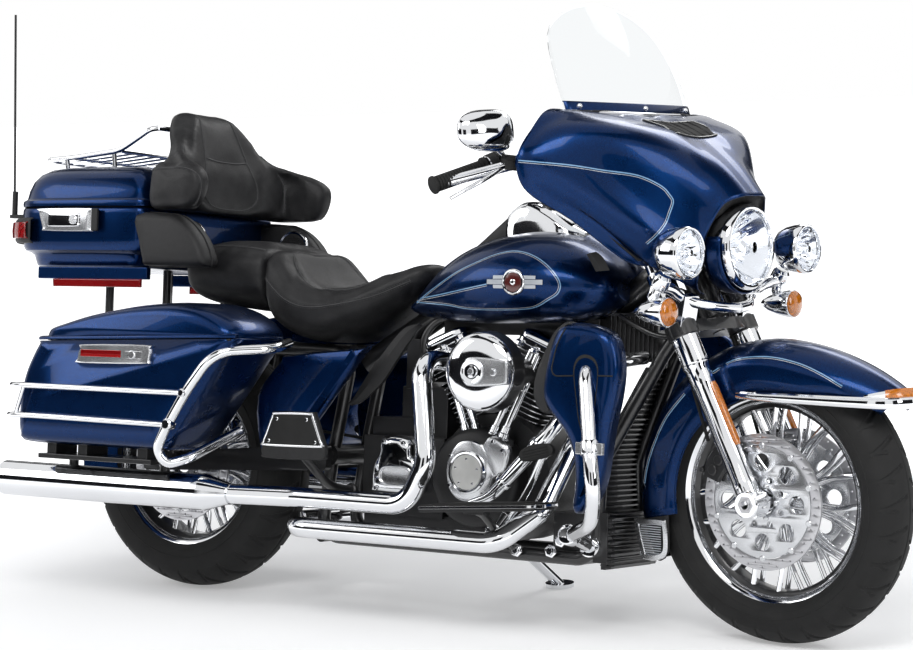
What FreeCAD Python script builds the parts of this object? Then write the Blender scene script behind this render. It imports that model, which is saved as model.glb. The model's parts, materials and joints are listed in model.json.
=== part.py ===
import FreeCAD, Part
import math
import os

# Touring cruiser motorcycle, leaning on its side stand.
# Pieces are drawn upright: x forward from mid wheelbase, y to the left, z up from the axle line.
# The front end is then steered, and the whole machine leans and stands on the ground.

# Stance and steering
wheelbase = 1625.0
tyre_radius = 320.0
lean_deg = 8.0
rake_deg = 26.0
steer_rest_deg = -9.5
steer_stop_deg = 30.0
fork_lag = 12.5
running_gap = 0.3
cut_over = 5.0

# Wheels
front_tyre_half = 65.0
front_crown = 75.0
front_bead_radius = 222.0
front_bead_half = 40.0
rear_tyre_half = 87.0
rear_crown = 110.0
rear_bead_radius = 206.0
rear_bead_half = 66.0
rim_lip = 8.0
rim_lip_width = 6.0
rim_barrel_depth = 14.0
sidewall_width_share = 0.86
sidewall_height_share = 0.45
hub_radius = 48.0
front_hub_half = 75.0
rear_hub_half = 80.0
spoke_pairs = 10
spoke_root_width = 13.0
spoke_tip_width = 10.0
spoke_thick = 20.0
spoke_spread_deg = 9.0
axle_radius = 12.5
axle_reach = 150.0
axle_bore_radius = 9.0
axle_bore_depth = 40.0
disc_radius = 150.0
disc_thick = 5.0
disc_core_radius = 30.0
disc_hole_count = 7
disc_hole_radius = 17.0
disc_hole_circle = 82.0
rear_axle_reach = 160.0
pulley_radius = 112.0
pulley_width = 41.0
belt_thick = 5.0
belt_width = 28.0

# Fork
leg_spacing = 118.0
slider_radius = 26.0
slider_tail = 0.5
axle_boss_radius = 30.0
slider_length = 330.0
cover_radius = 30.0
cover_length = 225.0
tube_radius = 24.0
tube_top = 668.0
lower_clamp_place = 400.0
upper_clamp_place = 640.0
clamp_thick = 28.0
clamp_front = 34.0
clamp_back = 31.0
clamp_waist = 18.0
clamp_waist_share = 0.68
stem_radius = 15.0
axle_boss_half = 28.0
head_tube_radius = 32.0
head_tube_gap = 5.0

# Front fender
fender_wall = 3.0
fender_half = 88.0
fender_crown_radius = 355.0
fender_shoulder_drop = 46.0
fender_trim_rise = 238.0
fender_rear_reach = 226.0
fender_first_deg = 36.0
fender_last_deg = 204.0
fender_nose_flare = 53.0
fender_nose_narrow = 30.0
fender_steps = 9
trim_height = 16.0
trim_wall = 4.0
trim_rear_x = -60.0

# Calipers
caliper_length = 120.0
caliper_depth = 52.0
caliper_half = 20.0
caliper_reach_deg = 152.0

# Batwing fairing
fairing_base_z = 520.0
fairing_height = 360.0
fairing_half = 402.0
fairing_depth = 345.0
fairing_rear_x = -420.0
fairing_wall = 5.0
# height, rear edge, front reach and half width of each level, as shares
fairing_level_shares = [
    (0.00, 0.46, 0.84, 0.40), (0.16, 0.36, 0.94, 0.66), (0.33, 0.10, 0.98, 0.90),
    (0.52, 0.00, 0.86, 0.99), (0.72, 0.03, 0.68, 0.97), (0.88, 0.05, 0.50, 0.84),
    (1.00, 0.06, 0.40, 0.62)]
# place across the half width and place along the reach of a level's front curve
fairing_curve_shares = [(1.00, 0.00), (0.985, 0.30), (0.86, 0.66), (0.55, 0.90), (0.00, 1.00)]
panel_depth = 46.0
panel_inset = 10.0
panel_low_share = 0.30
panel_high_share = 0.90

# Windscreen
screen_wall = 4.0
screen_height = 240.0
screen_rake = 112.0
screen_narrow_share = 0.86
screen_row_shares = [0.5, 1.0]
# outline across the half width and up the height
screen_outline_shares = [(1.0, 0.0), (0.99, 0.42), (0.90, 0.68), (0.66, 0.90), (0.30, 1.0)]
screen_corner = 60.0

# Lamps on the fork
headlamp_x = -84.0
headlamp_z = 556.0
headlamp_radius = 95.0
headlamp_depth = 110.0
lens_depth = 12.0
lamp_rim = 9.0
spot_x = -80.0
spot_z = 548.0
spot_y = 235.0
spot_radius = 58.0
spot_depth = 80.0
signal_radius = 32.0
signal_x = -127.0
signal_y = 250.0
signal_z = 420.0
signal_depth = 58.0
lightbar_radius = 13.0

# Handlebar, grips, levers and mirrors
bar_radius = 12.7
bar_bend = 60.0
riser_radius = 15.0
bar_centre_x = -292.0
bar_centre_z = 640.0
bar_outer_x = -500.0
bar_outer_y = 300.0
bar_outer_z = 750.0
grip_end_x = -607.0
grip_end_y = 460.0
grip_end_z = 704.0
grip_radius = 18.0
grip_length = 125.0
lever_radius = 7.0
lever_drop = 48.0
lever_length = 150.0
mirror_x = -500.0
mirror_y = 430.0
mirror_z = 824.0
mirror_half_width = 62.0
mirror_half_height = 40.0
mirror_depth = 34.0

# Frame
frame_tube_radius = 16.0
backbone_radius = 30.0
backbone_z = 425.0
backbone_rear_x = -40.0
cradle_half = 110.0
cradle_rear_half = 70.0
pivot_boss_radius = 26.0
pivot_shaft_radius = 14.0
stay_radius = 11.0
bag_stay_front_x = -560.0
bag_stay_rear_x = -900.0
bag_stay_z = 245.0
carrier_front_x = -850.0
carrier_rear_x = -1040.0
cradle_bottom_z = -160.0
cradle_front_x = 408.0
cradle_rear_x = -380.0
cradle_knee_z = 60.0
downtube_elbow_x = 530.0
downtube_elbow_z = 310.0
pivot_x = -300.0
pivot_z = 40.0
seat_rail_z = 296.0
seat_rail_rear_x = -1050.0
frame_bend = 50.0

# Swingarm
swingarm_height = 46.0
swingarm_wall = 24.0
swingarm_end = 70.0
shock_y = 180.0
shock_radius = 24.0
shock_rod_radius = 9.0
shock_low_x = -770.0
shock_top_x = -720.0
shock_stud_radius = 10.0

# Engine and gearbox
crank_x = 125.0
crank_z = 10.0
case_half = 92.0
case_radius = 150.0
case_height = 150.0
gearbox_length = 230.0
gearbox_height = 190.0
gearbox_rear_x = -245.0
gearbox_base_z = -95.0
cylinder_deg = 22.5
cylinder_radius = 52.0
cylinder_first = 118.0
cylinder_length = 150.0
fin_half = 68.0
fin_pitch = 17.0
fin_thick = 7.0
head_length = 50.0
rocker_length = 44.0
rocker_half_width = 62.0
rocker_half_depth = 88.0
cam_cover_radius = 118.0
cam_cover_depth = 58.0
timer_radius = 42.0
timer_x = 152.0
timer_z = 27.0
timer_depth = 14.0
gear_cover_radius = 72.0
gear_cover_x = -116.0
gear_cover_z = 34.0
gear_cover_depth = 60.0
primary_front_radius = 120.0
primary_rear_radius = 132.0
primary_rear_x = -120.0
primary_depth = 118.0
air_x = 190.0
air_z = 258.0
air_radius = 88.0
air_depth = 62.0
air_face_y = -305.0
air_neck_radius = 34.0

# Exhaust
header_radius = 24.0
header_bend = 70.0
muffler_y = 355.0
muffler_z = -52.0
muffler_radius = 44.0
muffler_front_x = -520.0
muffler_rear_x = -1160.0
muffler_neck_x = -470.0
muffler_wall = 3.0
muffler_mouth_depth = 90.0
collector_y = 296.0

# Tank and console
tank_rear_x = -125.0
tank_length = 560.0
tank_half = 205.0
tank_base_z = 376.0
tank_height = 222.0
# place along the length, half width, underside and top of each section
tank_section_shares = [
    (0.00, 0.42, 0.08, 0.20), (0.10, 0.58, 0.04, 0.50), (0.28, 0.82, 0.00, 0.82),
    (0.50, 0.98, 0.00, 0.98), (0.70, 1.00, 0.02, 0.98), (0.86, 0.88, 0.06, 0.84),
    (0.96, 0.66, 0.16, 0.66), (1.00, 0.44, 0.26, 0.50)]
console_half = 62.0
console_rise = 34.0
console_rear_x = -70.0
console_length = 420.0

# Seat
seat_length = 660.0
seat_nose_lap = 40.0
seat_rear_x = tank_rear_x + seat_nose_lap - seat_length
seat_height = 250.0
seat_half = 205.0
# side outline from the nose along the top to the rear and back underneath
seat_side_shares = [
    (1.00, 0.78), (0.95, 0.78), (0.82, 0.56), (0.62, 0.49), (0.50, 0.58), (0.42, 0.94),
    (0.30, 0.98), (0.12, 0.94), (0.00, 0.96), (0.00, 0.40), (0.34, 0.26), (0.42, 0.00),
    (0.66, 0.00), (0.84, 0.18), (0.97, 0.58)]
seat_plan_shares = [
    (1.00, 0.30), (0.92, 0.42), (0.78, 0.74), (0.62, 0.95), (0.42, 0.90), (0.30, 0.98),
    (0.10, 0.98), (0.00, 0.86)]
seat_corner = 30.0

# Side covers
side_cover_y = 232.0
side_cover_depth = 26.0
side_cover_rear_x = -474.0
side_cover_length = 318.0
side_cover_base_z = 56.0
side_cover_height = 246.0
side_cover_shares = [(0.0, 0.50), (0.03, 0.0), (0.42, 0.10), (0.72, 0.55), (1.0, 1.0), (0.30, 0.92)]
side_cover_corner = 24.0

# Rear fender
rear_fender_radius = 352.0
rear_fender_half = 104.0
rear_fender_shoulder = 40.0
rear_fender_skirt = 200.0
rear_fender_first_deg = 74.0
rear_fender_last_deg = 192.0

# Saddlebags
bag_rear_x = -1078.0
bag_length = 700.0
bag_base_z = 44.0
bag_height = 362.0
bag_inner_y = 236.0
bag_outer_y = 452.0
bag_wall = 4.0
bag_seam_gap = 1.0
bag_corner = 46.0
bag_side_shares = [
    (0.02, 0.00), (0.665, 0.00), (0.83, 0.42), (1.00, 0.80), (0.985, 0.90), (0.82, 0.985),
    (0.47, 0.93), (0.16, 0.79), (0.10, 0.60)]
bag_plan_shares = [(0.0, 0.0), (1.0, 0.0), (1.0, 0.34), (0.82, 0.86), (0.60, 1.0), (0.12, 1.0), (0.0, 0.80)]
bag_seam_rear_z = 292.0
bag_seam_front_z = 330.0
bag_lid_open_deg = 80.0
bag_hinge_length = 216.0
bag_hinge_height = 40.0
bag_hinge_depth = 10.0
bag_hinge_x = -732.0
bag_hinge_drop = 26.0
rail_radius = 12.0
rail_y = 470.0
low_rail_share = 0.9
post_share = 0.8

# Top box
box_length = 455.0
box_seat_gap = 62.0
box_front_x = seat_rear_x - box_seat_gap
box_rear_x = box_front_x - box_length
box_half = 292.0
box_base_z = 488.0
box_seam_z = 640.0
box_lid_rise = 112.0
box_wall = 4.0
box_corner = 60.0
box_seam_gap = 1.0
box_lid_open_deg = 75.0
box_plan_shares = [(0.0, 0.55), (0.10, 0.94), (0.30, 1.0), (1.0, 0.94)]
lid_side_shares = [(0.0, 0.0), (1.0, 0.0), (0.98, 0.78), (0.72, 1.0), (0.25, 0.86), (0.04, 0.50)]
pod_length = 240.0
pod_height = 132.0
pod_width = 74.0
pod_set_in = 4.0
pod_outer_y = box_half - pod_set_in
pod_inner_y = pod_outer_y - pod_width
pod_corner = 36.0

# Backrest on the top box lid
rest_half = 168.0
rest_width_share = 0.80
rest_base_z = 566.0
rest_top_z = 906.0
rest_reach = 55.0
rest_front_x = box_front_x + rest_reach
rest_thick = 62.0
rest_lean = 80.0
rest_wing_over = 4.0
rest_wing_half = box_half + rest_wing_over
rest_wing_length = 210.0
rest_wing_base_z = 648.0
rest_wing_height = 84.0
rest_wing_thick = 44.0

# Rack on the lid
rack_radius = 7.0
rack_half = 172.0
rack_rise = 34.0
rack_rear_inset = 47.0
rack_front_inset = 83.0
rack_rear_x = box_rear_x + rack_rear_inset
rack_front_x = box_front_x - rack_front_inset
rack_bars = 3

# Engine guard, lower fairings, boards
lower_fairing_rear_x = 310.0
lower_fairing_length = 250.0
lower_fairing_low_z = -20.0
lower_fairing_height = 398.0
lower_fairing_depth = 68.0
lower_fairing_corner = 30.0
lower_fairing_shares = [
    (0.608, 1.0), (0.94, 0.8592965), (1.0, 0.678392), (0.52, 0.201005), (0.272, 0.0), (0.12, 0.201005), (0.0, 0.6532663),
    (0.16, 0.904523)]
guard_radius = 16.0
guard_bend = 60.0
guard_shoulder_x = 489.0
guard_shoulder_half = 330.0
guard_shoulder_z = 275.0
guard_bow_x = 540.0
guard_bow_half = 392.0
guard_bow_z = 108.0
guard_foot_x = 400.0
guard_foot_half = 215.0
guard_foot_z = -100.0
shield_half = 92.0
board_length = 285.0
board_width = 118.0
board_thick = 16.0
board_rear_x = 105.0
board_inner_y = 262.0
board_z = -52.0
passenger_board_x = -262.0
passenger_board_y = 318.0
passenger_board_z = 112.0
passenger_board_length = 176.0
passenger_board_height = 100.0
passenger_board_thick = 20.0

# Side stand
stand_pivot_x = 20.0
stand_pivot_y = 172.0
stand_pivot_z = -150.0
stand_down_share = (0.25, 0.76, -0.60)
stand_up_share = (-0.985, 0.17, -0.02)
stand_radius = 13.0
stand_foot_radius = 36.0
stand_foot_thick = 10.0
stand_pin_radius = 9.0

# Plate holder, lamps and antenna
plate_width = 200.0
plate_height = 130.0
plate_thick = 5.0
plate_hole_radius = 3.5
plate_hole_circle = 177.8
plate_x = -1180.0
plate_z = 190.0
plate_arm_half = 36.0
plate_arm_height = 44.0
tail_lamp_low_z = 552.0
tail_lamp_height = 56.0
tail_lamp_depth = 9.0
tail_lamp_wrap = 150.0
tail_lamp_width = 130.0
fender_lamp_z = 300.0
fender_lamp_radius = 46.0
fender_lamp_depth = 60.0
antenna_stand_off = 18.0
antenna_set_in = 62.0
antenna_x = box_rear_x - antenna_stand_off
antenna_y = antenna_set_in - box_half
antenna_base_z = 616.0
antenna_top_z = 1150.0
antenna_radius = 3.0
antenna_foot_radius = 9.0
antenna_foot_height = 70.0
antenna_lean = 14.0

# Belt, oil cooler and foot controls
belt_front_radius = 60.0
belt_front_x = -215.0
belt_y = 96.0
cooler_width = 220.0
cooler_height = 120.0
cooler_depth = 26.0
cooler_z = -120.0
cooler_fins = 9
pedal_radius = 8.0
pedal_pad_radius = 20.0
pedal_x = 400.0
pedal_y = 236.0
pedal_z = -8.0
pedal_root_x = 318.0
shifter_rear_x = 90.0
shifter_front_x = 300.0
shifter_z = -12.0
shifter_peg = 34.0
line_radius = 4.0
fairing_bracket_y = 90.0
fairing_bracket_radius = 8.0
fairing_bracket_z = 660.0
fender_boss_place = 262.0
fender_boss_radius = 12.0


def V(x, y, z):
    return FreeCAD.Vector(x, y, z)


seat_base_z = seat_rail_z + frame_tube_radius + running_gap
swingarm_half = cradle_half + frame_tube_radius + running_gap
seat_rail_half = rear_fender_half + frame_tube_radius + running_gap
front_axle = V(wheelbase / 2, 0, 0)
rear_axle = V(-wheelbase / 2, 0, 0)
rake = math.radians(rake_deg)
fork_up = V(-math.sin(rake), 0, math.cos(rake))
fork_fore = V(math.cos(rake), 0, math.sin(rake))
steer_base = front_axle + fork_fore * fork_lag
across = V(0, 1, 0)
settle_rounds = 4


# How the upright machine is steered, leaned and set down
def tyre_low(centre, spin, crown):
    """Height of the lowest point of a tyre."""
    upright = math.sqrt(1 - spin.z ** 2)
    return centre.z - (tyre_radius - crown) * upright - crown


def parked_placement(steered):
    """Lean about the ground line, then pitch until both tyres touch the ground."""
    placed = FreeCAD.Placement(V(0, 0, 0), FreeCAD.Rotation(V(1, 0, 0), -lean_deg), V(0, 0, -tyre_radius))
    for _ in range(settle_rounds):
        front = placed.multiply(steered)
        front_low = tyre_low(front.multVec(front_axle), front.Rotation.multVec(across), front_crown)
        rear_low = tyre_low(placed.multVec(rear_axle), placed.Rotation.multVec(across), rear_crown)
        nose_down = math.degrees(math.atan((front_low - rear_low) / wheelbase))
        drop = FreeCAD.Placement(V(0, 0, -rear_low), FreeCAD.Rotation())
        pitch = FreeCAD.Placement(V(0, 0, 0), FreeCAD.Rotation(across, nose_down), V(-wheelbase / 2, 0, 0))
        placed = pitch.multiply(drop).multiply(placed)
    return placed


steered = FreeCAD.Placement(V(0, 0, 0), FreeCAD.Rotation(fork_up, steer_rest_deg), steer_base)
parked = parked_placement(steered)
sky = parked.Rotation.inverted().multVec(V(0, 0, 1))
ground_point = parked.inverse().multVec(V(0, 0, 0))


# Shape helpers
def corner_arc(before, corner, after, radius):
    """Start, middle and end of the arc that rounds one corner."""
    back = (before - corner).normalize()
    ahead = (after - corner).normalize()
    half = back.getAngle(ahead) / 2
    reach = min((before - corner).Length, (after - corner).Length) * 0.48
    cut = min(radius / math.tan(half), reach)
    size = cut * math.tan(half)
    inward = (back + ahead).normalize()
    return corner + back * cut, corner + inward * (size / math.sin(half) - size), corner + ahead * cut


def rounded_edges(points, radius, closed):
    """Straight runs joined by tangent arcs, through corner points."""
    count = len(points)
    arcs = []
    for i in range(count):
        inner = closed or 0 < i < count - 1
        before, corner, after = points[i - 1], points[i], points[(i + 1) % count]
        straight = inner and (before - corner).getAngle(after - corner) > math.pi * 0.995
        if inner and not straight:
            arcs.append(corner_arc(before, corner, after, radius))
        else:
            arcs.append((corner, None, corner))
    edges = []
    for i in range(count):
        start, middle, end = arcs[i]
        if middle is not None:
            edges.append(Part.Arc(start, middle, end).toShape())
        if i < count - 1 or closed:
            goal = arcs[(i + 1) % count][0]
            if (goal - end).Length > running_gap / 10:
                edges.append(Part.LineSegment(end, goal).toShape())
    return edges


def outline(points, radius):
    return Part.Wire(Part.__sortEdges__(rounded_edges(points, radius, True)))


def prism(points, radius, push):
    return Part.Face(outline(points, radius)).extrude(push)


def side_prism(points, y_low, y_high, radius):
    """Solid with a side outline of (x, z) points, between two planes across the machine."""
    return prism([V(x, y_low, z) for x, z in points], radius, V(0, y_high - y_low, 0))


def plan_prism(points, z_low, z_high, radius):
    return prism([V(x, y, z_low) for x, y in points], radius, V(0, 0, z_high - z_low))


def front_prism(points, x_low, x_high, radius):
    return prism([V(x_low, y, z) for y, z in points], radius, V(x_high - x_low, 0, 0))


def box(x_low, x_high, y_low, y_high, z_low, z_high):
    return Part.makeBox(x_high - x_low, y_high - y_low, z_high - z_low, V(x_low, y_low, z_low))


def rod(start, end, radius):
    return Part.makeCylinder(radius, (end - start).Length, start, end - start)


def tube(points, bend, radius):
    """Round bar along straight runs joined by tangent arcs."""
    path = Part.Wire(rounded_edges(points, bend, False))
    ring = Part.Wire(Part.makeCircle(radius, points[0], points[1] - points[0]))
    return path.makePipeShell([ring], True, False)


def turned(profile, centre):
    """Solid turned about the wheel axis through centre, from (across, radius) points."""
    points = [centre + V(0, y, r) for y, r in profile]
    face = Part.Face(Part.makePolygon(points + [points[0]]))
    return face.revolve(centre, across, 360)


def ring(centre, direction, outer, inner, depth):
    body = Part.makeCylinder(outer, depth, centre, direction)
    return body.cut(Part.makeCylinder(inner, depth, centre, direction))


def mirrored(shape):
    return shape.mirror(V(0, 0, 0), across)


def both_sides(shape):
    return Part.makeCompound([shape, mirrored(shape)])


def joined(shapes):
    body = shapes[0].multiFuse(shapes[1:])
    return body.removeSplitter()


def spread(shares, x_from, x_size, z_from, z_size):
    return [(x_from + a * x_size, z_from + b * z_size) for a, b in shares]


# Wheels
def tyre(centre, half, crown, bead_radius, bead_half):
    lip_top = bead_radius + rim_lip + running_gap
    lean = math.asin(half / crown)
    shoulder_radius = tyre_radius - crown + crown * math.cos(lean)
    wall_half = bead_half + (half - bead_half) * sidewall_width_share
    wall_radius = lip_top + (shoulder_radius - lip_top) * sidewall_height_share

    def at(y, r):
        return centre + V(0, y, r)

    edges = [
        Part.LineSegment(at(-bead_half, bead_radius), at(-bead_half, lip_top)).toShape(),
        Part.Arc(at(-bead_half, lip_top), at(-wall_half, wall_radius), at(-half, shoulder_radius)).toShape(),
        Part.Arc(at(-half, shoulder_radius), at(0, tyre_radius), at(half, shoulder_radius)).toShape(),
        Part.Arc(at(half, shoulder_radius), at(wall_half, wall_radius), at(bead_half, lip_top)).toShape(),
        Part.LineSegment(at(bead_half, lip_top), at(bead_half, bead_radius)).toShape(),
        Part.LineSegment(at(bead_half, bead_radius), at(-bead_half, bead_radius)).toShape()]
    return Part.Face(Part.Wire(edges)).revolve(centre, across, 360)


def spoke(centre, root_deg, tip_deg, root_radius, tip_radius):
    """Flat tapering spoke in the wheel's plane."""
    def spot(angle, radius, aside):
        a = math.radians(angle)
        out = V(math.cos(a), 0, math.sin(a))
        side = V(-math.sin(a), 0, math.cos(a))
        return centre + out * radius + side * aside - across * (spoke_thick / 2)
    corners = [
        spot(root_deg, root_radius, -spoke_root_width / 2), spot(tip_deg, tip_radius, -spoke_tip_width / 2),
        spot(tip_deg, tip_radius, spoke_tip_width / 2), spot(root_deg, root_radius, spoke_root_width / 2)]
    return Part.Face(Part.makePolygon(corners + [corners[0]])).extrude(across * spoke_thick)


def rim(centre, bead_radius, bead_half, hub_half):
    seat = bead_radius - running_gap
    lip_in = bead_half + running_gap
    lip_out = lip_in + rim_lip_width
    lip_top = bead_radius + rim_lip
    inner = bead_radius - rim_barrel_depth
    barrel = turned([
        (-lip_out, inner), (-lip_out, lip_top), (-lip_in, lip_top), (-lip_in, seat),
        (lip_in, seat), (lip_in, lip_top), (lip_out, lip_top), (lip_out, inner)], centre)
    hub = Part.makeCylinder(hub_radius, hub_half * 2, centre - across * hub_half, across)
    pieces = [barrel, hub]
    for i in range(spoke_pairs):
        middle = 360.0 * i / spoke_pairs
        for side in (-1, 1):
            lean = side * spoke_spread_deg
            pieces.append(spoke(centre, middle + lean / 3, middle + lean,
                                hub_radius * 0.8, inner + rim_barrel_depth / 2))
    body = joined(pieces)
    bore = Part.makeCylinder(axle_radius + running_gap, hub_half * 2, centre - across * hub_half, across)
    return body.cut(bore)


def brake_disc(centre, y_face, outward):
    """Drilled disc whose inner face lies on the hub's end."""
    start = centre + across * y_face
    push = across * (disc_thick * outward)
    body = Part.Face(Part.Wire(Part.makeCircle(disc_radius, start, across))).extrude(push)
    holes = [Part.Face(Part.Wire(Part.makeCircle(disc_core_radius, start, across))).extrude(push)]
    for i in range(disc_hole_count):
        a = 2 * math.pi * i / disc_hole_count
        spot = start + V(math.cos(a), 0, math.sin(a)) * disc_hole_circle
        holes.append(Part.Face(Part.Wire(Part.makeCircle(disc_hole_radius, spot, across))).extrude(push))
    return body.cut(holes)


def front_wheel():
    discs = [brake_disc(front_axle, front_hub_half, 1), brake_disc(front_axle, -front_hub_half, -1)]
    return {
        "front_tyre": tyre(front_axle, front_tyre_half, front_crown, front_bead_radius, front_bead_half),
        "front_rim": rim(front_axle, front_bead_radius, front_bead_half, front_hub_half),
        "front_discs": Part.makeCompound(discs)}


def rear_wheel():
    pulley_face = rear_axle + across * rear_hub_half
    pulley = ring(pulley_face, across, pulley_radius, axle_radius + running_gap, pulley_width)
    return {
        "rear_tyre": tyre(rear_axle, rear_tyre_half, rear_crown, rear_bead_radius, rear_bead_half),
        "rear_rim": joined([rim(rear_axle, rear_bead_radius, rear_bead_half, rear_hub_half), pulley]),
        "rear_disc": brake_disc(rear_axle, -rear_hub_half, -1)}


# Fork and what it carries
def on_fork(s, fore, y):
    """Point at height s up the legs, from the axle."""
    return front_axle + fork_up * s + fork_fore * fore + across * y


def clamp(place):
    """Plate that joins both legs to the stem."""
    reach = leg_spacing + cover_radius
    low = on_fork(place, -clamp_back, 0)
    corners = [
        low - across * reach, low - across * reach + fork_fore * clamp_back,
        low - across * (reach / 2) + fork_fore * (clamp_back + clamp_front),
        low + across * (reach / 2) + fork_fore * (clamp_back + clamp_front),
        low + across * reach + fork_fore * clamp_back, low + across * reach,
        low + across * (reach * clamp_waist_share), low + across * (reach * clamp_waist_share / 2) + fork_fore * clamp_waist,
        low - across * (reach * clamp_waist_share / 2) + fork_fore * clamp_waist, low - across * (reach * clamp_waist_share)]
    return prism(corners, clamp_waist / 3, fork_up * clamp_thick)


def fork():
    pieces = [clamp(lower_clamp_place), clamp(upper_clamp_place)]
    for side in (-1, 1):
        y = side * leg_spacing
        pieces.append(rod(on_fork(-slider_tail, 0, y), on_fork(slider_length, 0, y), slider_radius))
        pieces.append(rod(on_fork(slider_length, 0, y), on_fork(slider_length + cover_length, 0, y), cover_radius))
        pieces.append(rod(on_fork(slider_length, 0, y), on_fork(tube_top, 0, y), tube_radius))
        boss = on_fork(0, 0, y) - across * axle_boss_half
        pieces.append(Part.makeCylinder(axle_boss_radius, axle_boss_half * 2, boss, across))
        pieces.append(rod(on_fork(fender_boss_place, 0, y), on_fork(fender_boss_place, 0, side * (fender_half + running_gap)),
                          fender_boss_radius))
        root = on_fork(upper_clamp_place + clamp_thick / 2, 0, side * fairing_bracket_y)
        back_x = front_axle.x + fairing_rear_x + panel_inset + panel_depth
        knee_x = back_x + fairing_bracket_radius * 3
        pieces.append(tube([root, V(knee_x, root.y, root.z), V(knee_x, root.y, fairing_bracket_z),
                            V(back_x + running_gap, root.y, fairing_bracket_z)], fairing_bracket_radius * 1.5, fairing_bracket_radius))
    pieces.append(rod(on_fork(lower_clamp_place, fork_lag, 0),
                      on_fork(upper_clamp_place + clamp_thick, fork_lag, 0), stem_radius))
    body = joined(pieces)
    return body.cut(Part.makeCylinder(axle_radius, axle_reach * 2, front_axle - across * axle_reach, across))


def front_axle_bar():
    bar = Part.makeCylinder(axle_radius, axle_reach * 2, front_axle - across * axle_reach, across)
    bores = []
    for side in (-1, 1):
        start = front_axle + across * (side * axle_reach)
        bores.append(Part.makeCylinder(axle_bore_radius, axle_bore_depth, start, across * -side))
    return bar.cut(bores)


def fender_section(angle_deg, flare, narrow, low, wall):
    """Arch across the tyre at one angle around the axle."""
    a = math.radians(angle_deg)
    out = V(math.cos(a), 0, math.sin(a))
    half = fender_half - narrow - wall
    top = fender_crown_radius + flare - wall
    shoulder = top - fender_shoulder_drop

    def at(y, r):
        return front_axle + out * r + across * y

    edges = [
        Part.LineSegment(at(-half, low), at(-half, shoulder)).toShape(),
        Part.Arc(at(-half, shoulder), at(0, top), at(half, shoulder)).toShape(),
        Part.LineSegment(at(half, shoulder), at(half, low)).toShape(),
        Part.LineSegment(at(half, low), at(-half, low)).toShape()]
    return Part.Wire(edges)


def front_fender():
    def skin(wall):
        rows = []
        for i in range(fender_steps):
            share = i / (fender_steps - 1)
            angle = fender_first_deg + (fender_last_deg - fender_first_deg) * share
            flare = fender_nose_flare * max(0.0, 1 - share * 3.6) ** 2
            narrow = fender_nose_narrow * max(0.0, 1 - share * 5) ** 2
            rise = math.sin(math.radians(angle))
            low = fender_trim_rise / rise if 0 < share < 0.38 or share == 0 else fender_rear_reach
            low = min(low, fender_crown_radius + flare - fender_shoulder_drop - wall - trim_wall * 2)
            rows.append(fender_section(angle, flare, narrow, low - (wall and cut_over), wall))
        return Part.makeLoft(rows, True, False)
    shell = skin(0).cut(skin(fender_wall))
    return shell


def fender_trim():
    """Bright strip along the lower edge of the fender and round its nose."""
    half = fender_half + running_gap
    nose = math.cos(math.radians(fender_first_deg)) * (fender_crown_radius + fender_nose_flare)
    rear = front_axle.x + trim_rear_x
    tip = front_axle.x + nose + trim_wall
    low = fender_trim_rise - trim_height
    points = [(rear, half), (tip - half, half), (tip, half * 0.6), (tip, -half * 0.6), (tip - half, -half), (rear, -half)]
    grown = [(rear, half + trim_wall), (tip - half, half + trim_wall), (tip + trim_wall, half * 0.6),
             (tip + trim_wall, -half * 0.6), (tip - half, -half - trim_wall), (rear, -half - trim_wall)]
    return plan_prism(grown, low, fender_trim_rise, trim_height).cut(
        plan_prism(points, low, fender_trim_rise, trim_height))


def calipers():
    a = math.radians(caliper_reach_deg)
    out = V(math.cos(a), 0, math.sin(a))
    along = V(-math.sin(a), 0, math.cos(a))
    far = disc_radius + running_gap * 20
    near = far - caliper_depth

    def at(radius, aside, y):
        return front_axle + out * radius + along * aside + across * y

    y_low = front_hub_half + disc_thick / 2 - caliper_half
    corners = [at(near, -caliper_length / 2, y_low), at(near, caliper_length / 2, y_low),
               at(far + caliper_half, caliper_length / 2, y_low), at(far + caliper_half, -caliper_length / 2, y_low)]
    body = prism(corners, caliper_half, across * (caliper_half * 2))
    slot_low = front_hub_half - disc_thick
    slot = Part.makeCylinder(far, disc_thick * 3, front_axle + across * slot_low, across)
    return both_sides(body.cut(slot))


# Fairing, panel and screen
def fairing_wire(level, inset):
    rise, rear, reach, half = level
    z = fairing_base_z + rise * fairing_height
    x_rear = front_axle.x + fairing_rear_x + rear * fairing_depth
    x_front = front_axle.x + fairing_rear_x + reach * fairing_depth - inset
    width = fairing_half * half - inset
    if inset:
        x_rear = x_rear - cut_over
    points = []
    for a, b in fairing_curve_shares:
        points.append(V(x_rear + (x_front - x_rear) * b, -width * a, z))
    for a, b in reversed(fairing_curve_shares[:-1]):
        points.append(V(x_rear + (x_front - x_rear) * b, width * a, z))
    curve = Part.BSplineCurve()
    curve.interpolate(points)
    return Part.Wire([curve.toShape(), Part.LineSegment(points[-1], points[0]).toShape()])


def fairing_form(inset):
    return Part.makeLoft([fairing_wire(level, inset) for level in fairing_level_shares], True, False)


def instrument_panel():
    """Inner face of the fairing, with room for the handlebar."""
    x_rear = front_axle.x + fairing_rear_x + panel_inset
    low = fairing_base_z + fairing_height * panel_low_share
    high = fairing_base_z + fairing_height * panel_high_share
    slab = box(x_rear, x_rear + panel_depth, -fairing_half, fairing_half, low, high)
    panel = slab.common(fairing_form(fairing_wall + running_gap))
    room = [tube(bar_points(side), bar_bend, bar_radius * 1.8) for side in (-1, 1)]
    return largest(panel.cut(room))


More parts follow.
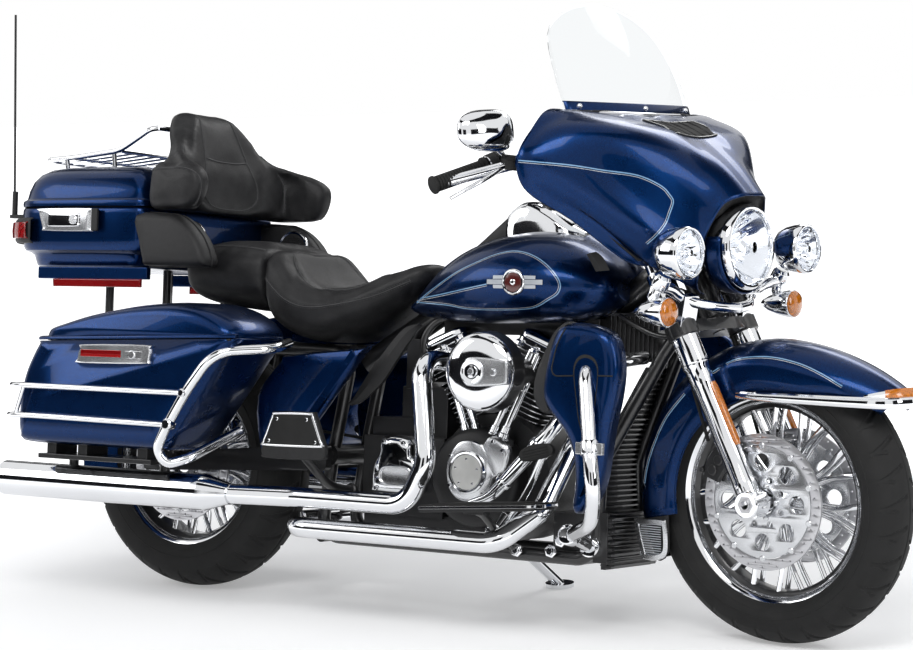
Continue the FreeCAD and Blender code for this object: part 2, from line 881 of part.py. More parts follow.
def bar_points(side):
    """Corners of one half of the handlebar, from the centre out to the grip's end."""
    centre = V(front_axle.x + bar_centre_x, 0, bar_centre_z)
    inner = V(front_axle.x + bar_outer_x, side * bar_outer_y, bar_outer_z)
    end = V(front_axle.x + grip_end_x, side * grip_end_y, grip_end_z)
    return [centre, centre + V(0, side * leg_spacing, 0), inner, end]


def screen_form(inset):
    """Outer or inner form of the sheet, which carries on from the fairing's top edge."""
    top = fairing_level_shares[-1]
    base = fairing_wire(top, inset)
    rows = [base]
    for rise in screen_row_shares:
        narrow = 1 - (1 - screen_narrow_share) * rise
        level = (top[0], top[1], top[2], top[3] * narrow)
        row = fairing_wire(level, inset)
        row.translate(V(-screen_rake * rise, 0, screen_height * rise))
        rows.append(row)
    form = Part.makeLoft(rows, True, False)
    form.translate(V(0, 0, running_gap))
    return form


def windscreen():
    sheet = screen_form(0).cut(screen_form(screen_wall))
    half = fairing_half * fairing_level_shares[-1][3] + cut_over
    low = fairing_base_z + fairing_height
    right = [(-a * half, low + b * (screen_height + cut_over)) for a, b in screen_outline_shares]
    left = [(-y, z) for y, z in reversed(right)]
    x_low = front_axle.x + fairing_rear_x - screen_rake * 2
    x_high = front_axle.x + fairing_rear_x + fairing_depth
    return largest(sheet.common(front_prism(right + left, x_low, x_high, screen_corner)))


def lamp(x, y, z, radius, depth):
    """Bucket open at the front, and the lens that fills it."""
    back = V(front_axle.x + x - depth, y, z)
    ahead = V(1, 0, 0)
    core = Part.makeCylinder(radius, depth * 0.45, back + ahead * (depth * 0.55), ahead)
    bowl = Part.makeCone(radius * 0.45, radius, depth * 0.55, back, ahead)
    seat = Part.makeCylinder(radius - lamp_rim, lens_depth, back + ahead * (depth - lens_depth), ahead)
    lens = Part.makeCylinder(radius - lamp_rim - running_gap, lens_depth,
                             back + ahead * (depth - lens_depth), ahead)
    return joined([core, bowl]).cut(seat), lens


def signal(side):
    centre = V(front_axle.x + signal_x, side * signal_y, signal_z)
    bowl = Part.makeCylinder(signal_radius, signal_depth, centre - V(signal_depth, 0, 0), V(1, 0, 0))
    lens = Part.makeCylinder(signal_radius - running_gap, lens_depth, centre, V(1, 0, 0))
    return bowl, lens


def lamps():
    head, head_lens = lamp(headlamp_x + lens_depth, 0, headlamp_z, headlamp_radius, headlamp_depth)
    housings = [head]
    lenses = [head_lens]
    ambers = []
    for side in (-1, 1):
        bucket, lens = lamp(spot_x + lens_depth, side * spot_y, spot_z, spot_radius, spot_depth)
        bowl, amber = signal(side)
        housings.extend([bucket, bowl])
        lenses.append(lens)
        ambers.append(amber)
        stem_top = V(front_axle.x + signal_x - signal_depth / 2, side * signal_y, spot_z)
        stem_low = V(front_axle.x + signal_x - signal_depth / 2, side * signal_y, signal_z)
        housings.append(rod(stem_low, stem_top, lightbar_radius))
    bar_x = front_axle.x + spot_x - spot_depth * 0.75
    housings.append(rod(V(bar_x, -signal_y, spot_z - spot_radius * 0.2), V(bar_x, signal_y, spot_z - spot_radius * 0.2),
                        lightbar_radius))
    bar_spot = V(bar_x, 0, spot_z - spot_radius * 0.2) - front_axle
    place, fore = bar_spot.dot(fork_up), bar_spot.dot(fork_fore)
    for side in (-1, 1):
        housings.append(rod(on_fork(place, cover_radius + running_gap, side * leg_spacing), on_fork(place, fore, side * leg_spacing),
                            lightbar_radius))
    return joined(housings), Part.makeCompound(lenses), Part.makeCompound(ambers)


# Handlebar and mirrors
def grip_line(side):
    return bar_points(side)[2:]


def handlebar():
    centre = V(front_axle.x + bar_centre_x, 0, bar_centre_z)
    pieces = []
    for side in (-1, 1):
        pieces.append(tube(bar_points(side), bar_bend, bar_radius))
        foot = on_fork(upper_clamp_place + clamp_thick, 0, side * leg_spacing / 2)
        pieces.append(rod(foot, centre + V(0, side * leg_spacing / 2, 0), riser_radius))
    return joined(pieces)


def grips():
    pieces = []
    for side in (-1, 1):
        inner, end = grip_line(side)
        along = (end - inner).normalize()
        start = end - along * grip_length
        sleeve = ring(start, along, grip_radius, bar_radius + running_gap, grip_length)
        cap = Part.makeCylinder(grip_radius, running_gap * 20, end, along)
        pieces.append(joined([sleeve, cap]))
    return Part.makeCompound(pieces)


def hand_controls():
    pieces = []
    for side in (-1, 1):
        inner, end = grip_line(side)
        along = (end - inner).normalize()
        perch_start = end - along * (grip_length + grip_radius * 3)
        perch = ring(perch_start, along, grip_radius * 1.4, bar_radius + running_gap, grip_radius * 2)
        fore = V(lever_drop, 0, -lever_drop * 0.3)
        pivot = perch_start + along * grip_radius + fore
        arm = rod(perch_start + along * grip_radius + fore * 0.45, pivot, lever_radius * 1.5)
        lever = tube([pivot, pivot + along * (lever_length * 0.5) - fore * 0.1, pivot + along * lever_length], 40.0, lever_radius)
        pieces.append(joined([perch, arm, lever]))
    return Part.makeCompound(pieces)


def mirrors():
    pieces = []
    for side in (-1, 1):
        centre = V(front_axle.x + mirror_x, side * mirror_y, mirror_z)
        points = [(side * mirror_y - mirror_half_width, mirror_z - mirror_half_height * 0.4),
                  (side * mirror_y - mirror_half_width * 0.5, mirror_z - mirror_half_height),
                  (side * mirror_y + mirror_half_width * 0.5, mirror_z - mirror_half_height),
                  (side * mirror_y + mirror_half_width, mirror_z),
                  (side * mirror_y + mirror_half_width * 0.6, mirror_z + mirror_half_height),
                  (side * mirror_y - mirror_half_width * 0.8, mirror_z + mirror_half_height)]
        shell = front_prism(points, centre.x, centre.x + mirror_depth, mirror_half_height / 2)
        inner, end = grip_line(side)
        foot = end - (end - inner).normalize() * (grip_length + grip_radius * 2) + V(0, 0, grip_radius * 1.2)
        stem = rod(foot, centre + V(mirror_depth / 2, 0, 0), lever_radius)
        pieces.append(joined([shell, stem]))
    return Part.makeCompound(pieces)


# Frame and swingarm
def on_axis(s):
    return steer_base + fork_up * s


def backbone(radius):
    head_high = on_axis(upper_clamp_place - head_tube_gap - backbone_radius)
    return tube([head_high, V(cradle_front_x, 0, backbone_z), V(backbone_rear_x, 0, backbone_z),
                 V(pivot_x, 0, seat_rail_z - backbone_radius)], frame_bend * 2, radius)


def rail_height(x):
    """Height of the seat rails behind their bend."""
    return seat_rail_z + frame_bend * (x - pivot_x * 1.9) / (seat_rail_rear_x - pivot_x * 1.9)


def frame():
    low = lower_clamp_place + clamp_thick + head_tube_gap
    high = upper_clamp_place - head_tube_gap
    head = Part.makeCylinder(head_tube_radius, high - low, on_axis(low), fork_up)
    pieces = [head, backbone(backbone_radius)]
    for side in (-1, 1):
        y = side * cradle_half
        inner = side * cradle_rear_half
        outer = side * seat_rail_half
        start = on_axis(low + frame_tube_radius * 3.2) + across * (side * frame_tube_radius)
        pieces.append(tube([
            start, V(downtube_elbow_x, y * 0.32, downtube_elbow_z), V(cradle_front_x, y * 0.8, cradle_knee_z),
            V(cradle_front_x, y, cradle_bottom_z), V(cradle_rear_x, inner, cradle_bottom_z),
            V(pivot_x - frame_bend, inner, pivot_z), V(pivot_x, inner, seat_rail_z), V(pivot_x * 1.9, outer, seat_rail_z),
            V(seat_rail_rear_x, outer, seat_rail_z + frame_bend)], frame_bend, frame_tube_radius))
        for x in (carrier_front_x, carrier_rear_x):
            pieces.append(rod(V(x, outer, rail_height(x)), V(x, outer, box_base_z - running_gap), stay_radius))
        for x, post_y, start_y in ((bag_stay_front_x, seat_rail_half - stay_radius / 4, seat_rail_half - stay_radius / 4),
                                   (bag_stay_rear_x, seat_rail_half, rear_fender_half + running_gap)):
            pieces.append(rod(V(x, side * post_y, rail_height(min(x, pivot_x * 1.9))), V(x, side * post_y, bag_stay_z), stay_radius))
            pieces.append(rod(V(x, side * start_y, bag_stay_z), V(x, side * (bag_inner_y - running_gap), bag_stay_z), stay_radius * 1.15))
    for x, z, reach in ((cradle_rear_x, cradle_bottom_z, cradle_rear_half), (cradle_front_x - frame_bend, cradle_bottom_z, cradle_half),
                        (pivot_x, seat_rail_z, cradle_rear_half)):
        pieces.append(rod(V(x, -reach, z), V(x, reach, z), frame_tube_radius))
    boss_half = cradle_rear_half + frame_tube_radius * 1.15
    pieces.append(Part.makeCylinder(pivot_boss_radius, boss_half * 2, V(pivot_x - frame_bend, -boss_half, pivot_z), across))
    body = joined(pieces)
    bore = Part.makeCylinder(stem_radius + running_gap, tube_top, on_axis(lower_clamp_place), fork_up)
    shaft = Part.makeCylinder(pivot_shaft_radius + running_gap, boss_half * 4, V(pivot_x - frame_bend, -boss_half * 2, pivot_z), across)
    return body.cut([bore, shaft])


def swingarm():
    shaft_x = pivot_x - frame_bend
    eye = shaft_x + swingarm_height * 0.75
    out = swingarm_half + swingarm_wall
    pieces = []
    for side in (-1, 1):
        points = [(eye, pivot_z - swingarm_height * 0.75), (eye, pivot_z + swingarm_height * 0.6),
                  (rear_axle.x - swingarm_end, swingarm_height / 2), (rear_axle.x - swingarm_end, -swingarm_height / 2)]
        ends = sorted((side * swingarm_half, side * out))
        pieces.append(side_prism(points, ends[0], ends[1], swingarm_height / 4))
    cross_x = shaft_x - swingarm_height * 1.4
    pieces.append(rod(V(cross_x, -swingarm_half, pivot_z - swingarm_height / 3), V(cross_x, swingarm_half, pivot_z - swingarm_height / 3),
                      swingarm_height / 3))
    pieces.append(rod(V(shaft_x, -out, pivot_z), V(shaft_x, out, pivot_z), pivot_shaft_radius))
    body = joined(pieces)
    return body.cut(Part.makeCylinder(axle_radius, rear_axle_reach * 2, rear_axle - across * rear_axle_reach, across))


def rear_shocks():
    """Damper on each side, from the swingarm to the seat rail."""
    low = V(shock_low_x, shock_y, pivot_z / 2)
    top = V(shock_top_x, shock_y, rail_height(shock_top_x))
    middle = low + (top - low) * 0.45
    pieces = [
        rod(low, middle, shock_rod_radius), rod(middle - (top - low) * 0.05, top, shock_radius),
        rod(V(low.x, swingarm_half + swingarm_wall + running_gap, low.z), low + across * shock_stud_radius, shock_stud_radius),
        rod(V(top.x, seat_rail_half + frame_tube_radius + running_gap, top.z), top, shock_stud_radius)]
    return both_sides(joined(pieces))


def rear_axle_bar():
    return Part.makeCylinder(axle_radius, rear_axle_reach * 2, rear_axle - across * rear_axle_reach, across)


# Engine
def lower_rail_y(x):
    """Half the distance between the cradle's lower rails at x."""
    along = (x - cradle_rear_x) / (cradle_front_x - cradle_rear_x)
    return cradle_rear_half + (cradle_half - cradle_rear_half) * along


def crank_centre():
    return V(crank_x, 0, crank_z)


def engine_case():
    floor = cradle_bottom_z + frame_tube_radius + running_gap
    crank = Part.makeCylinder(case_radius, case_half * 2, crank_centre() - across * case_half, across)
    gearbox = box(gearbox_rear_x, gearbox_rear_x + gearbox_length, -case_half, case_half,
                  gearbox_base_z, gearbox_base_z + gearbox_height)
    sump = box(gearbox_rear_x, crank_x, -case_half * 0.9, case_half * 0.9, floor, gearbox_base_z + cut_over)
    under = box(crank_x - case_radius, crank_x + case_radius, -case_half, case_half, crank_z - case_radius - cut_over, floor)
    body = joined([crank, gearbox, sump]).cut(under)
    front_pulley = Part.makeCylinder(belt_front_radius, belt_y() + belt_width - case_half + cut_over,
                                     V(belt_front_x, case_half - cut_over, 0), across)
    return joined([body, front_pulley])


def cylinder_frame(side):
    a = math.radians(cylinder_deg) * side
    up = V(math.sin(a), 0, math.cos(a))
    fore = V(math.cos(a), 0, -math.sin(a))
    return up, fore


def finned(side, start, count, half_wide, half_deep):
    """Fin plates stacked up one cylinder's axis."""
    up, fore = cylinder_frame(side)
    plates = []
    for i in range(count):
        centre = crank_centre() + up * (start + i * fin_pitch)
        corners = [centre + fore * (a * half_wide) + across * (b * half_deep)
                   for a, b in ((-1, -1), (1, -1), (1, 1), (-1, 1))]
        plates.append(prism(corners, half_wide * 0.4, up * fin_thick))
    return plates


def cylinders():
    pieces = []
    for side in (-1, 1):
        up, fore = cylinder_frame(side)
        foot = crank_centre() + up * cylinder_first
        pieces.append(Part.makeCylinder(cylinder_radius, cylinder_length + head_length, foot, up))
        count = int((cylinder_length + head_length) / fin_pitch)
        pieces.extend(finned(side, cylinder_first + fin_pitch * 2, count - 1, fin_half, fin_half))
    body = joined(pieces)
    return body.cut(Part.makeCylinder(case_radius, case_half * 2, crank_centre() - across * case_half, across))


def rocker_covers():
    pieces = []
    for side in (-1, 1):
        up, fore = cylinder_frame(side)
        foot = crank_centre() + up * (cylinder_first + cylinder_length + head_length)
        corners = [foot + fore * (a * rocker_half_width) + across * (b * rocker_half_depth)
                   for a, b in ((-1, -1), (1, -1), (1, 1), (-1, 1))]
        pieces.append(prism(corners, rocker_half_width * 0.4, up * rocker_length))
    return Part.makeCompound(pieces)


def engine_covers():
    cam = Part.makeCylinder(cam_cover_radius, cam_cover_depth, crank_centre() - across * (case_half + cam_cover_depth), across)
    timer_y = case_half + cam_cover_depth
    timer = Part.makeCylinder(timer_radius, timer_depth, V(timer_x, -timer_y - timer_depth, timer_z), across)
    gear = Part.makeCylinder(gear_cover_radius, gear_cover_depth, V(gear_cover_x, -case_half - gear_cover_depth, gear_cover_z), across)
    return Part.makeCompound([joined([cam, timer]), gear])


def primary_cover():
    start = case_half
    front = Part.makeCylinder(primary_front_radius, primary_depth, V(crank_x, start, crank_z), across)
    rear = Part.makeCylinder(primary_rear_radius, primary_depth, V(primary_rear_x, start, crank_z), across)
    web = side_prism([(primary_rear_x, crank_z - primary_rear_radius), (crank_x, crank_z - primary_front_radius),
                      (crank_x, crank_z + primary_front_radius), (primary_rear_x, crank_z + primary_rear_radius)],
                     start, start + primary_depth, running_gap)
    room = belt_loop(belt_thick + cut_over, case_half - cut_over, belt_y() + belt_width + cut_over)
    return largest(joined([front, rear, web]).cut(room))


def air_cleaner():
    """Round cleaner on a neck, and the manifold between the two heads."""
    can = Part.makeCylinder(air_radius, air_depth, V(air_x, air_face_y, air_z), across)
    throat = V(crank_x, 0, air_z + air_neck_radius)
    neck = rod(V(air_x, air_face_y + air_depth, air_z), throat, air_neck_radius)
    manifold = rod(throat - V(fin_half, 0, 0), throat + V(fin_half, 0, 0), air_neck_radius * 0.7)
    return joined([can, neck, manifold])


# Exhaust
def muffler(side):
    y = side * muffler_y
    body = rod(V(muffler_front_x, y, muffler_z), V(muffler_rear_x, y, muffler_z), muffler_radius)
    neck = Part.makeCone(muffler_radius, header_radius, muffler_neck_x - muffler_front_x + header_radius,
                         V(muffler_front_x, y, muffler_z), V(1, 0, 0))
    mouth = rod(V(muffler_rear_x - cut_over, y, muffler_z), V(muffler_rear_x + muffler_mouth_depth, y, muffler_z),
                muffler_radius - muffler_wall)
    return joined([body, neck]).cut(mouth)


def head_middle(side):
    """Centre of one cylinder head, with the cylinder's up and fore directions."""
    up, fore = cylinder_frame(side)
    return crank_centre() + up * (cylinder_first + cylinder_length + head_length / 2), fore


def exhaust():
    rear_head, _ = head_middle(-1)
    rear_port = rear_head - across * (fin_half + running_gap)
    end = V(muffler_neck_x, -muffler_y, muffler_z)
    elbow_x = crank_x - header_radius * 2.5
    rear_pipe = tube([
        rear_port, V(rear_port.x, -collector_y * 0.85, rear_port.z), V(elbow_x, -collector_y, header_radius * 2),
        V(elbow_x - header_radius * 2, -collector_y, muffler_z), V(pivot_x, -collector_y, muffler_z), end],
        header_bend, header_radius)
    front_head, fore = head_middle(1)
    front_port = front_head + fore * (fin_half + running_gap)
    low = muffler_z - header_radius * 3
    cross_x = pivot_x - header_bend * 1.8
    front_pipe = tube([
        front_port, front_port + fore * header_bend,
        V(front_port.x + header_bend * 0.7, -fin_half * 2, crank_z + header_bend),
        V(front_port.x + header_bend * 0.35, -collector_y * 0.72, -header_bend * 0.7),
        V(crank_x + header_bend * 1.8, -collector_y * 0.96, low), V(pivot_x, -collector_y * 0.96, low),
        V(cross_x, -cradle_half, low), V(cross_x, cradle_half, low), V(muffler_neck_x, muffler_y, muffler_z)],
        header_bend, header_radius)
    return joined([rear_pipe, muffler(-1)]), joined([front_pipe, muffler(1)])


# Tank and console
def oval(x, half, low, high):
    """Closed section across the machine, full at the sides and flatter below."""
    mid = low + (high - low) * 0.42
    points = [V(x, 0, high), V(x, half * 0.62, high - (high - low) * 0.12), V(x, half, mid), V(x, half * 0.82, low + (high - low) * 0.08),
              V(x, 0, low), V(x, -half * 0.82, low + (high - low) * 0.08), V(x, -half, mid), V(x, -half * 0.62, high - (high - low) * 0.12)]
    curve = Part.BSplineCurve()
    curve.interpolate(Points=points, PeriodicFlag=True)
    return Part.Wire(curve.toShape())


def fuel_tank():
    rows = []
    for along, half, low, high in tank_section_shares:
        rows.append(oval(tank_rear_x + along * tank_length, half * tank_half,
                         tank_base_z + low * tank_height, tank_base_z + high * tank_height))
    body = Part.makeLoft(rows, True, False)
    half = backbone_radius + running_gap
    tunnel = box(tank_rear_x - cut_over, tank_rear_x + tank_length + cut_over, -half, half, tank_base_z - cut_over, backbone_z)
    return largest(body.cut([tunnel, backbone(half)])), body


def console(tank_form):
    rise = tank_base_z + tank_height + console_rise
    points = [(console_rear_x, tank_base_z + tank_height * 0.4), (console_rear_x, tank_base_z + tank_height * 0.6),
              (console_rear_x + console_length * 0.55, rise + console_rise * 0.6), (console_rear_x + console_length * 0.8, rise + console_rise * 0.6),
              (console_rear_x + console_length, rise - console_rise), (console_rear_x + console_length, tank_base_z + tank_height * 0.4)]
    return side_prism(points, -console_half, console_half, console_half * 0.5).cut(tank_form)


def largest(shape):
    return sorted(shape.Solids, key=lambda s: s.Volume)[-1]


def seat():
    side = spread(seat_side_shares, seat_rear_x, seat_length, seat_base_z, seat_height)
    right = [(seat_rear_x + a * seat_length, -b * seat_half) for a, b in seat_plan_shares]
    left = [(x, -y) for x, y in reversed(right)]
    body = side_prism(side, -seat_half, seat_half, seat_corner).cut(backbone(backbone_radius + running_gap))
    return body.common(plan_prism(right + left, seat_base_z - cut_over, seat_base_z + seat_height + cut_over, seat_corner))


def side_covers():
    points = spread(side_cover_shares, side_cover_rear_x, side_cover_length, side_cover_base_z, side_cover_height)
    plate = side_prism(points, side_cover_y - side_cover_depth, side_cover_y, side_cover_corner)
    peg_z = side_cover_base_z + side_cover_height * 0.46
    peg_x = pivot_x - frame_bend * (seat_rail_z - peg_z) / (seat_rail_z - pivot_z)
    peg = rod(V(peg_x, cradle_rear_half + frame_tube_radius + running_gap, peg_z), V(peg_x, side_cover_y - side_cover_depth / 2, peg_z), stay_radius)
    return both_sides(joined([plate, peg]))


def fender_form(wall):
    """Outer form of the rear fender, or the form of its inside."""
    half = rear_fender_half - wall
    top = rear_fender_radius - wall
    low = rear_fender_skirt - (wall and cut_over)
    a = math.radians(rear_fender_first_deg)
    out = V(math.cos(a), 0, math.sin(a))

    def at(y, r):
        return rear_axle + out * r + across * y

    edges = [
        Part.LineSegment(at(-half, low), at(-half, top - rear_fender_shoulder)).toShape(),
        Part.Arc(at(-half, top - rear_fender_shoulder), at(0, top), at(half, top - rear_fender_shoulder)).toShape(),
        Part.LineSegment(at(half, top - rear_fender_shoulder), at(half, low)).toShape(),
        Part.LineSegment(at(half, low), at(-half, low)).toShape()]
    sweep = rear_fender_last_deg - rear_fender_first_deg
    return Part.Face(Part.Wire(edges)).revolve(rear_axle, across, -sweep)


def rear_fender():
    return fender_form(0).cut(fender_form(fender_wall))


# Saddlebags
def bag_form(inset):
    side = spread(bag_side_shares, bag_rear_x, bag_length, bag_base_z, bag_height)
    plan = [(bag_rear_x + a * bag_length, bag_inner_y + b * (bag_outer_y - bag_inner_y)) for a, b in bag_plan_shares]
    body = Part.Face(outline([V(x, 0, z) for x, z in side], bag_corner))
    cut = Part.Face(outline([V(x, y, 0) for x, y in plan], bag_corner))
    low = V(0, bag_inner_y + inset, 0)
    if inset:
        body = Part.Face(body.OuterWire.makeOffset2D(-inset))
        cut = Part.Face(cut.OuterWire.makeOffset2D(-inset))
    body.translate(low)
    cut.translate(V(0, 0, bag_base_z - cut_over))
    long = body.extrude(V(0, bag_outer_y - bag_inner_y - inset * 2, 0))
    return long.common(cut.extrude(V(0, 0, bag_height + cut_over * 2)))


def seam_plane(low):
    """Large block above or below the bag's sloping seam."""
    front_x = bag_rear_x + bag_length + cut_over
    rear_x = bag_rear_x - cut_over
    far = bag_height
    shift = 0 if low else bag_seam_gap
    sign = -1 if low else 1
    points = [(rear_x, bag_seam_rear_z + shift), (front_x, bag_seam_front_z + shift),
              (front_x, bag_seam_front_z + sign * far), (rear_x, bag_seam_rear_z + sign * far)]
    return side_prism(points, bag_inner_y - cut_over, bag_outer_y + cut_over, running_gap)


def saddlebag():
    shell = bag_form(0).cut(bag_form(bag_wall))
    return largest(shell.common(seam_plane(True))), largest(shell.common(seam_plane(False)))


def seam_height(x):
    return bag_seam_rear_z + (bag_seam_front_z - bag_seam_rear_z) * (x - bag_rear_x) / bag_length


def bag_hinge():
    """Long hinge cover on the outer face, just under the lid's seam."""
    z = seam_height(bag_hinge_x) - bag_hinge_drop
    points = [(bag_hinge_x - bag_hinge_length / 2, z - bag_hinge_height / 2), (bag_hinge_x + bag_hinge_length / 2, z - bag_hinge_height / 2),
              (bag_hinge_x + bag_hinge_length / 2, z + bag_hinge_height / 2), (bag_hinge_x - bag_hinge_length / 2, z + bag_hinge_height / 2)]
    return side_prism(points, bag_outer_y, bag_outer_y + bag_hinge_depth, bag_hinge_height * 0.4)


def bag_guard():
    """Bright rails round the outside of a saddlebag, hung from the seat rail."""
    high = bag_base_z + bag_height * 0.38
    low = bag_base_z + bag_height * 0.17
    front = bag_rear_x + bag_length * 0.84
    rear = bag_rear_x + bag_length * 0.05
    bend_x = pivot_x * 1.9
    root_y = cradle_rear_half + (seat_rail_half - cradle_rear_half) * (front - pivot_x) / (bend_x - pivot_x)
    root = V(front, root_y, seat_rail_z - frame_tube_radius - running_gap)
    upper = tube([root, V(front, root_y, high), V(front, rail_y, high), V(rear, rail_y, high)], frame_bend, rail_radius)
    lower = tube([V(front, bag_inner_y + rail_radius * 2, high), V(front - rail_radius, bag_inner_y + rail_radius * 4, low),
                  V(front - rail_radius * 4, rail_y, low), V(rear, rail_y, low)], frame_bend, rail_radius * low_rail_share)
    post = rod(V(rear + rail_radius * 3, rail_y, low), V(rear + rail_radius * 3, rail_y, high), rail_radius * post_share)
    return joined([upper, lower, post])


# Top box
def box_plan(inset):
    right = [(box_rear_x + a * box_length, -b * box_half) for a, b in box_plan_shares]
    left = [(x, -y) for x, y in reversed(right)]
    wire = outline([V(x, y, 0) for x, y in right + left], box_corner)
    if inset:
        wire = wire.makeOffset2D(-inset)
    return Part.Face(wire)


def box_block(z_low, z_high, inset):
    face = box_plan(inset)
    face.translate(V(0, 0, z_low))
    return face.extrude(V(0, 0, z_high - z_low))


def top_box_body():
    outer = box_block(box_base_z, box_seam_z, 0)
    return outer.cut(box_block(box_base_z + box_wall, box_seam_z + cut_over, box_wall))


def lid_form():
    low = box_seam_z + box_seam_gap
    points = spread(lid_side_shares, box_rear_x, box_length, low, box_lid_rise)
    return box_block(low, low + box_lid_rise + cut_over, 0).common(
        side_prism(points, -box_half - cut_over, box_half + cut_over, box_wall * 2))


def top_box_lid():
    low = box_seam_z + box_seam_gap
    inner = spread(lid_side_shares, box_rear_x + box_wall, box_length - box_wall * 2, low - box_wall, box_lid_rise)
    hollow = box_block(low - cut_over, low + box_lid_rise, box_wall).common(
        side_prism(inner, -box_half, box_half, box_wall))
    return largest(lid_form().cut(hollow))


def speaker_pods():
    x_front = box_rear_x + box_length + pod_length * 0.88
    z_low = box_base_z + box_wall
    points = [(x_front - pod_length, z_low), (x_front - pod_corner, z_low), (x_front, z_low + pod_height * 0.25),
              (x_front - pod_length * 0.45, z_low + pod_height), (x_front - pod_length, z_low + pod_height)]
    pod = side_prism(points, pod_inner_y, pod_outer_y, pod_corner)
    pod = pod.cut(box_block(box_base_z - cut_over, box_seam_z + cut_over, 0))
    return both_sides(largest(pod))


def backrest():
    """Upright pad with arm wings, fixed to the lid's front."""
    points = [(rest_front_x, rest_base_z + rest_thick), (rest_front_x - rest_lean, rest_top_z), (rest_front_x - rest_lean - rest_thick, rest_top_z - rest_thick / 2),
              (rest_front_x - rest_thick, rest_base_z + rest_thick)]
    pad = side_prism(points, -rest_half, rest_half, rest_thick * 0.4)
    shape = front_prism([(-rest_half, rest_base_z), (rest_half, rest_base_z), (rest_half, rest_top_z - rest_half * 0.7),
                         (rest_half * rest_width_share, rest_top_z), (-rest_half * rest_width_share, rest_top_z),
                         (-rest_half, rest_top_z - rest_half * 0.7)], rest_front_x - rest_lean * 3, rest_front_x + rest_thick, rest_thick)
    clear = box_block(box_base_z, box_seam_z + cut_over * 2, 0)
    clear.translate(V(cut_over, 0, 0))
    return largest(pad.common(shape).cut([lid_form(), clear]))


def armrests():
    """Padded arms that reach forward from the lid's front corners."""
    x_rear = box_rear_x + box_length * 0.96
    wing = box(x_rear, x_rear + rest_wing_length, rest_wing_half - rest_wing_thick, rest_wing_half,
               rest_wing_base_z, rest_wing_base_z + rest_wing_height)
    return both_sides(wing.cut(lid_form()))


def luggage_rack():
    top = box_seam_z + box_lid_rise + rack_rise
    loop = [V(rack_front_x, -rack_half, top), V(rack_front_x, rack_half, top), V(rack_rear_x, rack_half * 0.9, top), V(rack_rear_x, -rack_half * 0.9, top)]
    ring_path = Part.Wire(Part.__sortEdges__(rounded_edges(loop, frame_bend, True)))
    edge = ring_path.Edges[0]
    start = edge.valueAt(edge.FirstParameter)
    course = edge.tangentAt(edge.FirstParameter)
    loop_bar = ring_path.makePipeShell([Part.Wire(Part.makeCircle(rack_radius, start, course))], True, False)
    pieces = [loop_bar]
    for i in range(rack_bars):
        y = rack_half * (i + 1 - (rack_bars + 1) / 2) / rack_bars * 1.3
        pieces.append(rod(V(rack_rear_x, y, top), V(rack_front_x, y, top), rack_radius * 0.8))
    for x in (rack_rear_x + frame_bend * 1.5, rack_front_x - frame_bend * 1.5):
        for side in (-1, 1):
            pieces.append(rod(V(x, side * rack_half * 0.95, top - rack_rise * 2), V(x, side * rack_half * 0.95, top), rack_radius))
    return joined(pieces)


# Guards and boards
def engine_guard():
    loops = []
    for side in (-1, 1):
        points = [
            V(downtube_elbow_x - guard_radius * 3, side * cradle_half * 0.5, downtube_elbow_z - guard_radius * 2.2),
            V(guard_shoulder_x, side * guard_shoulder_half, guard_shoulder_z),
            V(guard_bow_x, side * guard_bow_half, guard_bow_z), V(guard_foot_x, side * guard_foot_half, guard_foot_z),
            V(cradle_front_x - guard_radius * 0.5, side * cradle_half, cradle_bottom_z + guard_radius * 2)]
        loops.append(tube(points, guard_bend, guard_radius))
    return loops


def lower_fairing():
    points = spread(lower_fairing_shares, lower_fairing_rear_x, lower_fairing_length, lower_fairing_low_z, lower_fairing_height)
    return side_prism(points, guard_shoulder_half - lower_fairing_depth, guard_shoulder_half, lower_fairing_corner)


def footboards():
    plate = box(board_rear_x, board_rear_x + board_length, board_inner_y, board_inner_y + board_width, board_z, board_z + board_thick)
    arm_x = board_rear_x + board_length * 0.35
    arm = rod(V(arm_x, cradle_half, cradle_bottom_z), V(arm_x, board_inner_y + board_thick, board_z), board_thick * 0.6)
    return joined([plate, arm])


def passenger_boards():
    points = [(passenger_board_x - passenger_board_length / 2, passenger_board_z), (passenger_board_x + passenger_board_length / 2, passenger_board_z),
              (passenger_board_x + passenger_board_length * 0.42, passenger_board_z + passenger_board_height), (passenger_board_x - passenger_board_length * 0.42, passenger_board_z + passenger_board_height)]
    board = side_prism(points, passenger_board_y, passenger_board_y + passenger_board_thick, passenger_board_height * 0.3)
    root_z = pivot_z - swingarm_height * 1.7
    root_x = pivot_x - frame_bend - (cradle_rear_x - pivot_x + frame_bend) * (root_z - pivot_z) / (cradle_bottom_z - pivot_z) * -1
    arm = tube([V(root_x, cradle_rear_half + frame_tube_radius + running_gap * 5, root_z), V(root_x + frame_bend * 0.6, bag_inner_y + stay_radius * 2, root_z),
                V(passenger_board_x, passenger_board_y + passenger_board_thick / 2, passenger_board_z + stay_radius)], frame_bend * 0.8, stay_radius)
    return joined([board, arm])


def plate_holder():
    """Blank plate with its two holes, on an arm from the rear fender."""
    plate = box(plate_x, plate_x + plate_thick, -plate_width / 2, plate_width / 2,
                plate_z - plate_height / 2, plate_z + plate_height / 2)
    fender_x = rear_axle.x - rear_fender_radius
    arm = box(plate_x + plate_thick / 2, fender_x + rear_fender_shoulder * 2, -plate_arm_half, plate_arm_half,
              plate_z - plate_arm_height / 2, plate_z + plate_arm_height / 2)
    holes = [Part.makeCylinder(plate_hole_radius, plate_thick * 3, V(plate_x - plate_thick, side * plate_hole_circle / 2, plate_z), V(1, 0, 0))
             for side in (-1, 1)]
    return largest(joined([plate, arm]).cut(holes).cut(fender_form(0)))


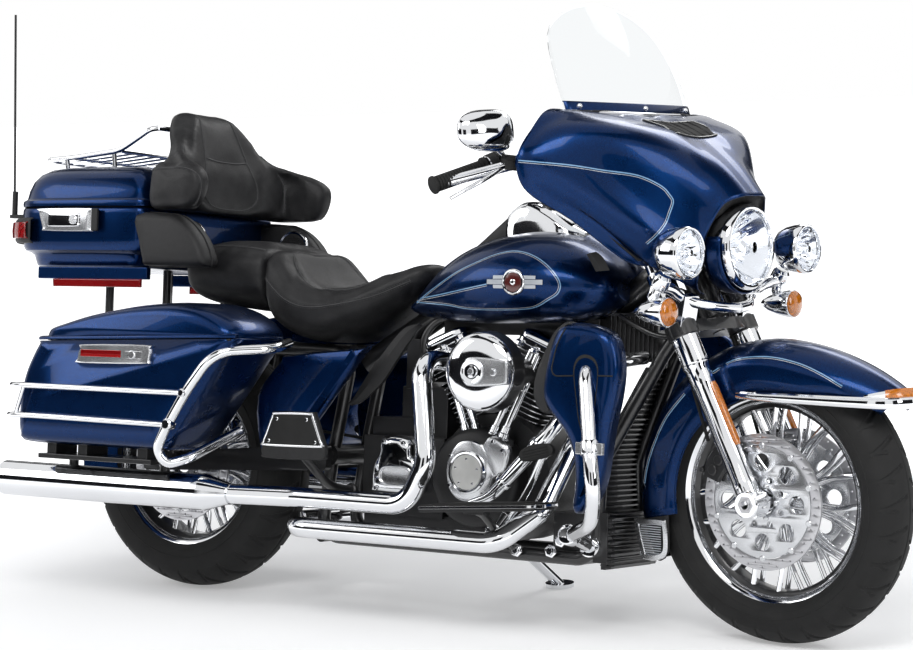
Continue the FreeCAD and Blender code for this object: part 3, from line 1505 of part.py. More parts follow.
def tail_lamps():
    """Wrapped lamps on the top box's rear corners, and the round one on the fender."""
    band = Part.Face(box_plan(0).OuterWire.makeOffset2D(tail_lamp_depth))
    band.translate(V(0, 0, tail_lamp_low_z))
    wrap = band.extrude(V(0, 0, tail_lamp_height)).cut(box_block(tail_lamp_low_z, tail_lamp_low_z + tail_lamp_height, 0))
    rear = box(box_rear_x - tail_lamp_depth * 2, box_rear_x + tail_lamp_wrap, -box_half - tail_lamp_depth * 2, box_half + tail_lamp_depth * 2,
               tail_lamp_low_z, tail_lamp_low_z + tail_lamp_height)
    middle = box(box_rear_x - tail_lamp_depth * 2, box_rear_x + tail_lamp_wrap, -box_half + tail_lamp_width, box_half - tail_lamp_width,
                 tail_lamp_low_z, tail_lamp_low_z + tail_lamp_height)
    centre = V(rear_axle.x - rear_fender_radius, 0, fender_lamp_z)
    lamp_x = rear_axle.x - math.sqrt(rear_fender_radius ** 2 - fender_lamp_z ** 2)
    round_lamp = Part.makeCylinder(fender_lamp_radius, fender_lamp_depth * 2, V(lamp_x - fender_lamp_depth * 1.4, 0, fender_lamp_z), V(1, 0, 0))
    return Part.makeCompound([wrap.common(rear).cut(middle), largest(round_lamp.cut(fender_form(0)))])


def belt_y():
    return swingarm_half - belt_width - running_gap * 20


def belt_loop(grow, y_low, y_high):
    """Filled outline of the belt's run around both pulleys."""
    far = pulley_radius + grow
    near = belt_front_radius + grow
    tilt = math.asin((far - near) / (belt_front_x - rear_axle.x))
    top = math.pi / 2 - tilt

    def rim_spot(centre_x, radius, angle):
        return V(centre_x + radius * math.cos(angle), y_low, radius * math.sin(angle))

    points = [rim_spot(rear_axle.x, far, top), rim_spot(belt_front_x, near, top),
              rim_spot(belt_front_x, near, 0), rim_spot(belt_front_x, near, -top),
              rim_spot(rear_axle.x, far, -top), rim_spot(rear_axle.x, far, math.pi)]
    edges = [Part.LineSegment(points[0], points[1]).toShape(), Part.Arc(points[1], points[2], points[3]).toShape(),
             Part.LineSegment(points[3], points[4]).toShape(), Part.Arc(points[4], points[5], points[0]).toShape()]
    return Part.Face(Part.Wire(edges)).extrude(V(0, y_high - y_low, 0))


def drive_belt():
    """Belt from the gearbox pulley to the rear wheel's pulley."""
    low, high = belt_y(), belt_y() + belt_width
    return belt_loop(running_gap + belt_thick, low, high).cut(belt_loop(running_gap, low, high))


def oil_cooler():
    """Finned cooler across the front of the lower frame tubes."""
    x = cradle_front_x + frame_tube_radius + running_gap
    core = box(x, x + cooler_depth * 0.5, -cooler_width / 2, cooler_width / 2, cooler_z - cooler_height / 2, cooler_z + cooler_height / 2)
    pitch = cooler_height / cooler_fins
    fins = []
    for i in range(cooler_fins):
        z = cooler_z - cooler_height / 2 + pitch * (i + 0.25)
        fins.append(box(x + cooler_depth * 0.3, x + cooler_depth, -cooler_width / 2, cooler_width / 2, z, z + pitch * 0.4))
    return joined([core] + fins)


def antenna():
    """Whip on a bracket behind the top box."""
    block = box(antenna_x - antenna_foot_radius, antenna_x + box_corner * 1.2, antenna_y - antenna_foot_radius, antenna_y + antenna_foot_radius,
                antenna_base_z, antenna_base_z + antenna_foot_radius).cut(box_block(box_base_z, box_seam_z, 0))
    foot = V(antenna_x, antenna_y, antenna_base_z)
    spring = rod(foot, foot + V(0, 0, antenna_foot_height), antenna_foot_radius * 0.8)
    whip = rod(foot, V(antenna_x - antenna_lean, antenna_y - antenna_lean / 2, antenna_top_z), antenna_radius)
    return joined([largest(block), spring, whip])


def foot_controls():
    """Brake pedal on the right and gear lever on the left."""
    root = V(pedal_root_x, -lower_rail_y(pedal_root_x) - frame_tube_radius - running_gap * 2, cradle_bottom_z)
    pad = V(pedal_x, -pedal_y, pedal_z)
    pedal = tube([root, V(pedal_root_x, -pedal_y, root.z), pad], frame_bend, pedal_radius)
    plate = Part.makeCylinder(pedal_pad_radius, pedal_radius * 1.5, pad, V(0.5, 0, 1))
    shaft_y = case_half + primary_depth
    middle = V((shifter_front_x + shifter_rear_x) / 2, shaft_y, shifter_z)
    beam_y = shaft_y + pedal_radius * 3
    shifter = [rod(middle + across * running_gap, V(middle.x, beam_y - pedal_radius / 2, shifter_z), pedal_radius * 0.8),
               rod(V(shifter_rear_x, beam_y, shifter_z), V(shifter_front_x, beam_y, shifter_z), pedal_radius)]
    for x in (shifter_rear_x, shifter_front_x):
        shifter.append(rod(V(x, beam_y, shifter_z), V(x, beam_y + shifter_peg, shifter_z), pedal_radius * 1.4))
    return Part.makeCompound([joined([pedal, plate]), joined(shifter)])


def brake_lines():
    """Hose from each caliper up to the lower clamp."""
    y = leg_spacing - slider_radius + line_radius * 2
    back = slider_radius + line_radius * 3
    low = on_fork(disc_radius + caliper_half, -back * 1.5, y)
    top = on_fork(lower_clamp_place - running_gap, -clamp_back / 2, y - slider_radius / 2)
    return both_sides(tube([low, on_fork(slider_length, -back, y), top - fork_up * back, top], back, line_radius))


# Side stand
def unit(shares):
    return V(*shares).normalize()


def stand_parts():
    """Leg, foot and hinge line of the stand, down on the ground."""
    down = unit(stand_down_share)
    hinge = down.cross(unit(stand_up_share)).normalize()
    pivot = V(stand_pivot_x, stand_pivot_y, stand_pivot_z)
    reach = (pivot - ground_point).dot(sky) / -down.dot(sky)
    foot_centre = pivot + down * reach
    foot = Part.makeCylinder(stand_foot_radius, stand_foot_thick, foot_centre, sky)
    leg = rod(pivot, foot_centre + sky * (stand_foot_thick / 2), stand_radius)
    cutter = Part.makeCylinder(stand_foot_radius * 2, stand_foot_radius, foot_centre, sky * -1)
    eye = Part.makeCylinder(stand_radius * 1.3, stand_radius * 2, pivot - hinge * stand_radius, hinge)
    body = joined([leg, foot, eye]).cut(cutter)
    hole = Part.makeCylinder(stand_pin_radius + running_gap, stand_radius * 4, pivot - hinge * (stand_radius * 2), hinge)
    return body.cut(hole), hinge, pivot, math.degrees(down.getAngle(unit(stand_up_share)))


def stand_bracket(hinge, pivot):
    """Pin through the stand's eye, and the lug that ties it to the lower frame tube."""
    pin = Part.makeCylinder(stand_pin_radius, stand_radius * 3.4, pivot - hinge * (stand_radius * 2), hinge)
    lug_end = pivot - hinge * (stand_radius * 1.6)
    rail_y = lower_rail_y(pivot.x)
    lug = rod(V(pivot.x, rail_y, cradle_bottom_z), lug_end, stand_radius * 0.8)
    face = Part.makeCylinder(stand_radius * 1.3, stand_radius * 0.8, lug_end + hinge * (stand_radius * 0.3) * -1, hinge)
    return joined([pin, lug, face])


# Assembly
nodes = {}
nodes.update(front_wheel())
nodes["fork"] = fork()
nodes["front_axle"] = front_axle_bar()
nodes["front_fender"] = front_fender()
nodes["fender_trim"] = largest(fender_trim().cut(nodes["front_fender"]))
nodes["brake_calipers"] = calipers()
headlamp_hole = Part.makeCylinder(headlamp_radius + running_gap, headlamp_depth * 3,
                                  V(front_axle.x + headlamp_x - headlamp_depth * 0.8, 0, headlamp_z), V(1, 0, 0))
nodes["fairing"] = largest(fairing_form(0).cut([fairing_form(fairing_wall), headlamp_hole]))
nodes["instrument_panel"] = instrument_panel()
nodes["windscreen"] = windscreen()
housing, lens, amber = lamps()
nodes["lamp_housings"] = housing.cut(nodes["fairing"])
nodes["lamp_lenses"] = lens
nodes["signal_lenses"] = amber
nodes["handlebar"] = handlebar().cut(nodes["fork"])
nodes["grips"] = grips()
nodes["hand_controls"] = hand_controls()
nodes["mirrors"] = mirrors().cut(nodes["hand_controls"])
nodes["brake_lines"] = brake_lines().cut(nodes["brake_calipers"])
front_nodes = list(nodes)

stand, stand_hinge, stand_pivot, stand_swing = stand_parts()
nodes.update(rear_wheel())
bare_frame = frame()
nodes["frame"] = joined([bare_frame, stand_bracket(stand_hinge, stand_pivot)])
nodes["swingarm"] = swingarm()
nodes["rear_shocks"] = rear_shocks()
nodes["rear_axle"] = rear_axle_bar()
nodes["engine_case"] = engine_case()
nodes["cylinders"] = cylinders()
nodes["engine_covers"] = Part.makeCompound([rocker_covers(), engine_covers()])
nodes["primary_cover"] = primary_cover()
nodes["air_cleaner"] = largest(air_cleaner().cut(nodes["cylinders"]))
right_pipe, left_pipe = exhaust()
nodes["exhausts"] = Part.makeCompound([right_pipe, left_pipe])
nodes["fuel_tank"], tank_form = fuel_tank()
nodes["console"] = largest(console(tank_form))
nodes["seat"] = seat()
nodes["side_covers"] = side_covers()
nodes["rear_fender"] = rear_fender()
body, lid = saddlebag()
nodes["saddlebags"] = both_sides(body)
nodes["bag_lid_left"] = lid
nodes["bag_lid_right"] = mirrored(lid)
nodes["plate_holder"] = plate_holder()
nodes["tail_lamps"] = tail_lamps()
nodes["drive_belt"] = drive_belt()
nodes["oil_cooler"] = oil_cooler()
nodes["bag_guards"] = Part.makeCompound([both_sides(bag_guard()), both_sides(bag_hinge())])
nodes["top_box_body"] = top_box_body()
nodes["top_box_lid"] = top_box_lid()
nodes["speaker_pods"] = speaker_pods()
nodes["backrest"] = Part.makeCompound([backrest(), armrests()])
nodes["luggage_rack"] = luggage_rack().cut(lid_form())
guards = engine_guard()
nodes["engine_guard"] = Part.makeCompound(guards).cut(bare_frame)
nodes["lower_fairings"] = both_sides(lower_fairing()).cut(guards)
nodes["footboards"] = Part.makeCompound([both_sides(footboards()).cut(bare_frame), both_sides(passenger_boards())])
nodes["foot_controls"] = foot_controls()
nodes["antenna"] = antenna()
nodes["side_stand"] = stand


def set_down(name, shape):
    """The piece where it stands when the machine is parked."""
    placed = parked.multiply(steered) if name in front_nodes else parked
    moved = shape.copy()
    moved.Placement = placed.multiply(moved.Placement)
    return moved


plate_centre = V(plate_x + plate_thick / 2, 0, plate_z)
plate_out = V(-1, 0, 0)
final = {name: set_down(name, shape) for name, shape in nodes.items()}
reach_box = FreeCAD.BoundBox()
for shape in final.values():
    reach_box.add(shape.optimalBoundingBox(False, False))
origin = V(reach_box.Center.x, reach_box.Center.y, reach_box.ZMin)

os.makedirs("parts", exist_ok=True)
for name, shape in final.items():
    shape.translate(-origin)
    shape.exportStep("parts/" + name + ".step")
    print(name, len(shape.Solids), round(shape.Volume), "" if shape.isValid() else "INVALID")
print("origin", origin, "size", reach_box.XLength, reach_box.YLength, reach_box.ZLength)
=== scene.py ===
import bpy, bmesh, json, math
from mathutils import Matrix, Vector
from mathutils.bvhtree import BVHTree
from mathutils.kdtree import KDTree


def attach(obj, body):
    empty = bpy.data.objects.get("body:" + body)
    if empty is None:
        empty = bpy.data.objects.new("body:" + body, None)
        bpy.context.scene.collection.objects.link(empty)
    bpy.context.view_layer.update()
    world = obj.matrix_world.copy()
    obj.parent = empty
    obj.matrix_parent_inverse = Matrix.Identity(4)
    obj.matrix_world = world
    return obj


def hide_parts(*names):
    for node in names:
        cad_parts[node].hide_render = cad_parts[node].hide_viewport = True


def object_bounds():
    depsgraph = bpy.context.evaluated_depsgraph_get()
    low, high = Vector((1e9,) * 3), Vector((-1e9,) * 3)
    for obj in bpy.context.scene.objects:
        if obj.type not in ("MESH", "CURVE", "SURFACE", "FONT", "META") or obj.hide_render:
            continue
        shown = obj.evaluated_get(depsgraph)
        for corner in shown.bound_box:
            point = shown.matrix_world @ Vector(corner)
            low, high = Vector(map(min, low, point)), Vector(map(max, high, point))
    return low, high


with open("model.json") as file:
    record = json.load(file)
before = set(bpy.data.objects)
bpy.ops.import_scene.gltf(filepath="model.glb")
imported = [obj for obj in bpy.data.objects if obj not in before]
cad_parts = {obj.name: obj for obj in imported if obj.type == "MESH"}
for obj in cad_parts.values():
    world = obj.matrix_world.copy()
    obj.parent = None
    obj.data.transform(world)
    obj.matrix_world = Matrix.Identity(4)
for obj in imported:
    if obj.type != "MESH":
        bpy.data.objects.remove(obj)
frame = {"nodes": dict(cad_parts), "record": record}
cad_box = [list(c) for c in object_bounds()]
scene = bpy.context.scene

# Stance, in millimetres and degrees
wheelbase = 1625.0
tyre_radius = 320.0
lean_deg = 8.0
rake_deg = 26.0
steer_rest_deg = -9.5
fork_lag = 12.5
front_crown = 75.0
rear_crown = 110.0
leg_y = 118.0
front_x = wheelbase / 2
rake = math.radians(rake_deg)
fork_up = Vector((-math.sin(rake), 0, math.cos(rake)))
fork_fore = Vector((math.cos(rake), 0, math.sin(rake)))
front_axle = Vector((front_x, 0, 0))
rear_axle = Vector((-front_x, 0, 0))
steer_base = front_axle + fork_fore * fork_lag
across = Vector((0, 1, 0))


def turn(axis, degrees, about):
    """Rotation about a line through a point."""
    spin = Matrix.Rotation(math.radians(degrees), 4, axis)
    return Matrix.Translation(about) @ spin @ Matrix.Translation(-about)


def tyre_low(m, centre, crown):
    spin = (m.to_3x3() @ across).normalized()
    return (m @ centre).z - (tyre_radius - crown) * math.sqrt(1 - spin.z ** 2) - crown


steered = turn(fork_up, steer_rest_deg, steer_base)
parked = turn(Vector((1, 0, 0)), -lean_deg, Vector((0, 0, -tyre_radius)))
for _ in range(4):
    front_low = tyre_low(parked @ steered, front_axle, front_crown)
    rear_low = tyre_low(parked, rear_axle, rear_crown)
    nose = math.degrees(math.atan((front_low - rear_low) / wheelbase))
    parked = turn(across, nose, rear_axle) @ Matrix.Translation((0, 0, -rear_low)) @ parked

joints = {j["name"]: j for j in frame["record"]["behaviour"]["joints"]}
metres = Matrix.Scale(0.001, 4)
shift = Vector(joints["rear_wheel_spin"]["pos_m"]) - metres @ (parked @ rear_axle)
BIKE = Matrix.Translation(shift) @ metres @ parked
FORK = BIKE @ steered
MIRROR = Matrix.Scale(-1, 4, across)
# Place and body of each moving group
chassis = (BIKE, "chassis")
fork = (FORK, "fork")
front_wheel = (FORK, "front_wheel")
rear_wheel = (BIKE, "rear_wheel")
box_lid = (BIKE, "top_box_lid")


# Camera at the photograph's place
cam_at = Vector((2958.5, -4804.0, 300.7))
yaw, pitch, roll = math.radians(33.078), math.radians(-0.873), math.radians(1.780)
focal_px, frame_px, centre_px = 2347.3, (913.0, 650.0), (414.6, 315.4)
ahead = Vector((-math.sin(yaw) * math.cos(pitch), math.cos(yaw) * math.cos(pitch), -math.sin(pitch)))
right = Vector((math.cos(yaw), math.sin(yaw), 0))
up = right.cross(ahead)
cam_right = right * math.cos(roll) + up * math.sin(roll)
cam_up = -right * math.sin(roll) + up * math.cos(roll)
turned = parked.to_3x3() @ Matrix((cam_right, cam_up, -ahead)).transposed()
camera = bpy.data.cameras.new("photo_view")
camera.sensor_width = 36.0
camera.lens = focal_px / frame_px[0] * camera.sensor_width
camera.shift_x = (frame_px[0] / 2 - centre_px[0]) / frame_px[0]
camera.shift_y = (centre_px[1] - frame_px[1] / 2) / frame_px[0]
camera.clip_end = 200.0
camera_object = bpy.data.objects.new("photo_view", camera)
camera_object.matrix_world = Matrix.Translation(BIKE @ cam_at) @ turned.to_4x4()
scene.collection.objects.link(camera_object)
scene.camera = camera_object
scene.view_settings.view_transform = "Standard"


# Materials
class Shade:
    """One material with its principled shader and short calls to add nodes."""
    def __init__(self, name, **values):
        self.material = bpy.data.materials.new(name)
        self.material.use_nodes = True
        self.tree = self.material.node_tree
        self.shader = self.tree.nodes["Principled BSDF"]
        for key, value in values.items():
            self.shader.inputs[key.replace("_", " ").title().replace("Ior", "IOR")].default_value = value

    def add(self, kind, inputs=(), **settings):
        node = self.tree.nodes.new("ShaderNode" + kind)
        for key, value in settings.items():
            setattr(node, key, value)
        for key, value in dict(inputs).items():
            if isinstance(value, bpy.types.NodeSocket):
                self.tree.links.new(value, node.inputs[key])
            else:
                node.inputs[key].default_value = value
        return node

    def link(self, socket, name):
        self.tree.links.new(socket, self.shader.inputs[name])

    def place(self):
        return self.add("TexCoord").outputs["Object"]

    def noise(self, scale, detail=3.0, where=None):
        node = self.add("TexNoise", {"Scale": scale, "Detail": detail, "Vector": where or self.place()})
        return node.outputs["Fac"]

    def cells(self, scale, feature="F1", where=None):
        return self.add(
            "TexVoronoi", {"Scale": scale, "Vector": where or self.place()}, feature=feature
        ).outputs["Distance"]

    def ramp(self, fac, stops):
        node = self.add("ValToRGB", {"Fac": fac})
        while len(node.color_ramp.elements) < len(stops):
            node.color_ramp.elements.new(0.5)
        for element, (place, colour) in zip(node.color_ramp.elements, stops):
            element.position = place
            element.color = (*colour, 1) if len(colour) == 3 else colour
        return node.outputs["Color"]

    def span(self, fac, low, high):
        return self.add("MapRange", {"Value": fac, "To Min": low, "To Max": high}).outputs["Result"]

    def bump(self, height, strength, distance):
        node = self.add("Bump", {"Height": height, "Strength": strength, "Distance": distance})
        self.link(node.outputs["Normal"], "Normal")


def chrome(name, tint=(0.82, 0.83, 0.85), low=0.03, high=0.09):
    s = Shade(name, metallic=1.0, base_color=(*tint, 1))
    s.link(s.span(s.noise(14.0), low, high), "Roughness")
    s.link(s.ramp(s.noise(5.0), [(0.3, tuple(c * 0.94 for c in tint)), (0.7, tint)]), "Base Color")
    return s.material


def flaked(name, deep, bright):
    """Metallic paint: fine flakes under a clear coat."""
    s = Shade(
        name, metallic=0.86, coat_weight=0.4, coat_roughness=0.02, coat_ior=1.33, roughness=0.3,
        specular_ior_level=0.1
    )
    flakes = s.cells(1500.0)
    s.link(s.ramp(flakes, [(0.1, bright), (0.55, deep)]), "Base Color")
    s.link(s.span(s.noise(30.0), 0.24, 0.33), "Roughness")
    s.bump(s.noise(1200.0), 0.05, 0.0002)
    return s.material


def plain(name, colour, rough=(0.4, 0.55), scale=60.0, grain=0.15, depth=0.0004, **values):
    s = Shade(name, **values)
    dim = tuple(c * 0.8 for c in colour)
    s.link(s.ramp(s.noise(scale / 4), [(0.35, dim), (0.65, colour)]), "Base Color")
    s.link(s.span(s.noise(scale), *rough), "Roughness")
    s.bump(s.noise(scale * 8), grain, depth)
    return s.material


def leather(name):
    """Fine pebbled grain, a little shine on the high spots."""
    s = Shade(name, specular_ior_level=0.25)
    grain = s.cells(420.0)
    folds = s.noise(22.0, 5.0)
    s.link(s.ramp(folds, [(0.35, (0.008, 0.008, 0.009)), (0.7, (0.022, 0.022, 0.023))]), "Base Color")
    s.link(s.span(grain, 0.34, 0.56), "Roughness")
    mixed = s.add("Math", {0: grain, 1: s.span(folds, 0.0, 0.8)}, operation="ADD").outputs["Value"]
    s.bump(mixed, 0.28, 0.0012)
    return s.material


def glass(name, colour, rough=0.0, ior=1.2):
    s = Shade(name, transmission_weight=1.0, roughness=rough, ior=ior, base_color=(*colour, 1))
    s.bump(s.noise(3.0), 0.02, 0.001)
    return s.material


def lens(name, colour):
    """Coloured plastic with a prism pattern behind its face."""
    s = Shade(
        name, transmission_weight=0.35, ior=1.45, coat_weight=1.0, coat_roughness=0.03, roughness=0.12
    )
    prisms = s.add("TexBrick", {"Scale": 90.0, "Vector": s.place(), "Mortar Size": 0.06}).outputs["Fac"]
    s.link(s.ramp(prisms, [(0.2, colour), (0.8, tuple(c * 0.55 for c in colour))]), "Base Color")
    s.bump(prisms, 0.4, 0.001)
    return s.material


def sided(name):
    """Engine metal: black cast faces with bright machined outer edges."""
    s = Shade(name, metallic=0.8)
    edge = s.add("NewGeometry").outputs["Pointiness"]
    bright = s.add("MapRange", {"Value": edge, "From Min": 0.53, "From Max": 0.58}).outputs["Result"]
    mix = s.add(
        "MixRGB", {"Fac": bright, "Color1": (0.02, 0.02, 0.022, 1), "Color2": (0.75, 0.76, 0.78, 1)}
    )
    s.link(mix.outputs["Color"], "Base Color")
    s.link(s.span(s.noise(80.0), 0.3, 0.5), "Roughness")
    s.bump(s.noise(500.0), 0.2, 0.0005)
    return s.material


MAT = {
    "chrome": chrome("polished_chrome", (0.78, 0.79, 0.81)),
    "alloy": chrome("cast_alloy", (0.62, 0.63, 0.65), 0.18, 0.32),
    "disc": chrome("ground_steel", (0.55, 0.55, 0.57), 0.22, 0.38),
    "blue": flaked("deep_blue_paint", (0.001, 0.010, 0.050), (0.004, 0.055, 0.21)),
    "black": plain("satin_black_paint", (0.012, 0.012, 0.013), (0.25, 0.4), coat_weight=0.4),
    "plastic": plain(
        "grained_black_plastic", (0.016, 0.016, 0.017), (0.45, 0.6), 300.0, 0.3, 0.0006,
        specular_ior_level=0.3
    ),
    "tyre": plain(
        "tyre_rubber", (0.018, 0.018, 0.018), (0.55, 0.75), 90.0, 0.2, 0.0008, specular_ior_level=0.22
    ),
    "rubber": plain(
        "ribbed_rubber", (0.012, 0.012, 0.012), (0.5, 0.7), 200.0, 0.2, 0.0005, specular_ior_level=0.25
    ),
    "leather": leather("black_leather"), "screen": glass("clear_screen", (0.93, 0.95, 0.96), 0.0, 1.06),
    "lamp": glass("lamp_glass", (0.97, 0.98, 1.0), 0.02, 1.15),
    "mirror": chrome("mirror_glass", (0.9, 0.92, 0.95), 0.01, 0.02),
    "amber": lens("amber_lens", (0.95, 0.28, 0.01)), "red": lens("red_lens", (0.5, 0.008, 0.01)),
    "dark": plain("engine_black", (0.010, 0.010, 0.011), (0.35, 0.5), 160.0, 0.35, 0.0007, metallic=0.3),
    "fins": sided("engine_fins"),
    "stripe": plain("pale_blue_stripe", (0.22, 0.42, 0.66), (0.2, 0.3), coat_weight=1.0),
    "silver": plain("silver_stripe", (0.55, 0.58, 0.62), (0.2, 0.3), coat_weight=1.0),
    "thread": plain("seam_thread", (0.05, 0.05, 0.052), (0.6, 0.8), 600.0, 0.4, 0.0004),
    # near-black: the own colour of dial marks, the radio screen and seam gaps, and painted shade where it
    # fills the air slot's opening and the patch round the engine guard
    "black_and_shade": plain("black_marks_and_painted_shade", (0.002, 0.002, 0.002), (0.7, 0.9)),
    "dial": plain("dial_face", (0.6, 0.6, 0.58), (0.4, 0.5)),
    "enamel": plain("badge_enamel", (0.09, 0.010, 0.008), (0.15, 0.25), coat_weight=0.6),
}


# Mesh helpers, all in the machine's own millimetres
def shape_mesh(name, verts, faces, uvs=None):
    mesh = bpy.data.meshes.new(name)
    mesh.from_pydata([tuple(v) for v in verts], [], [tuple(f) for f in faces])
    if uvs:
        layer = mesh.uv_layers.new(name="UVMap")
        for loop in mesh.loops:
            layer.data[loop.index].uv = uvs[loop.vertex_index]
    return mesh


def joined(*parts):
    """One (verts, faces) from several."""
    verts, faces = [], []
    for more_verts, more_faces in parts:
        base = len(verts)
        verts += [Vector(v) for v in more_verts]
        faces += [[i + base for i in f] for f in more_faces]
    return verts, faces


def moved(part, matrix):
    verts, faces = part
    return [matrix @ Vector(v) for v in verts], faces


def at(x, y, z, **turns):
    """Placement in millimetres with turns in degrees about x, y or z."""
    m = Matrix.Translation((x, y, z))
    for axis, degrees in turns.items():
        m = m @ Matrix.Rotation(math.radians(degrees), 4, axis.upper())
    return m


def add(
    name, part, where, material, node=None, bevel=0, steps=2, subdivide=0, thick=0, flat=False, limit=30,
    offset=-1
):
    """Makes a piece, puts it in the row frame, gives it its material, body and slot."""
    place, body = where
    mesh = shape_mesh(name, *part)
    mesh.transform(place)
    bm = bmesh.new()
    bm.from_mesh(mesh)
    bmesh.ops.remove_doubles(bm, verts=bm.verts, dist=0.00001)
    bmesh.ops.recalc_face_normals(bm, faces=bm.faces)
    bm.to_mesh(mesh)
    bm.free()
    obj = bpy.data.objects.new(name, mesh)
    scene.collection.objects.link(obj)
    mesh.materials.append(MAT[material])
    for face in mesh.polygons:
        face.use_smooth = not flat
    if thick:
        solid = obj.modifiers.new("thick", "SOLIDIFY")
        solid.thickness, solid.offset = thick * 0.001, offset
    if subdivide:
        obj.modifiers.new("smooth", "SUBSURF").levels = subdivide
        obj.modifiers["smooth"].render_levels = subdivide
    if bevel:
        edge = obj.modifiers.new("edges", "BEVEL")
        edge.width, edge.segments, edge.angle_limit = bevel * 0.001, steps, math.radians(limit)
        edge.harden_normals = not flat
    if not flat and not subdivide:
        mesh.set_sharp_from_angle(angle=math.radians(38))
    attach(obj, body)
    if node:
        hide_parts(*([node] if isinstance(node, str) else node))
    return obj


def pair(name, part, where, material, **more):
    """The part on the left side, and its mirror image on the right."""
    place, body = where
    left = add(name + "_left", part, where, material, **more)
    right_one = add(name + "_right", part, (place @ MIRROR, body), material, **more)
    return left, right_one


def loft(rings, closed=True, caps=True):
    """Skin over rings with the same number of points."""
    count = len(rings[0])
    verts = [v for ring in rings for v in ring]
    faces = []
    for i in range(len(rings) - 1):
        for j in range(count if closed else count - 1):
            k = (j + 1) % count
            faces.append([i * count + j, i * count + k, (i + 1) * count + k, (i + 1) * count + j])
    if caps and closed:
        faces.append(list(range(count))[::-1])
        faces.append([(len(rings) - 1) * count + j for j in range(count)])
    return verts, faces


def lathe(profile, steps=64, closed=False, centre=(0, 0, 0), caps=False):
    """Profile of (radius, along y) turned about the y axis through centre."""
    rings = []
    for radius, along in profile:
        turn_step = [2 * math.pi * k / steps for k in range(steps)]
        rings.append(
            [
                (centre[0] + radius * math.cos(a), centre[1] + along, centre[2] + radius * math.sin(a))
                for a in turn_step
            ]
        )
    if closed:
        rings.append(rings[0])
    return loft(rings, caps=caps and not closed)


def rounded_path(points, bend, steps=8):
    """The points with each corner replaced by a smooth turn."""
    points = [Vector(p) for p in points]
    path = [points[0]]
    for before, corner, after in zip(points, points[1:], points[2:]):
        into, out = (before - corner), (after - corner)
        reach = min(bend, into.length * 0.48, out.length * 0.48)
        start, end = corner + into.normalized() * reach, corner + out.normalized() * reach
        for k in range(steps + 1):
            t = k / steps
            path.append(start.lerp(corner, t).lerp(corner.lerp(end, t), t))
    path.append(points[-1])
    return path


def tube(points, radius, bend=40.0, sides=16, squash=1.0, caps=True, widths=None):
    """A round bar along a path with turned corners."""
    path = rounded_path(points, bend) if len(points) > 2 and bend else [Vector(p) for p in points]
    along = (path[1] - path[0]).normalized()
    side = along.orthogonal().normalized()
    if abs(along.z) < 0.9:
        side = along.cross(Vector((0, 0, 1))).normalized()
    rings = []
    total = sum((b - a).length for a, b in zip(path, path[1:]))
    gone = 0.0
    for i, point in enumerate(path):
        ahead_dir = path[min(i + 1, len(path) - 1)] - path[max(i - 1, 0)]
        new_along = ahead_dir.normalized()
        side = (side - new_along * side.dot(new_along)).normalized()
        other = new_along.cross(side)
        if i:
            gone += (path[i] - path[i - 1]).length
        r = radius
        if widths:
            share = gone / total * (len(widths) - 1)
            low = min(int(share), len(widths) - 2)
            r = widths[low] + (widths[low + 1] - widths[low]) * (share - low)
        angles = [2 * math.pi * k / sides for k in range(sides)]
        rings.append(
            [point + side * (r * math.cos(a)) + other * (r * squash * math.sin(a)) for a in angles]
        )
    return loft(rings, caps=caps)


def rod(start, end, radius, sides=20, caps=True):
    return tube([start, end], radius, bend=0, sides=sides, caps=caps)


def turned_on(start, end, profile, sides=32):
    """Profile of (share along, radius) about the line from start to end."""
    start, end = Vector(start), Vector(end)
    along = (end - start).normalized()
    side = along.orthogonal().normalized()
    other = along.cross(side)
    rings = []
    for share, radius in profile:
        point = start.lerp(end, share)
        angles = [2 * math.pi * k / sides for k in range(sides)]
        rings.append(
            [point + side * (radius * math.cos(a)) + other * (radius * math.sin(a)) for a in angles]
        )
    return loft(rings)


def prism(outline, low, high, axis="y"):
    """Outline in the other two axes, drawn out along one."""
    def spot(a, b, c):
        return {"y": (a, c, b), "x": (c, a, b), "z": (a, b, c)}[axis]
    rings = [[spot(a, b, c) for a, b in outline] for c in (low, high)]
    return loft(rings)


def block(x0, x1, y0, y1, z0, z1):
    return prism([(x0, z0), (x1, z0), (x1, z1), (x0, z1)], y0, y1)


def smooth_line(points, steps=6, closed=False):
    """Points on a smooth curve through the given ones."""
    pts = [Vector(p) for p in points]
    count = len(pts)
    out = []
    spans = count if closed else count - 1
    for i in range(spans):
        if closed:
            a, b, c, d = (pts[(i + k) % count] for k in (-1, 0, 1, 2))
        else:
            a, b, c, d = (pts[min(max(i + k, 0), count - 1)] for k in (-1, 0, 1, 2))
        for s in range(steps):
            t = s / steps
            out.append(
                0.5 * (
                    (2 * b) + (c - a) * t + (
                        2 * a - 5 * b + 4 * c - d
                    ) * t * t + (3 * b - a - 3 * c + d) * t ** 3
                )
            )
    if not closed:
        out.append(pts[-1])
    return out


def surface(rows, steps_along=4, steps_across=4):
    """A smooth open sheet through a grid of points."""
    fine = [smooth_line(row, steps_across) for row in rows]
    columns = [smooth_line([row[j] for row in fine], steps_along) for j in range(len(fine[0]))]
    rings = [[column[i] for column in columns] for i in range(len(columns[0]))]
    return loft(rings, closed=False, caps=False)


def dress(node, material):
    """The CAD node keeps its shape and gets a finish."""
    obj = frame["nodes"][node]
    while len(obj.material_slots) < 1:
        obj.data.materials.append(None)
    for slot_item in obj.material_slots:
        slot_item.link = "OBJECT"
        slot_item.material = MAT[material]


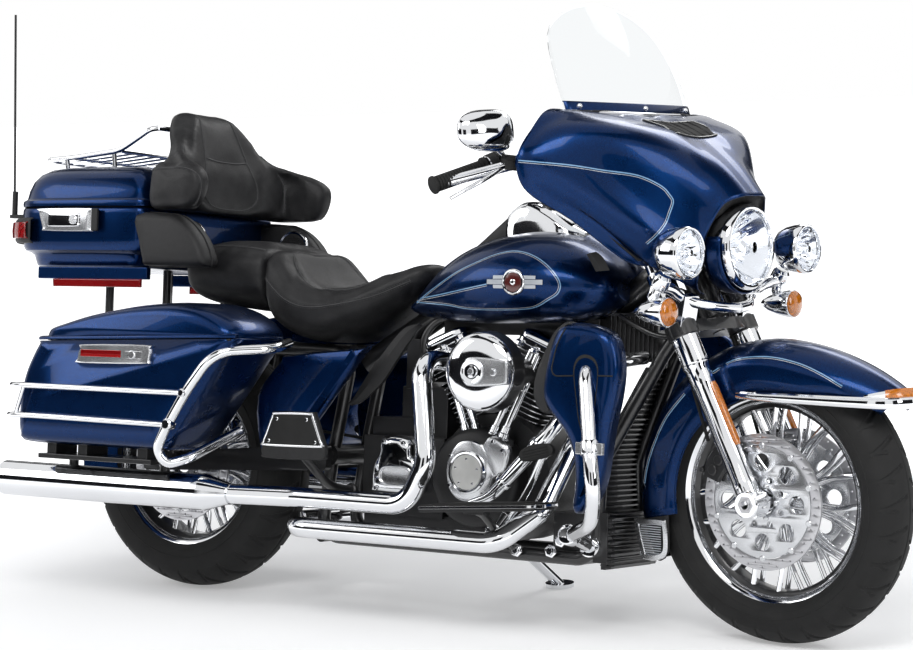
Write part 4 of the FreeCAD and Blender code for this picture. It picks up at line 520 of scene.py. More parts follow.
# Finish of each CAD node that stays in view
finishes = {
    "tyre": "front_tyre rear_tyre",
    "chrome": (
        "front_rim rear_rim fork fender_trim lamp_housings handlebar hand_controls mirrors engine_covers "
        "primary_cover air_cleaner exhausts console bag_guards luggage_rack engine_guard foot_controls "
        "side_stand"
    ),
    "disc": "front_discs rear_disc front_axle rear_axle",
    "blue": (
        "front_fender rear_fender fairing fuel_tank side_covers saddlebags bag_lid_left bag_lid_right "
        "top_box_body top_box_lid lower_fairings"
    ),
    "black": "brake_calipers frame swingarm rear_shocks oil_cooler",
    "plastic": "instrument_panel speaker_pods footboards plate_holder antenna", "screen": "windscreen",
    "lamp": "lamp_lenses", "amber": "signal_lenses", "leather": "seat backrest", "red": "tail_lamps",
    "rubber": "grips drive_belt brake_lines", "dark": "engine_case", "fins": "cylinders",
}
for finish, nodes in finishes.items():
    for node in nodes.split():
        dress(node, finish)


# Flat plates with holes
def ring_points(radius, count=48, centre=(0, 0), squash=1.0):
    return [
        (
            centre[0] + radius * math.cos(2 * math.pi * k / count),
            centre[1] + radius * squash * math.sin(2 * math.pi * k / count)
        )
        for k in range(count)
    ]


def holed(loops, thick, edge=0.3):
    """Flat plate in the x-z plane from an outline and its holes."""
    data = bpy.data.curves.new("plate", "CURVE")
    data.dimensions, data.fill_mode = "2D", "BOTH"
    data.extrude, data.bevel_depth, data.bevel_resolution = thick / 2 - edge, edge, 1
    for loop in loops:
        line = data.splines.new("POLY")
        line.points.add(len(loop) - 1)
        for spot, (x, z) in zip(line.points, loop):
            spot.co = (x, z, 0, 1)
        line.use_cyclic_u = True
    holder = bpy.data.objects.new("plate", data)
    scene.collection.objects.link(holder)
    bpy.context.view_layer.update()
    mesh = bpy.data.meshes.new_from_object(holder.evaluated_get(bpy.context.evaluated_depsgraph_get()))
    verts = [Vector((v.co.x, v.co.z, v.co.y)) for v in mesh.vertices]
    faces = [list(p.vertices) for p in mesh.polygons]
    bpy.data.objects.remove(holder)
    bpy.data.curves.remove(data)
    bpy.data.meshes.remove(mesh)
    return verts, faces


def around(part, centre, count, first=0.0):
    """Copies of a part turned about the y axis through centre."""
    about = Matrix.Translation(centre)
    return joined(
        *[
            moved(
                part,
                about @ Matrix.Rotation(math.radians(first + 360 * k / count), 4, "Y") @ about.inverted()
            )
            for k in range(count)
        ]
    )


# Tyres with their tread cut in
def tyre(name, node, centre, half, crown, bead_radius, bead_half, where, grooves):
    top = tyre_radius - crown
    edge = math.asin(min(0.97, (half - 3) / crown))
    side = [
        (bead_radius, -bead_half), (bead_radius + 7, -bead_half - 7), (bead_radius + 20, -half * 0.90),
        (bead_radius + 36, -half * 0.985)
    ]
    side += [(top + crown * math.cos(edge) - 14, -half + 0.5)]
    count = 48
    crown_line = [
        (top + crown * math.cos(edge * (2 * k / count - 1)), crown * math.sin(edge * (2 * k / count - 1)))
        for k in range(count + 1)
    ]
    profile = side + crown_line + [(r, -y) for r, y in reversed(side)]
    steps = 840
    rings = []
    for radius, along in profile:
        ring = []
        t = abs(along) / half
        swing = 1 if along >= 0 else -1
        for k in range(steps):
            share = k / steps
            depth = 0.0
            if radius > top + crown * math.cos(edge) - 10:
                phase = (share * grooves + t * 0.55 + (0.5 if swing > 0 else 0)) % 1
                if 0.10 < t < 0.93 and abs(phase - 0.5) < 0.075:
                    depth = 3.4
                phase = (share * grooves - t * 0.30 + (0.25 if swing > 0 else 0.75)) % 1
                if 0.50 < t < 0.98 and abs(phase - 0.5) < 0.055:
                    depth = 2.8
                if t < 0.03:
                    depth = 2.5
            a = 2 * math.pi * share
            r = radius - depth
            ring.append((centre.x + r * math.cos(a), along, centre.z + r * math.sin(a)))
        rings.append(ring)
    part = loft(rings, caps=False)
    ribs = [
        lathe(
            [(r - 0.6, s * y), (r + 0.2, s * (y + 0.9)), (r + 1.2, s * (y + 0.9)), (r + 2, s * y)], 120,
            centre=centre
        )
        for s in (-1, 1) for r, y in ((bead_radius + 21, half * 0.90), (bead_radius + 37, half * 0.985))
    ]
    tube_in = lathe(
        [(bead_radius, -bead_half), (bead_radius - 3, 0), (bead_radius, bead_half)], 120, centre=centre
    )
    return add(name, joined(part, tube_in, *ribs), where, "tyre", node)


# Rims: chrome lips, a stepped barrel in black that is a painted reflection, and split spokes
def rim(name, node, centre, bead_radius, bead_half, hub_half, where, extra=()):
    r, h = bead_radius, bead_half
    lips = []
    for side in (-1, 1):
        lip = [
            (r + 5, h + 5), (r + 9, h + 4), (r + 10, h + 1), (r + 9, h - 3), (r + 1, h - 5),
            (r - 3, h - 12), (r - 9, h - 14), (r - 8, h - 5), (r - 3, h + 1)
        ]
        lips.append(lathe([(radius, side * y) for radius, y in lip], 144, closed=True, centre=centre))
    add(name + "_lips", joined(*lips), where, "chrome", node)
    well = [
        (r - 4, h - 11), (r - 13, h * 0.55), (r - 15, h * 0.3), (r - 15, -h * 0.3), (r - 13, -h * 0.55),
        (r - 4, 11 - h), (r - 10, 12 - h), (r - 19, -h * 0.55), (r - 21, -h * 0.3), (r - 21, h * 0.3),
        (r - 19, h * 0.55), (r - 10, h - 12)
    ]
    # The barrel's black stands for the dark that its chrome reflects: a painted reflection
    add(name + "_barrel", lathe(well, 144, closed=True, centre=centre), where, "black", node)
    hub = [
        (16, -hub_half), (36, -hub_half), (40, -hub_half + 3), (40, -hub_half + 16), (30, -hub_half + 24),
        (27, -12), (46, -8), (46, 8), (27, 12), (30, hub_half - 24), (40, hub_half - 16),
        (40, hub_half - 3), (36, hub_half), (16, hub_half)
    ]
    spokes = []
    for way in (-1, 1):
        for low, high in ((-0.30, -0.46), (0.30, 0.46)):
            path = []
            for radius, deg in ((42, 3.0), (90, 3.2), (r * 0.66, 4.6), (r - 17, 8.6)):
                along = low + (high - low) * (radius - 42) / (r - 59)
                path.append(
                    Vector(
                        (
                            radius * math.cos(math.radians(deg * way)), along * h,
                            radius * math.sin(math.radians(deg * way))
                        )
                    )
                )
            spokes.append(
                moved(
                    tube(
                        smooth_line(path, 3), 4.6, bend=0, sides=10, squash=1.5,
                        widths=[7.0, 4.4, 4.0, 4.6]
                    ),
                    Matrix.Translation(centre)
                )
            )
    knots = [
        moved(
            tube([(60, s * h * 0.32, 0), (96, s * h * 0.36, 0)], 5.5, bend=0, sides=10),
            Matrix.Translation(centre)
        )
        for s in (-1, 1)
    ]
    parts = [lathe(hub, 64, closed=True, centre=centre), around(joined(*spokes, *knots), centre, 10, 9)]
    return add(name + "_spokes", joined(*parts, *extra), where, "chrome", node)


# Drilled floating discs on their carriers
def brake_disc(name, node, centre, y, outer, where, side):
    turn_to = Matrix.Translation((centre.x, y, centre.z))
    drill = []
    for k in range(24):
        for radius, lag in ((outer - 7, 0), (outer - 16, 7.5)):
            a = math.radians(k * 15 + lag)
            drill.append(ring_points(2.6, 10, (radius * math.cos(a), radius * math.sin(a))))
    band = moved(holed([ring_points(outer, 144), ring_points(outer - 24, 144)] + drill, 5.0, 0.4), turn_to)
    windows = [
        ring_points(20.0, 32, (88 * math.cos(2 * math.pi * k / 8), 88 * math.sin(2 * math.pi * k / 8)))
        for k in range(8)
    ]
    spare = [
        ring_points(
            8.0, 20,
            (52 * math.cos(2 * math.pi * (k + 0.5) / 8), 52 * math.sin(2 * math.pi * (k + 0.5) / 8))
        )
        for k in range(8)
    ]
    middle = moved(
        holed([ring_points(outer - 27, 144), ring_points(31, 64)] + windows + spare, 6.0, 0.8), turn_to
    )
    buttons = []
    for k in range(10):
        a = math.radians(k * 36 + 18)
        spot = (centre.x + (outer - 25.5) * math.cos(a), y, centre.z + (outer - 25.5) * math.sin(a))
        buttons.append(
            lathe(
                [(0.5, -4.6), (5.5, -4.6), (7.0, -3.4), (7.0, 3.4), (5.5, 4.6), (0.5, 4.6)], 20,
                centre=spot
            )
        )
    bolts = []
    for k in range(5):
        a = math.radians(k * 72)
        spot = (centre.x + 36 * math.cos(a), y + side * 3.2, centre.z + 36 * math.sin(a))
        bolts.append(
            lathe(
                [(0.4, -side * 2), (6, -side * 2), (6, side * 3), (4, side * 4.5), (0.4, side * 4.5)], 16,
                centre=spot
            )
        )
    add(name + "_band", band, where, "disc", node, flat=False)
    return add(name + "_carrier", joined(middle, *buttons, *bolts), where, "alloy", node, flat=False)


tyre("front_tyre_tread", "front_tyre", front_axle, 65.5, front_crown, 222.0, 40.0, front_wheel, 30)
tyre("rear_tyre_tread", "rear_tyre", rear_axle, 87.0, rear_crown, 206.0, 66.0, rear_wheel, 28)
rim("front_rim_cast", "front_rim", front_axle, 222.0, 40.0, 74.0, front_wheel)
pulley = lathe(
    [(60, 86), (108, 86), (112, 88), (112, 121), (108, 121), (100, 117), (62, 112), (60, 100)], 96,
    closed=True, centre=rear_axle
)
pulley_web = around(moved(block(40, 66, 84, 104, -11, 11), Matrix.Translation(rear_axle)), rear_axle, 5)
teeth = around(moved(block(110.5, 113, 90, 119, -2.4, 2.4), Matrix.Translation(rear_axle)), rear_axle, 70)
rim("rear_rim_cast", "rear_rim", rear_axle, 206.0, 66.0, 78.0, rear_wheel, [pulley, pulley_web, teeth])
for disc_side, label in ((-1, "right"), (1, "left")):
    brake_disc(
        "front_disc_" + label, "front_discs", front_axle, disc_side * 77.5, 150.0, front_wheel, disc_side
    )
brake_disc("rear_disc_face", "rear_disc", rear_axle, -82.5, 150.0, rear_wheel, -1)


# Axles with nuts
def axle_ends(name, node, centre, reach, where):
    bar = lathe([(9, -reach), (12.5, -reach), (12.5, reach), (9, reach)], 32, closed=True, centre=centre)
    nuts = []
    for side in (-1, 1):
        six = [
            (
                centre.x + 20 * math.cos(math.radians(60 * k)),
                centre.z + 20 * math.sin(math.radians(60 * k))
            )
            for k in range(6)
        ]
        low, high = sorted((side * (reach - 3), side * (reach - 17)))
        hexagon = [[(x, y, z) for x, z in six] for y in (low, high)]
        inner = [
            [(centre.x + (x - centre.x) * 0.62, y, centre.z + (z - centre.z) * 0.62) for x, z in six]
            for y in (low, high)
        ]
        nuts.append(loft([inner[0], hexagon[0], hexagon[1], inner[1]], caps=False))
    return add(name, joined(bar, *nuts), where, "disc", node, bevel=0.8)


axle_ends("front_axle_nuts", "front_axle", front_axle, 150.0, fork)
axle_ends("rear_axle_nuts", "rear_axle", rear_axle, 160.0, chassis)


# Fork legs
def on_fork(s, fore=0.0, y=0.0):
    return front_axle + fork_up * s + fork_fore * fore + across * y


leg_parts, cover_parts, reflector_parts = [], [], []
for side in (-1, 1):
    y = side * leg_y
    low, high = on_fork(-3, 0, y), on_fork(332, 0, y)
    leg_parts.append(
        turned_on(
            low, high,
            [
                (0.0, 18), (0.01, 25), (0.12, 26.0), (0.16, 26.0), (0.17, 25.2), (0.84, 25.2),
                (0.85, 26.5), (0.90, 27.5), (0.97, 27.5), (0.985, 30.5), (1.0, 30.5)
            ],
            40
        )
    )
    boss = (front_axle.x, y, 0)
    leg_parts.append(
        lathe(
            [(12.6, -28), (27, -28), (30, -25), (30, 25), (27, 28), (12.6, 28)], 48, closed=True,
            centre=boss
        )
    )
    leg_parts.append(tube([on_fork(-28, 6, y - 18), on_fork(-28, 6, y + 18)], 6, bend=0))
    cover_parts.append(
        turned_on(high, on_fork(556, 0, y), [(0.0, 29), (0.02, 30.5), (0.98, 30.5), (1.0, 29)], 40)
    )
    cover_parts.append(
        turned_on(on_fork(556, 0, y), on_fork(668, 0, y), [(0.0, 24), (0.97, 24), (1.0, 21)], 32)
    )
    shell = on_fork(200, 27.0, y)
    glass_rings = []
    for share in (0, 0.06, 0.5, 0.94, 1):
        width = 9.5 if 0 < share < 1 else 6.0
        middle = on_fork(130 + 150 * share, 25.6, y + side * 3)
        out = Vector((fork_fore.x, side * 0.35, fork_fore.z)).normalized()
        lateral = out.cross(fork_up).normalized()
        glass_rings.append(
            [
                middle - out * 4 - lateral * width, middle + out * 1.5 - lateral * width,
                middle + out * 4.5 - lateral * width * 0.6, middle + out * 5.5,
                middle + out * 4.5 + lateral * width * 0.6, middle + out * 1.5 + lateral * width,
                middle - out * 4 + lateral * width
            ]
        )
    reflector_parts.append(loft(glass_rings))
add("fork_sliders", joined(*leg_parts), fork, "chrome", "fork")
add("fork_covers", joined(*cover_parts), fork, "chrome", "fork")
add("fork_reflectors", joined(*reflector_parts), fork, "amber", "fork", bevel=0)
clamp_parts = []
for place_at in (400.0, 640.0):
    reach = 148.0
    low = on_fork(place_at, 0, 0)
    outline_pts = [
        (-reach, -24), (-reach, 6), (-reach + 10, 14), (-80, 32), (80, 32), (reach - 10, 14), (reach, 6),
        (reach, -24), (reach - 12, -31), (104, -31), (74, -16), (-74, -16), (-104, -31),
        (-reach + 12, -31)
    ]
    rings = [[low + across * a + fork_fore * b + fork_up * c for a, b in outline_pts] for c in (0, 28)]
    clamp_parts.append(loft(rings))
    for side in (-1, 1):
        clamp_parts.append(
            turned_on(
                on_fork(place_at - 3, 0, side * leg_y), on_fork(place_at + 31, 0, side * leg_y),
                [(0, 33), (0.06, 36), (0.94, 36), (1, 33)], 40
            )
        )
clamp_parts.append(
    turned_on(
        on_fork(398, fork_lag), on_fork(672, fork_lag), [(0, 15), (0.97, 15), (0.97, 20), (1, 18)], 32
    )
)
for side in (-1, 1):
    root = on_fork(654, 0, side * 90)
    clamp_parts.append(
        tube([root, (463, root.y, root.z), (463, root.y, 660), (450, root.y, 660)], 8, bend=14)
    )
    clamp_parts.append(tube([on_fork(262, 0, side * leg_y), on_fork(262, 0, side * 89)], 11, bend=0))
add("fork_clamps", joined(*clamp_parts), fork, "black", "fork", bevel=1.5)


# Front calipers: two halves, pads, pins and a bleed screw
def caliper(name, side):
    turn_centre = front_axle
    parts = []
    y = side * 77.5
    first, last = 118, 160
    for low, high in ((y - 20, y - 5), (y + 5, y + 20)):
        rings = []
        for k in range(9):
            a = math.radians(first + (last - first) * k / 8)
            grow = 8 * math.sin(math.pi * k / 8)
            inner, outer = 112 - grow * 0.2, 156 + grow
            spot = [
                (inner, low), (inner - 3, (low + high) / 2), (inner, high), (outer - 6, high),
                (outer, (low + high) / 2), (outer - 6, low)
            ]
            rings.append([(turn_centre.x + r * math.cos(a), yy, r * math.sin(a)) for r, yy in spot])
        parts.append(loft(rings))
    rings = []
    for k in range(9):
        a = math.radians(first + 2 + (last - first - 4) * k / 8)
        rings.append(
            [
                (turn_centre.x + r * math.cos(a), yy, r * math.sin(a)) for r,
                yy in ((154, y - 19), (154, y + 19), (163, y + 14), (163, y - 14))
            ]
        )
    parts.append(loft(rings))
    for a_deg in (127, 139, 151):
        a = math.radians(a_deg)
        spot = (turn_centre.x + 134 * math.cos(a), y, 134 * math.sin(a))
        parts.append(
            lathe([(0.5, side * 24), (10, side * 24), (12, side * 22), (12, side * 16)], 28, centre=spot)
        )
    for a_deg in (122, 156):
        a = math.radians(a_deg)
        spot = (turn_centre.x + 158 * math.cos(a), y, 158 * math.sin(a))
        parts.append(
            lathe(
                [(0.5, side * 26), (5, side * 26), (6.5, side * 24), (6.5, -side * 22)], 18, centre=spot
            )
        )
    return add(name, joined(*parts), fork, "black", "brake_calipers", bevel=1.2)


caliper("front_caliper_right", -1)
caliper("front_caliper_left", 1)


# Lines drawn on a finished surface, placed from the photograph
def view_ray(px, py):
    local = ahead * focal_px + cam_right * (px - centre_px[0]) + cam_up * (centre_px[1] - py)
    return BIKE @ cam_at, (parked.to_3x3() @ local).normalized()


def tree_of(obj):
    mesh = obj.evaluated_get(bpy.context.evaluated_depsgraph_get()).to_mesh()
    return BVHTree.FromPolygons(
        [obj.matrix_world @ v.co for v in mesh.vertices], [list(f.vertices) for f in mesh.polygons]
    )


def trace(pixels, target, where, steps=8):
    """Photo points on the target's surface, as points of the machine."""
    tree = tree_of(target)
    out = []
    for px, py, _ in smooth_line([(a, b, 0) for a, b in pixels], steps):
        origin, direction = view_ray(px, py)
        spot, normal, index, distance = tree.ray_cast(origin, direction)
        if spot:
            out.append(where[0].inverted() @ spot)
    return out


def stripe(name, points, target, where, material, width=3.0, shift_by=0.0, lift=0.5, mirror=False):
    """Narrow painted line laid on the target's surface."""
    tree = tree_of(target)
    place = where[0]
    row_points = []
    for p in points:
        q = place @ (Vector((p[0], -p[1], p[2])) if mirror else Vector(p))
        spot, normal, index, distance = tree.find_nearest(q)
        if spot and distance < 0.03:
            if normal.dot(spot - place @ Vector((front_x * 0.2, 0, 250))) < 0:
                normal = -normal
            row_points.append((spot, normal))
    verts, faces = [], []
    for i, (spot, normal) in enumerate(row_points):
        along = row_points[min(i + 1, len(row_points) - 1)][0] - row_points[max(i - 1, 0)][0]
        side = along.cross(normal).normalized() * (-1 if mirror else 1)
        middle = spot + side * shift_by * 0.001 + normal * lift * 0.001
        verts += [middle - side * width * 0.0005, middle + side * width * 0.0005]
        if i:
            faces.append([2 * i - 2, 2 * i - 1, 2 * i + 1, 2 * i])
    inverse = place.inverted()
    return add(name, ([inverse @ v for v in verts], faces), where, material)


def twin_stripe(name, points, target, where, other=None, gap=4.2):
    for label, mirror in (("right", False), ("left", True)):
        on = (other or target) if mirror else target
        stripe(name + "_blue_" + label, points, on, where, "stripe", 2.6, 0, mirror=mirror)
        stripe(name + "_silver_" + label, points, on, where, "silver", 1.2, gap, mirror=mirror)


# Batwing fairing: rows from its edge over the crest to the lamp opening
def low(x, y, z):
    return (x, y, z - tyre_radius)


half_rows = [
    [(445, 0, 1181), (505, 0, 1163), (585, 0, 1130), (680, 0, 1064), (747, 0, 991)],
    [(443, -60, 1185), (505, -55, 1165), (588, -50, 1131), (680, -45, 1064), (745, -42, 990)],
    [(432, -130, 1185), (505, -112, 1166), (600, -97, 1129), (676, -84, 1054), (722, -80, 974)],
    [(405, -225, 1188), (484, -205, 1174), (592, -178, 1126), (668, -122, 1030), (705, -100, 938)],
    [(401, -300, 1187), (446, -282, 1176), (552, -258, 1128), (645, -160, 1000), (690, -108, 900)],
    [(402, -352, 1150), (416, -344, 1150), (498, -326, 1114), (620, -200, 958), (680, -108, 862)],
    [(398, -402, 1086), (404, -396, 1092), (464, -368, 1066), (612, -222, 918), (668, -102, 828)],
    [(401, -402, 1035), (412, -394, 1041), (468, -356, 1020), (594, -224, 892), (655, -90, 800)],
    [(421, -378, 995), (436, -368, 1002), (488, -326, 978), (588, -212, 868), (645, -75, 783)],
    [(480, -318, 943), (492, -309, 946), (526, -272, 928), (590, -196, 850), (642, -63, 776)],
    [(552, -230, 856), (557, -222, 860), (573, -202, 853), (606, -165, 830), (640, -55, 772)],
    [(578, -176, 838), (584, -167, 837), (600, -146, 829), (627, -110, 809), (638, -45, 770)],
]
left_rows = [[low(x, -y, z) for x, y, z in row] for row in reversed(half_rows[1:])]
right_rows = [[low(*p) for p in row] for row in half_rows]
shell = surface(left_rows + right_rows, 6, 7)
fairing_piece = add("fairing_shell", shell, fork, "blue", "fairing", thick=4.0, offset=-1)
# lining of the lamp opening, and a dark liner behind the shell
arch = [row[4] for row in left_rows + right_rows]
liner_rows = []
for x, y, z in smooth_line(arch, 4):
    out = Vector((0, y, z - (876 - tyre_radius)))
    ring_spot = out.normalized() * 96
    liner_rows.append(
        [
            (x - 1, y * 0.995, z - 0.5), (x - 14, y * 0.97, z - 2),
            (min(700, x - 24), ring_spot.y, 556 + ring_spot.z),
            (min(650, x - 45), ring_spot.y * 0.95, 556 + ring_spot.z * 0.95)
        ]
    )
add("fairing_lamp_liner", surface(liner_rows, 1, 3), fork, "plastic", "fairing", thick=1.5)
edge_line = [row[0] for row in left_rows + right_rows]
edge_in = []
for p in smooth_line(edge_line, 4):
    edge_in.append(
        [
            (p[0] + 1, p[1], p[2]), (p[0] - 3, p[1] * 0.995, p[2] - 2),
            (p[0] + 1, p[1] * 0.975, (p[2] - 700) * 0.975 + 700)
        ]
    )
add("fairing_edge_roll", surface(edge_in, 1, 2), fork, "blue", "fairing", thick=1.5)

# air slot with its louvres
slot_rows = []
for x, y, z in ((540, -96, 1156), (545, -50, 1157), (547, 0, 1157.5), (545, 50, 1157), (540, 96, 1156)):
    slot_rows.append([low(x - 26, y, z + 9.5), low(x, y * 0.98, z - 0.5), low(x + 54, y * 0.78, z - 27.0)])
tree = tree_of(fairing_piece)
def drop_on(rows, lift):
    out = []
    for row in rows:
        line = []
        for p in row:
            spot, normal, index, distance = tree.find_nearest(FORK @ Vector(p))
            if normal.z < 0:
                normal = -normal
            line.append(FORK.inverted() @ (spot + normal * lift * 0.001))
        out.append(line)
    return out
slot_fine = [smooth_line(row, 5) for row in slot_rows]
slot_fine = [
    list(r)
    for r in zip(*[smooth_line([row[k] for row in slot_fine], 6) for k in range(len(slot_fine[0]))])
]
# The slot's opening is a near-black sheet laid on the shell: painted shade inside the vent
add(
    "air_slot_shade_sheet", loft(drop_on(slot_fine, 0.8), closed=False, caps=False), fork, "black_and_shade", "fairing",
    thick=0.6, offset=1
)
rim_line = [row[0] for row in slot_fine] + slot_fine[-1][1:] + [
    row[-1] for row in reversed(slot_fine[:-1])
] + list(reversed(slot_fine[0][1:-1]))
rim_points = [p for line in drop_on([rim_line], 1.4) for p in line]

def loop_tube(points, radius, sides=8):
    rings = []
    count = len(points)
    for i in range(count):
        along = (points[(i + 1) % count] - points[i - 1]).normalized()
        side = along.cross(Vector((0.3, 0.2, 1))).normalized()
        other = along.cross(side)
        rings.append(
            [
                points[i] + side * (
                    radius * math.cos(2 * math.pi * k / sides)
                ) + other * (radius * math.sin(2 * math.pi * k / sides))
                for k in range(sides)
            ]
        )
    return loft(rings + [rings[0]], caps=False)
add("air_slot_rim", loop_tube(rim_points, 2.6), fork, "black", "fairing")
blades = []
for k in (-2, -1, 0, 1, 2):
    blade = [low(520, k * 34, 1167), low(545, k * 33, 1156), low(594, k * 28, 1132)]
    blade = drop_on([blade], 2.0)[0]
    blades.append(tube(blade, 2.2, bend=10, sides=8))
add("air_slot_blades", joined(*blades), fork, "plastic", "fairing")

# Windscreen, its band, strip and screws
def screen_point(h, share, lift=0.0, grow=0.0):
    spots = [
        (0.0, 238), (0.25, 240), (0.50, 232), (0.68, 214), (0.81, 184), (0.90, 140), (0.96, 88), (1.0, 22)
    ]
    for (h0, w0), (h1, w1) in zip(spots, spots[1:]):
        if h0 <= h <= h1 or h < 0:
            half_wide = w0 + (w1 - w0) * max(0, h - h0) / (h1 - h0)
            break
    half_wide += grow
    y = half_wide * share
    x = 445 - 60 * h - 75 * h * h - 43 * (y / 235) ** 2
    z = 1184 + 256 * h + 3 * (y / 235) ** 2 * (1 - h)
    return Vector(low(x + lift, y, z))


levels = [
    0, 0.08, 0.16, 0.25, 0.35, 0.45, 0.55, 0.62, 0.68, 0.74, 0.79, 0.84, 0.88, 0.915, 0.94, 0.96, 0.975,
    0.987, 0.996, 1.0
]
screen_rows = [[screen_point(h, s / 14) for s in range(-14, 15)] for h in levels]
add(
    "windscreen_sheet", loft(screen_rows, closed=False, caps=False), fork, "screen", "windscreen",
    thick=4.0, offset=0
)
band_rows = [
    [screen_point(h, s / 14, lift, 3) for s in range(-14, 15)] for h,
    lift in ((-0.02, 6), (0.0, 7), (0.07, 6.5), (0.085, 5), (0.08, 2.4))
]
add("windscreen_band", loft(band_rows, closed=False, caps=False), fork, "blue", "fairing", thick=1.5)
strip_line = [screen_point(-0.015, s / 14, 10, 6) for s in range(-14, 15)]
add("windscreen_strip", tube(strip_line, 3.2, bend=0, sides=12, squash=1.6), fork, "chrome", "fairing")
screws = []
for s in (-0.86, 0.0, 0.86):
    spot = screen_point(0.04, s, 7.0)
    screws.append(
        turned_on(
            spot - Vector((4, 0, 1.5)), spot + Vector((6, 0, 2.2)),
            [(0, 6.5), (0.5, 6.5), (0.7, 5.8), (0.92, 4.2), (0.93, 2.4), (0.8, 2.2)], 20
        )
    )
add("windscreen_screws", joined(*screws), fork, "chrome", "fairing")


# Lamps
def lamp(name, x, y, z, radius, depth):
    back, front = Vector((x - depth, y, z)), Vector((x, y, z))
    bowl = [
        (0.0, radius * 0.10), (0.03, radius * 0.34), (0.10, radius * 0.56), (0.24, radius * 0.77),
        (0.45, radius * 0.91), (0.70, radius * 0.975), (0.86, radius * 0.985), (0.87, radius * 1.0),
        (0.97, radius * 1.0), (1.03, radius * 0.97), (1.06, radius * 0.93), (1.05, radius * 0.885),
        (1.0, radius * 0.875), (0.94, radius * 0.87)
    ]
    verts, faces = turned_on(back, front, bowl, 72)
    add(name + "_bowl", (verts, faces[:-1]), fork, "chrome", "lamp_housings")
    rings = []
    for k in range(14):
        share = k / 13
        r = radius * 0.87 * (0.12 + 0.88 * share)
        deep = depth * 0.52 * (1 - share ** 2)
        ring = []
        for n in range(96):
            a = 2 * math.pi * n / 96
            flute = 1.3 * math.sin(a * 12) * math.sin(math.pi * share) + (
                0.8 if (n // 4 + k // 3) % 2 else 0
            )
            ring.append((x - 7 - deep + flute, y + r * math.cos(a), z + r * math.sin(a)))
        rings.append(ring)
    add(name + "_reflector", loft(rings, caps=False), fork, "mirror", "lamp_housings")
    bulb = turned_on(
        (x - depth * 0.5, y, z), (x - 12, y, z),
        [
            (0, radius * 0.13), (0.5, radius * 0.13), (0.6, radius * 0.17), (0.85, radius * 0.16),
            (1, radius * 0.07)
        ],
        32
    )
    bar = rod((x - 22, y - radius * 0.8, z), (x - 22, y + radius * 0.8, z), radius * 0.035, 10)
    add(name + "_bulb_cover", joined(bulb, bar), fork, "chrome", "lamp_housings")
    dome = [
        (radius * 0.875 * s, x - 1 + radius * 0.10 * (1 - s * s))
        for s in (1.0, 0.97, 0.9, 0.75, 0.5, 0.25, 0.03)
    ]
    rings = [
        [
            (deep, y + r * math.cos(2 * math.pi * n / 64), z + r * math.sin(2 * math.pi * n / 64))
            for n in range(64)
        ]
        for r, deep in dome
    ]
    add(name + "_glass", loft(rings, caps=False), fork, "lamp", "lamp_lenses", thick=1.5)


lamp("headlamp", 733, 0, 556, 96, 112)
lamp("spot_right", 733, -235, 548, 58, 82)
lamp("spot_left", 733, 235, 548, 58, 82)
ribs = turned_on((655, 0, 556), (716, 0, 556), [(0, 98.5), (0.9, 103), (1.0, 100)], 72)
bar_parts, amber_parts = [], []
for side in (-1, 1):
    y = side * 250
    bar_parts.append(
        turned_on(
            (598, y, 420), (688, y, 420),
            [(0, 3), (0.08, 10), (0.3, 20), (0.6, 28), (0.85, 32), (0.97, 33), (1.0, 31)], 40
        )
    )
    amber_parts.append(
        turned_on(
            (686, y, 420), (700, y, 420), [(0, 30), (0.3, 30.5), (0.6, 27), (0.85, 18), (1.0, 4)], 40
        )
    )
    bar_parts.append(
        turned_on(
            (640, side * 246, 442), (652, side * 240, 480), [(0, 9), (0.2, 13), (0.8, 13), (1, 10)], 24
        )
    )
    bar_parts.append(
        turned_on(
            (650, side * 236, 470), (668, side * 235, 500), [(0, 17), (0.3, 21), (0.8, 20), (1, 14)], 28
        )
    )
    bar_parts.append(
        tube(
            [
                (655, side * 236, 476), (650, side * 190, 470), (642, side * 150, 452),
                (655, side * 112, 436), (690, side * 60, 424), (700, 0, 420)
            ],
            13, bend=40, sides=20, widths=[15, 13, 12, 12, 12, 12]
        )
    )
    bar_parts.append(
        tube(
            [(648, side * 150, 455), (628, side * 128, 450), (600, side * 118, 470)], 11, bend=20,
            sides=16
        )
    )
    bar_parts.append(
        loft(
            [
                [(590 + a, side * (92 + b), 372 + c) for a, c in ((0, 0), (58, 10), (72, 78), (20, 96))]
                for b in (0, 56)
            ]
        )
    )
add("light_bar", joined(*bar_parts), fork, "chrome", "lamp_housings", bevel=1.0)
add("front_signal_lenses", joined(*amber_parts), fork, "amber", "signal_lenses")
cowl = []
for t in range(-8, 9):
    a = math.radians(t * 13)
    cowl.append(
        [
            (676, 100 * math.sin(a), 556 - 102 * math.cos(a)),
            (712, 104 * math.sin(a), 556 - 106 * math.cos(a)),
            (722, 101 * math.sin(a), 556 - 103 * math.cos(a))
        ]
    )
add("headlamp_cowl", surface(cowl, 2, 3), fork, "blue", "lamp_housings", thick=2.0)


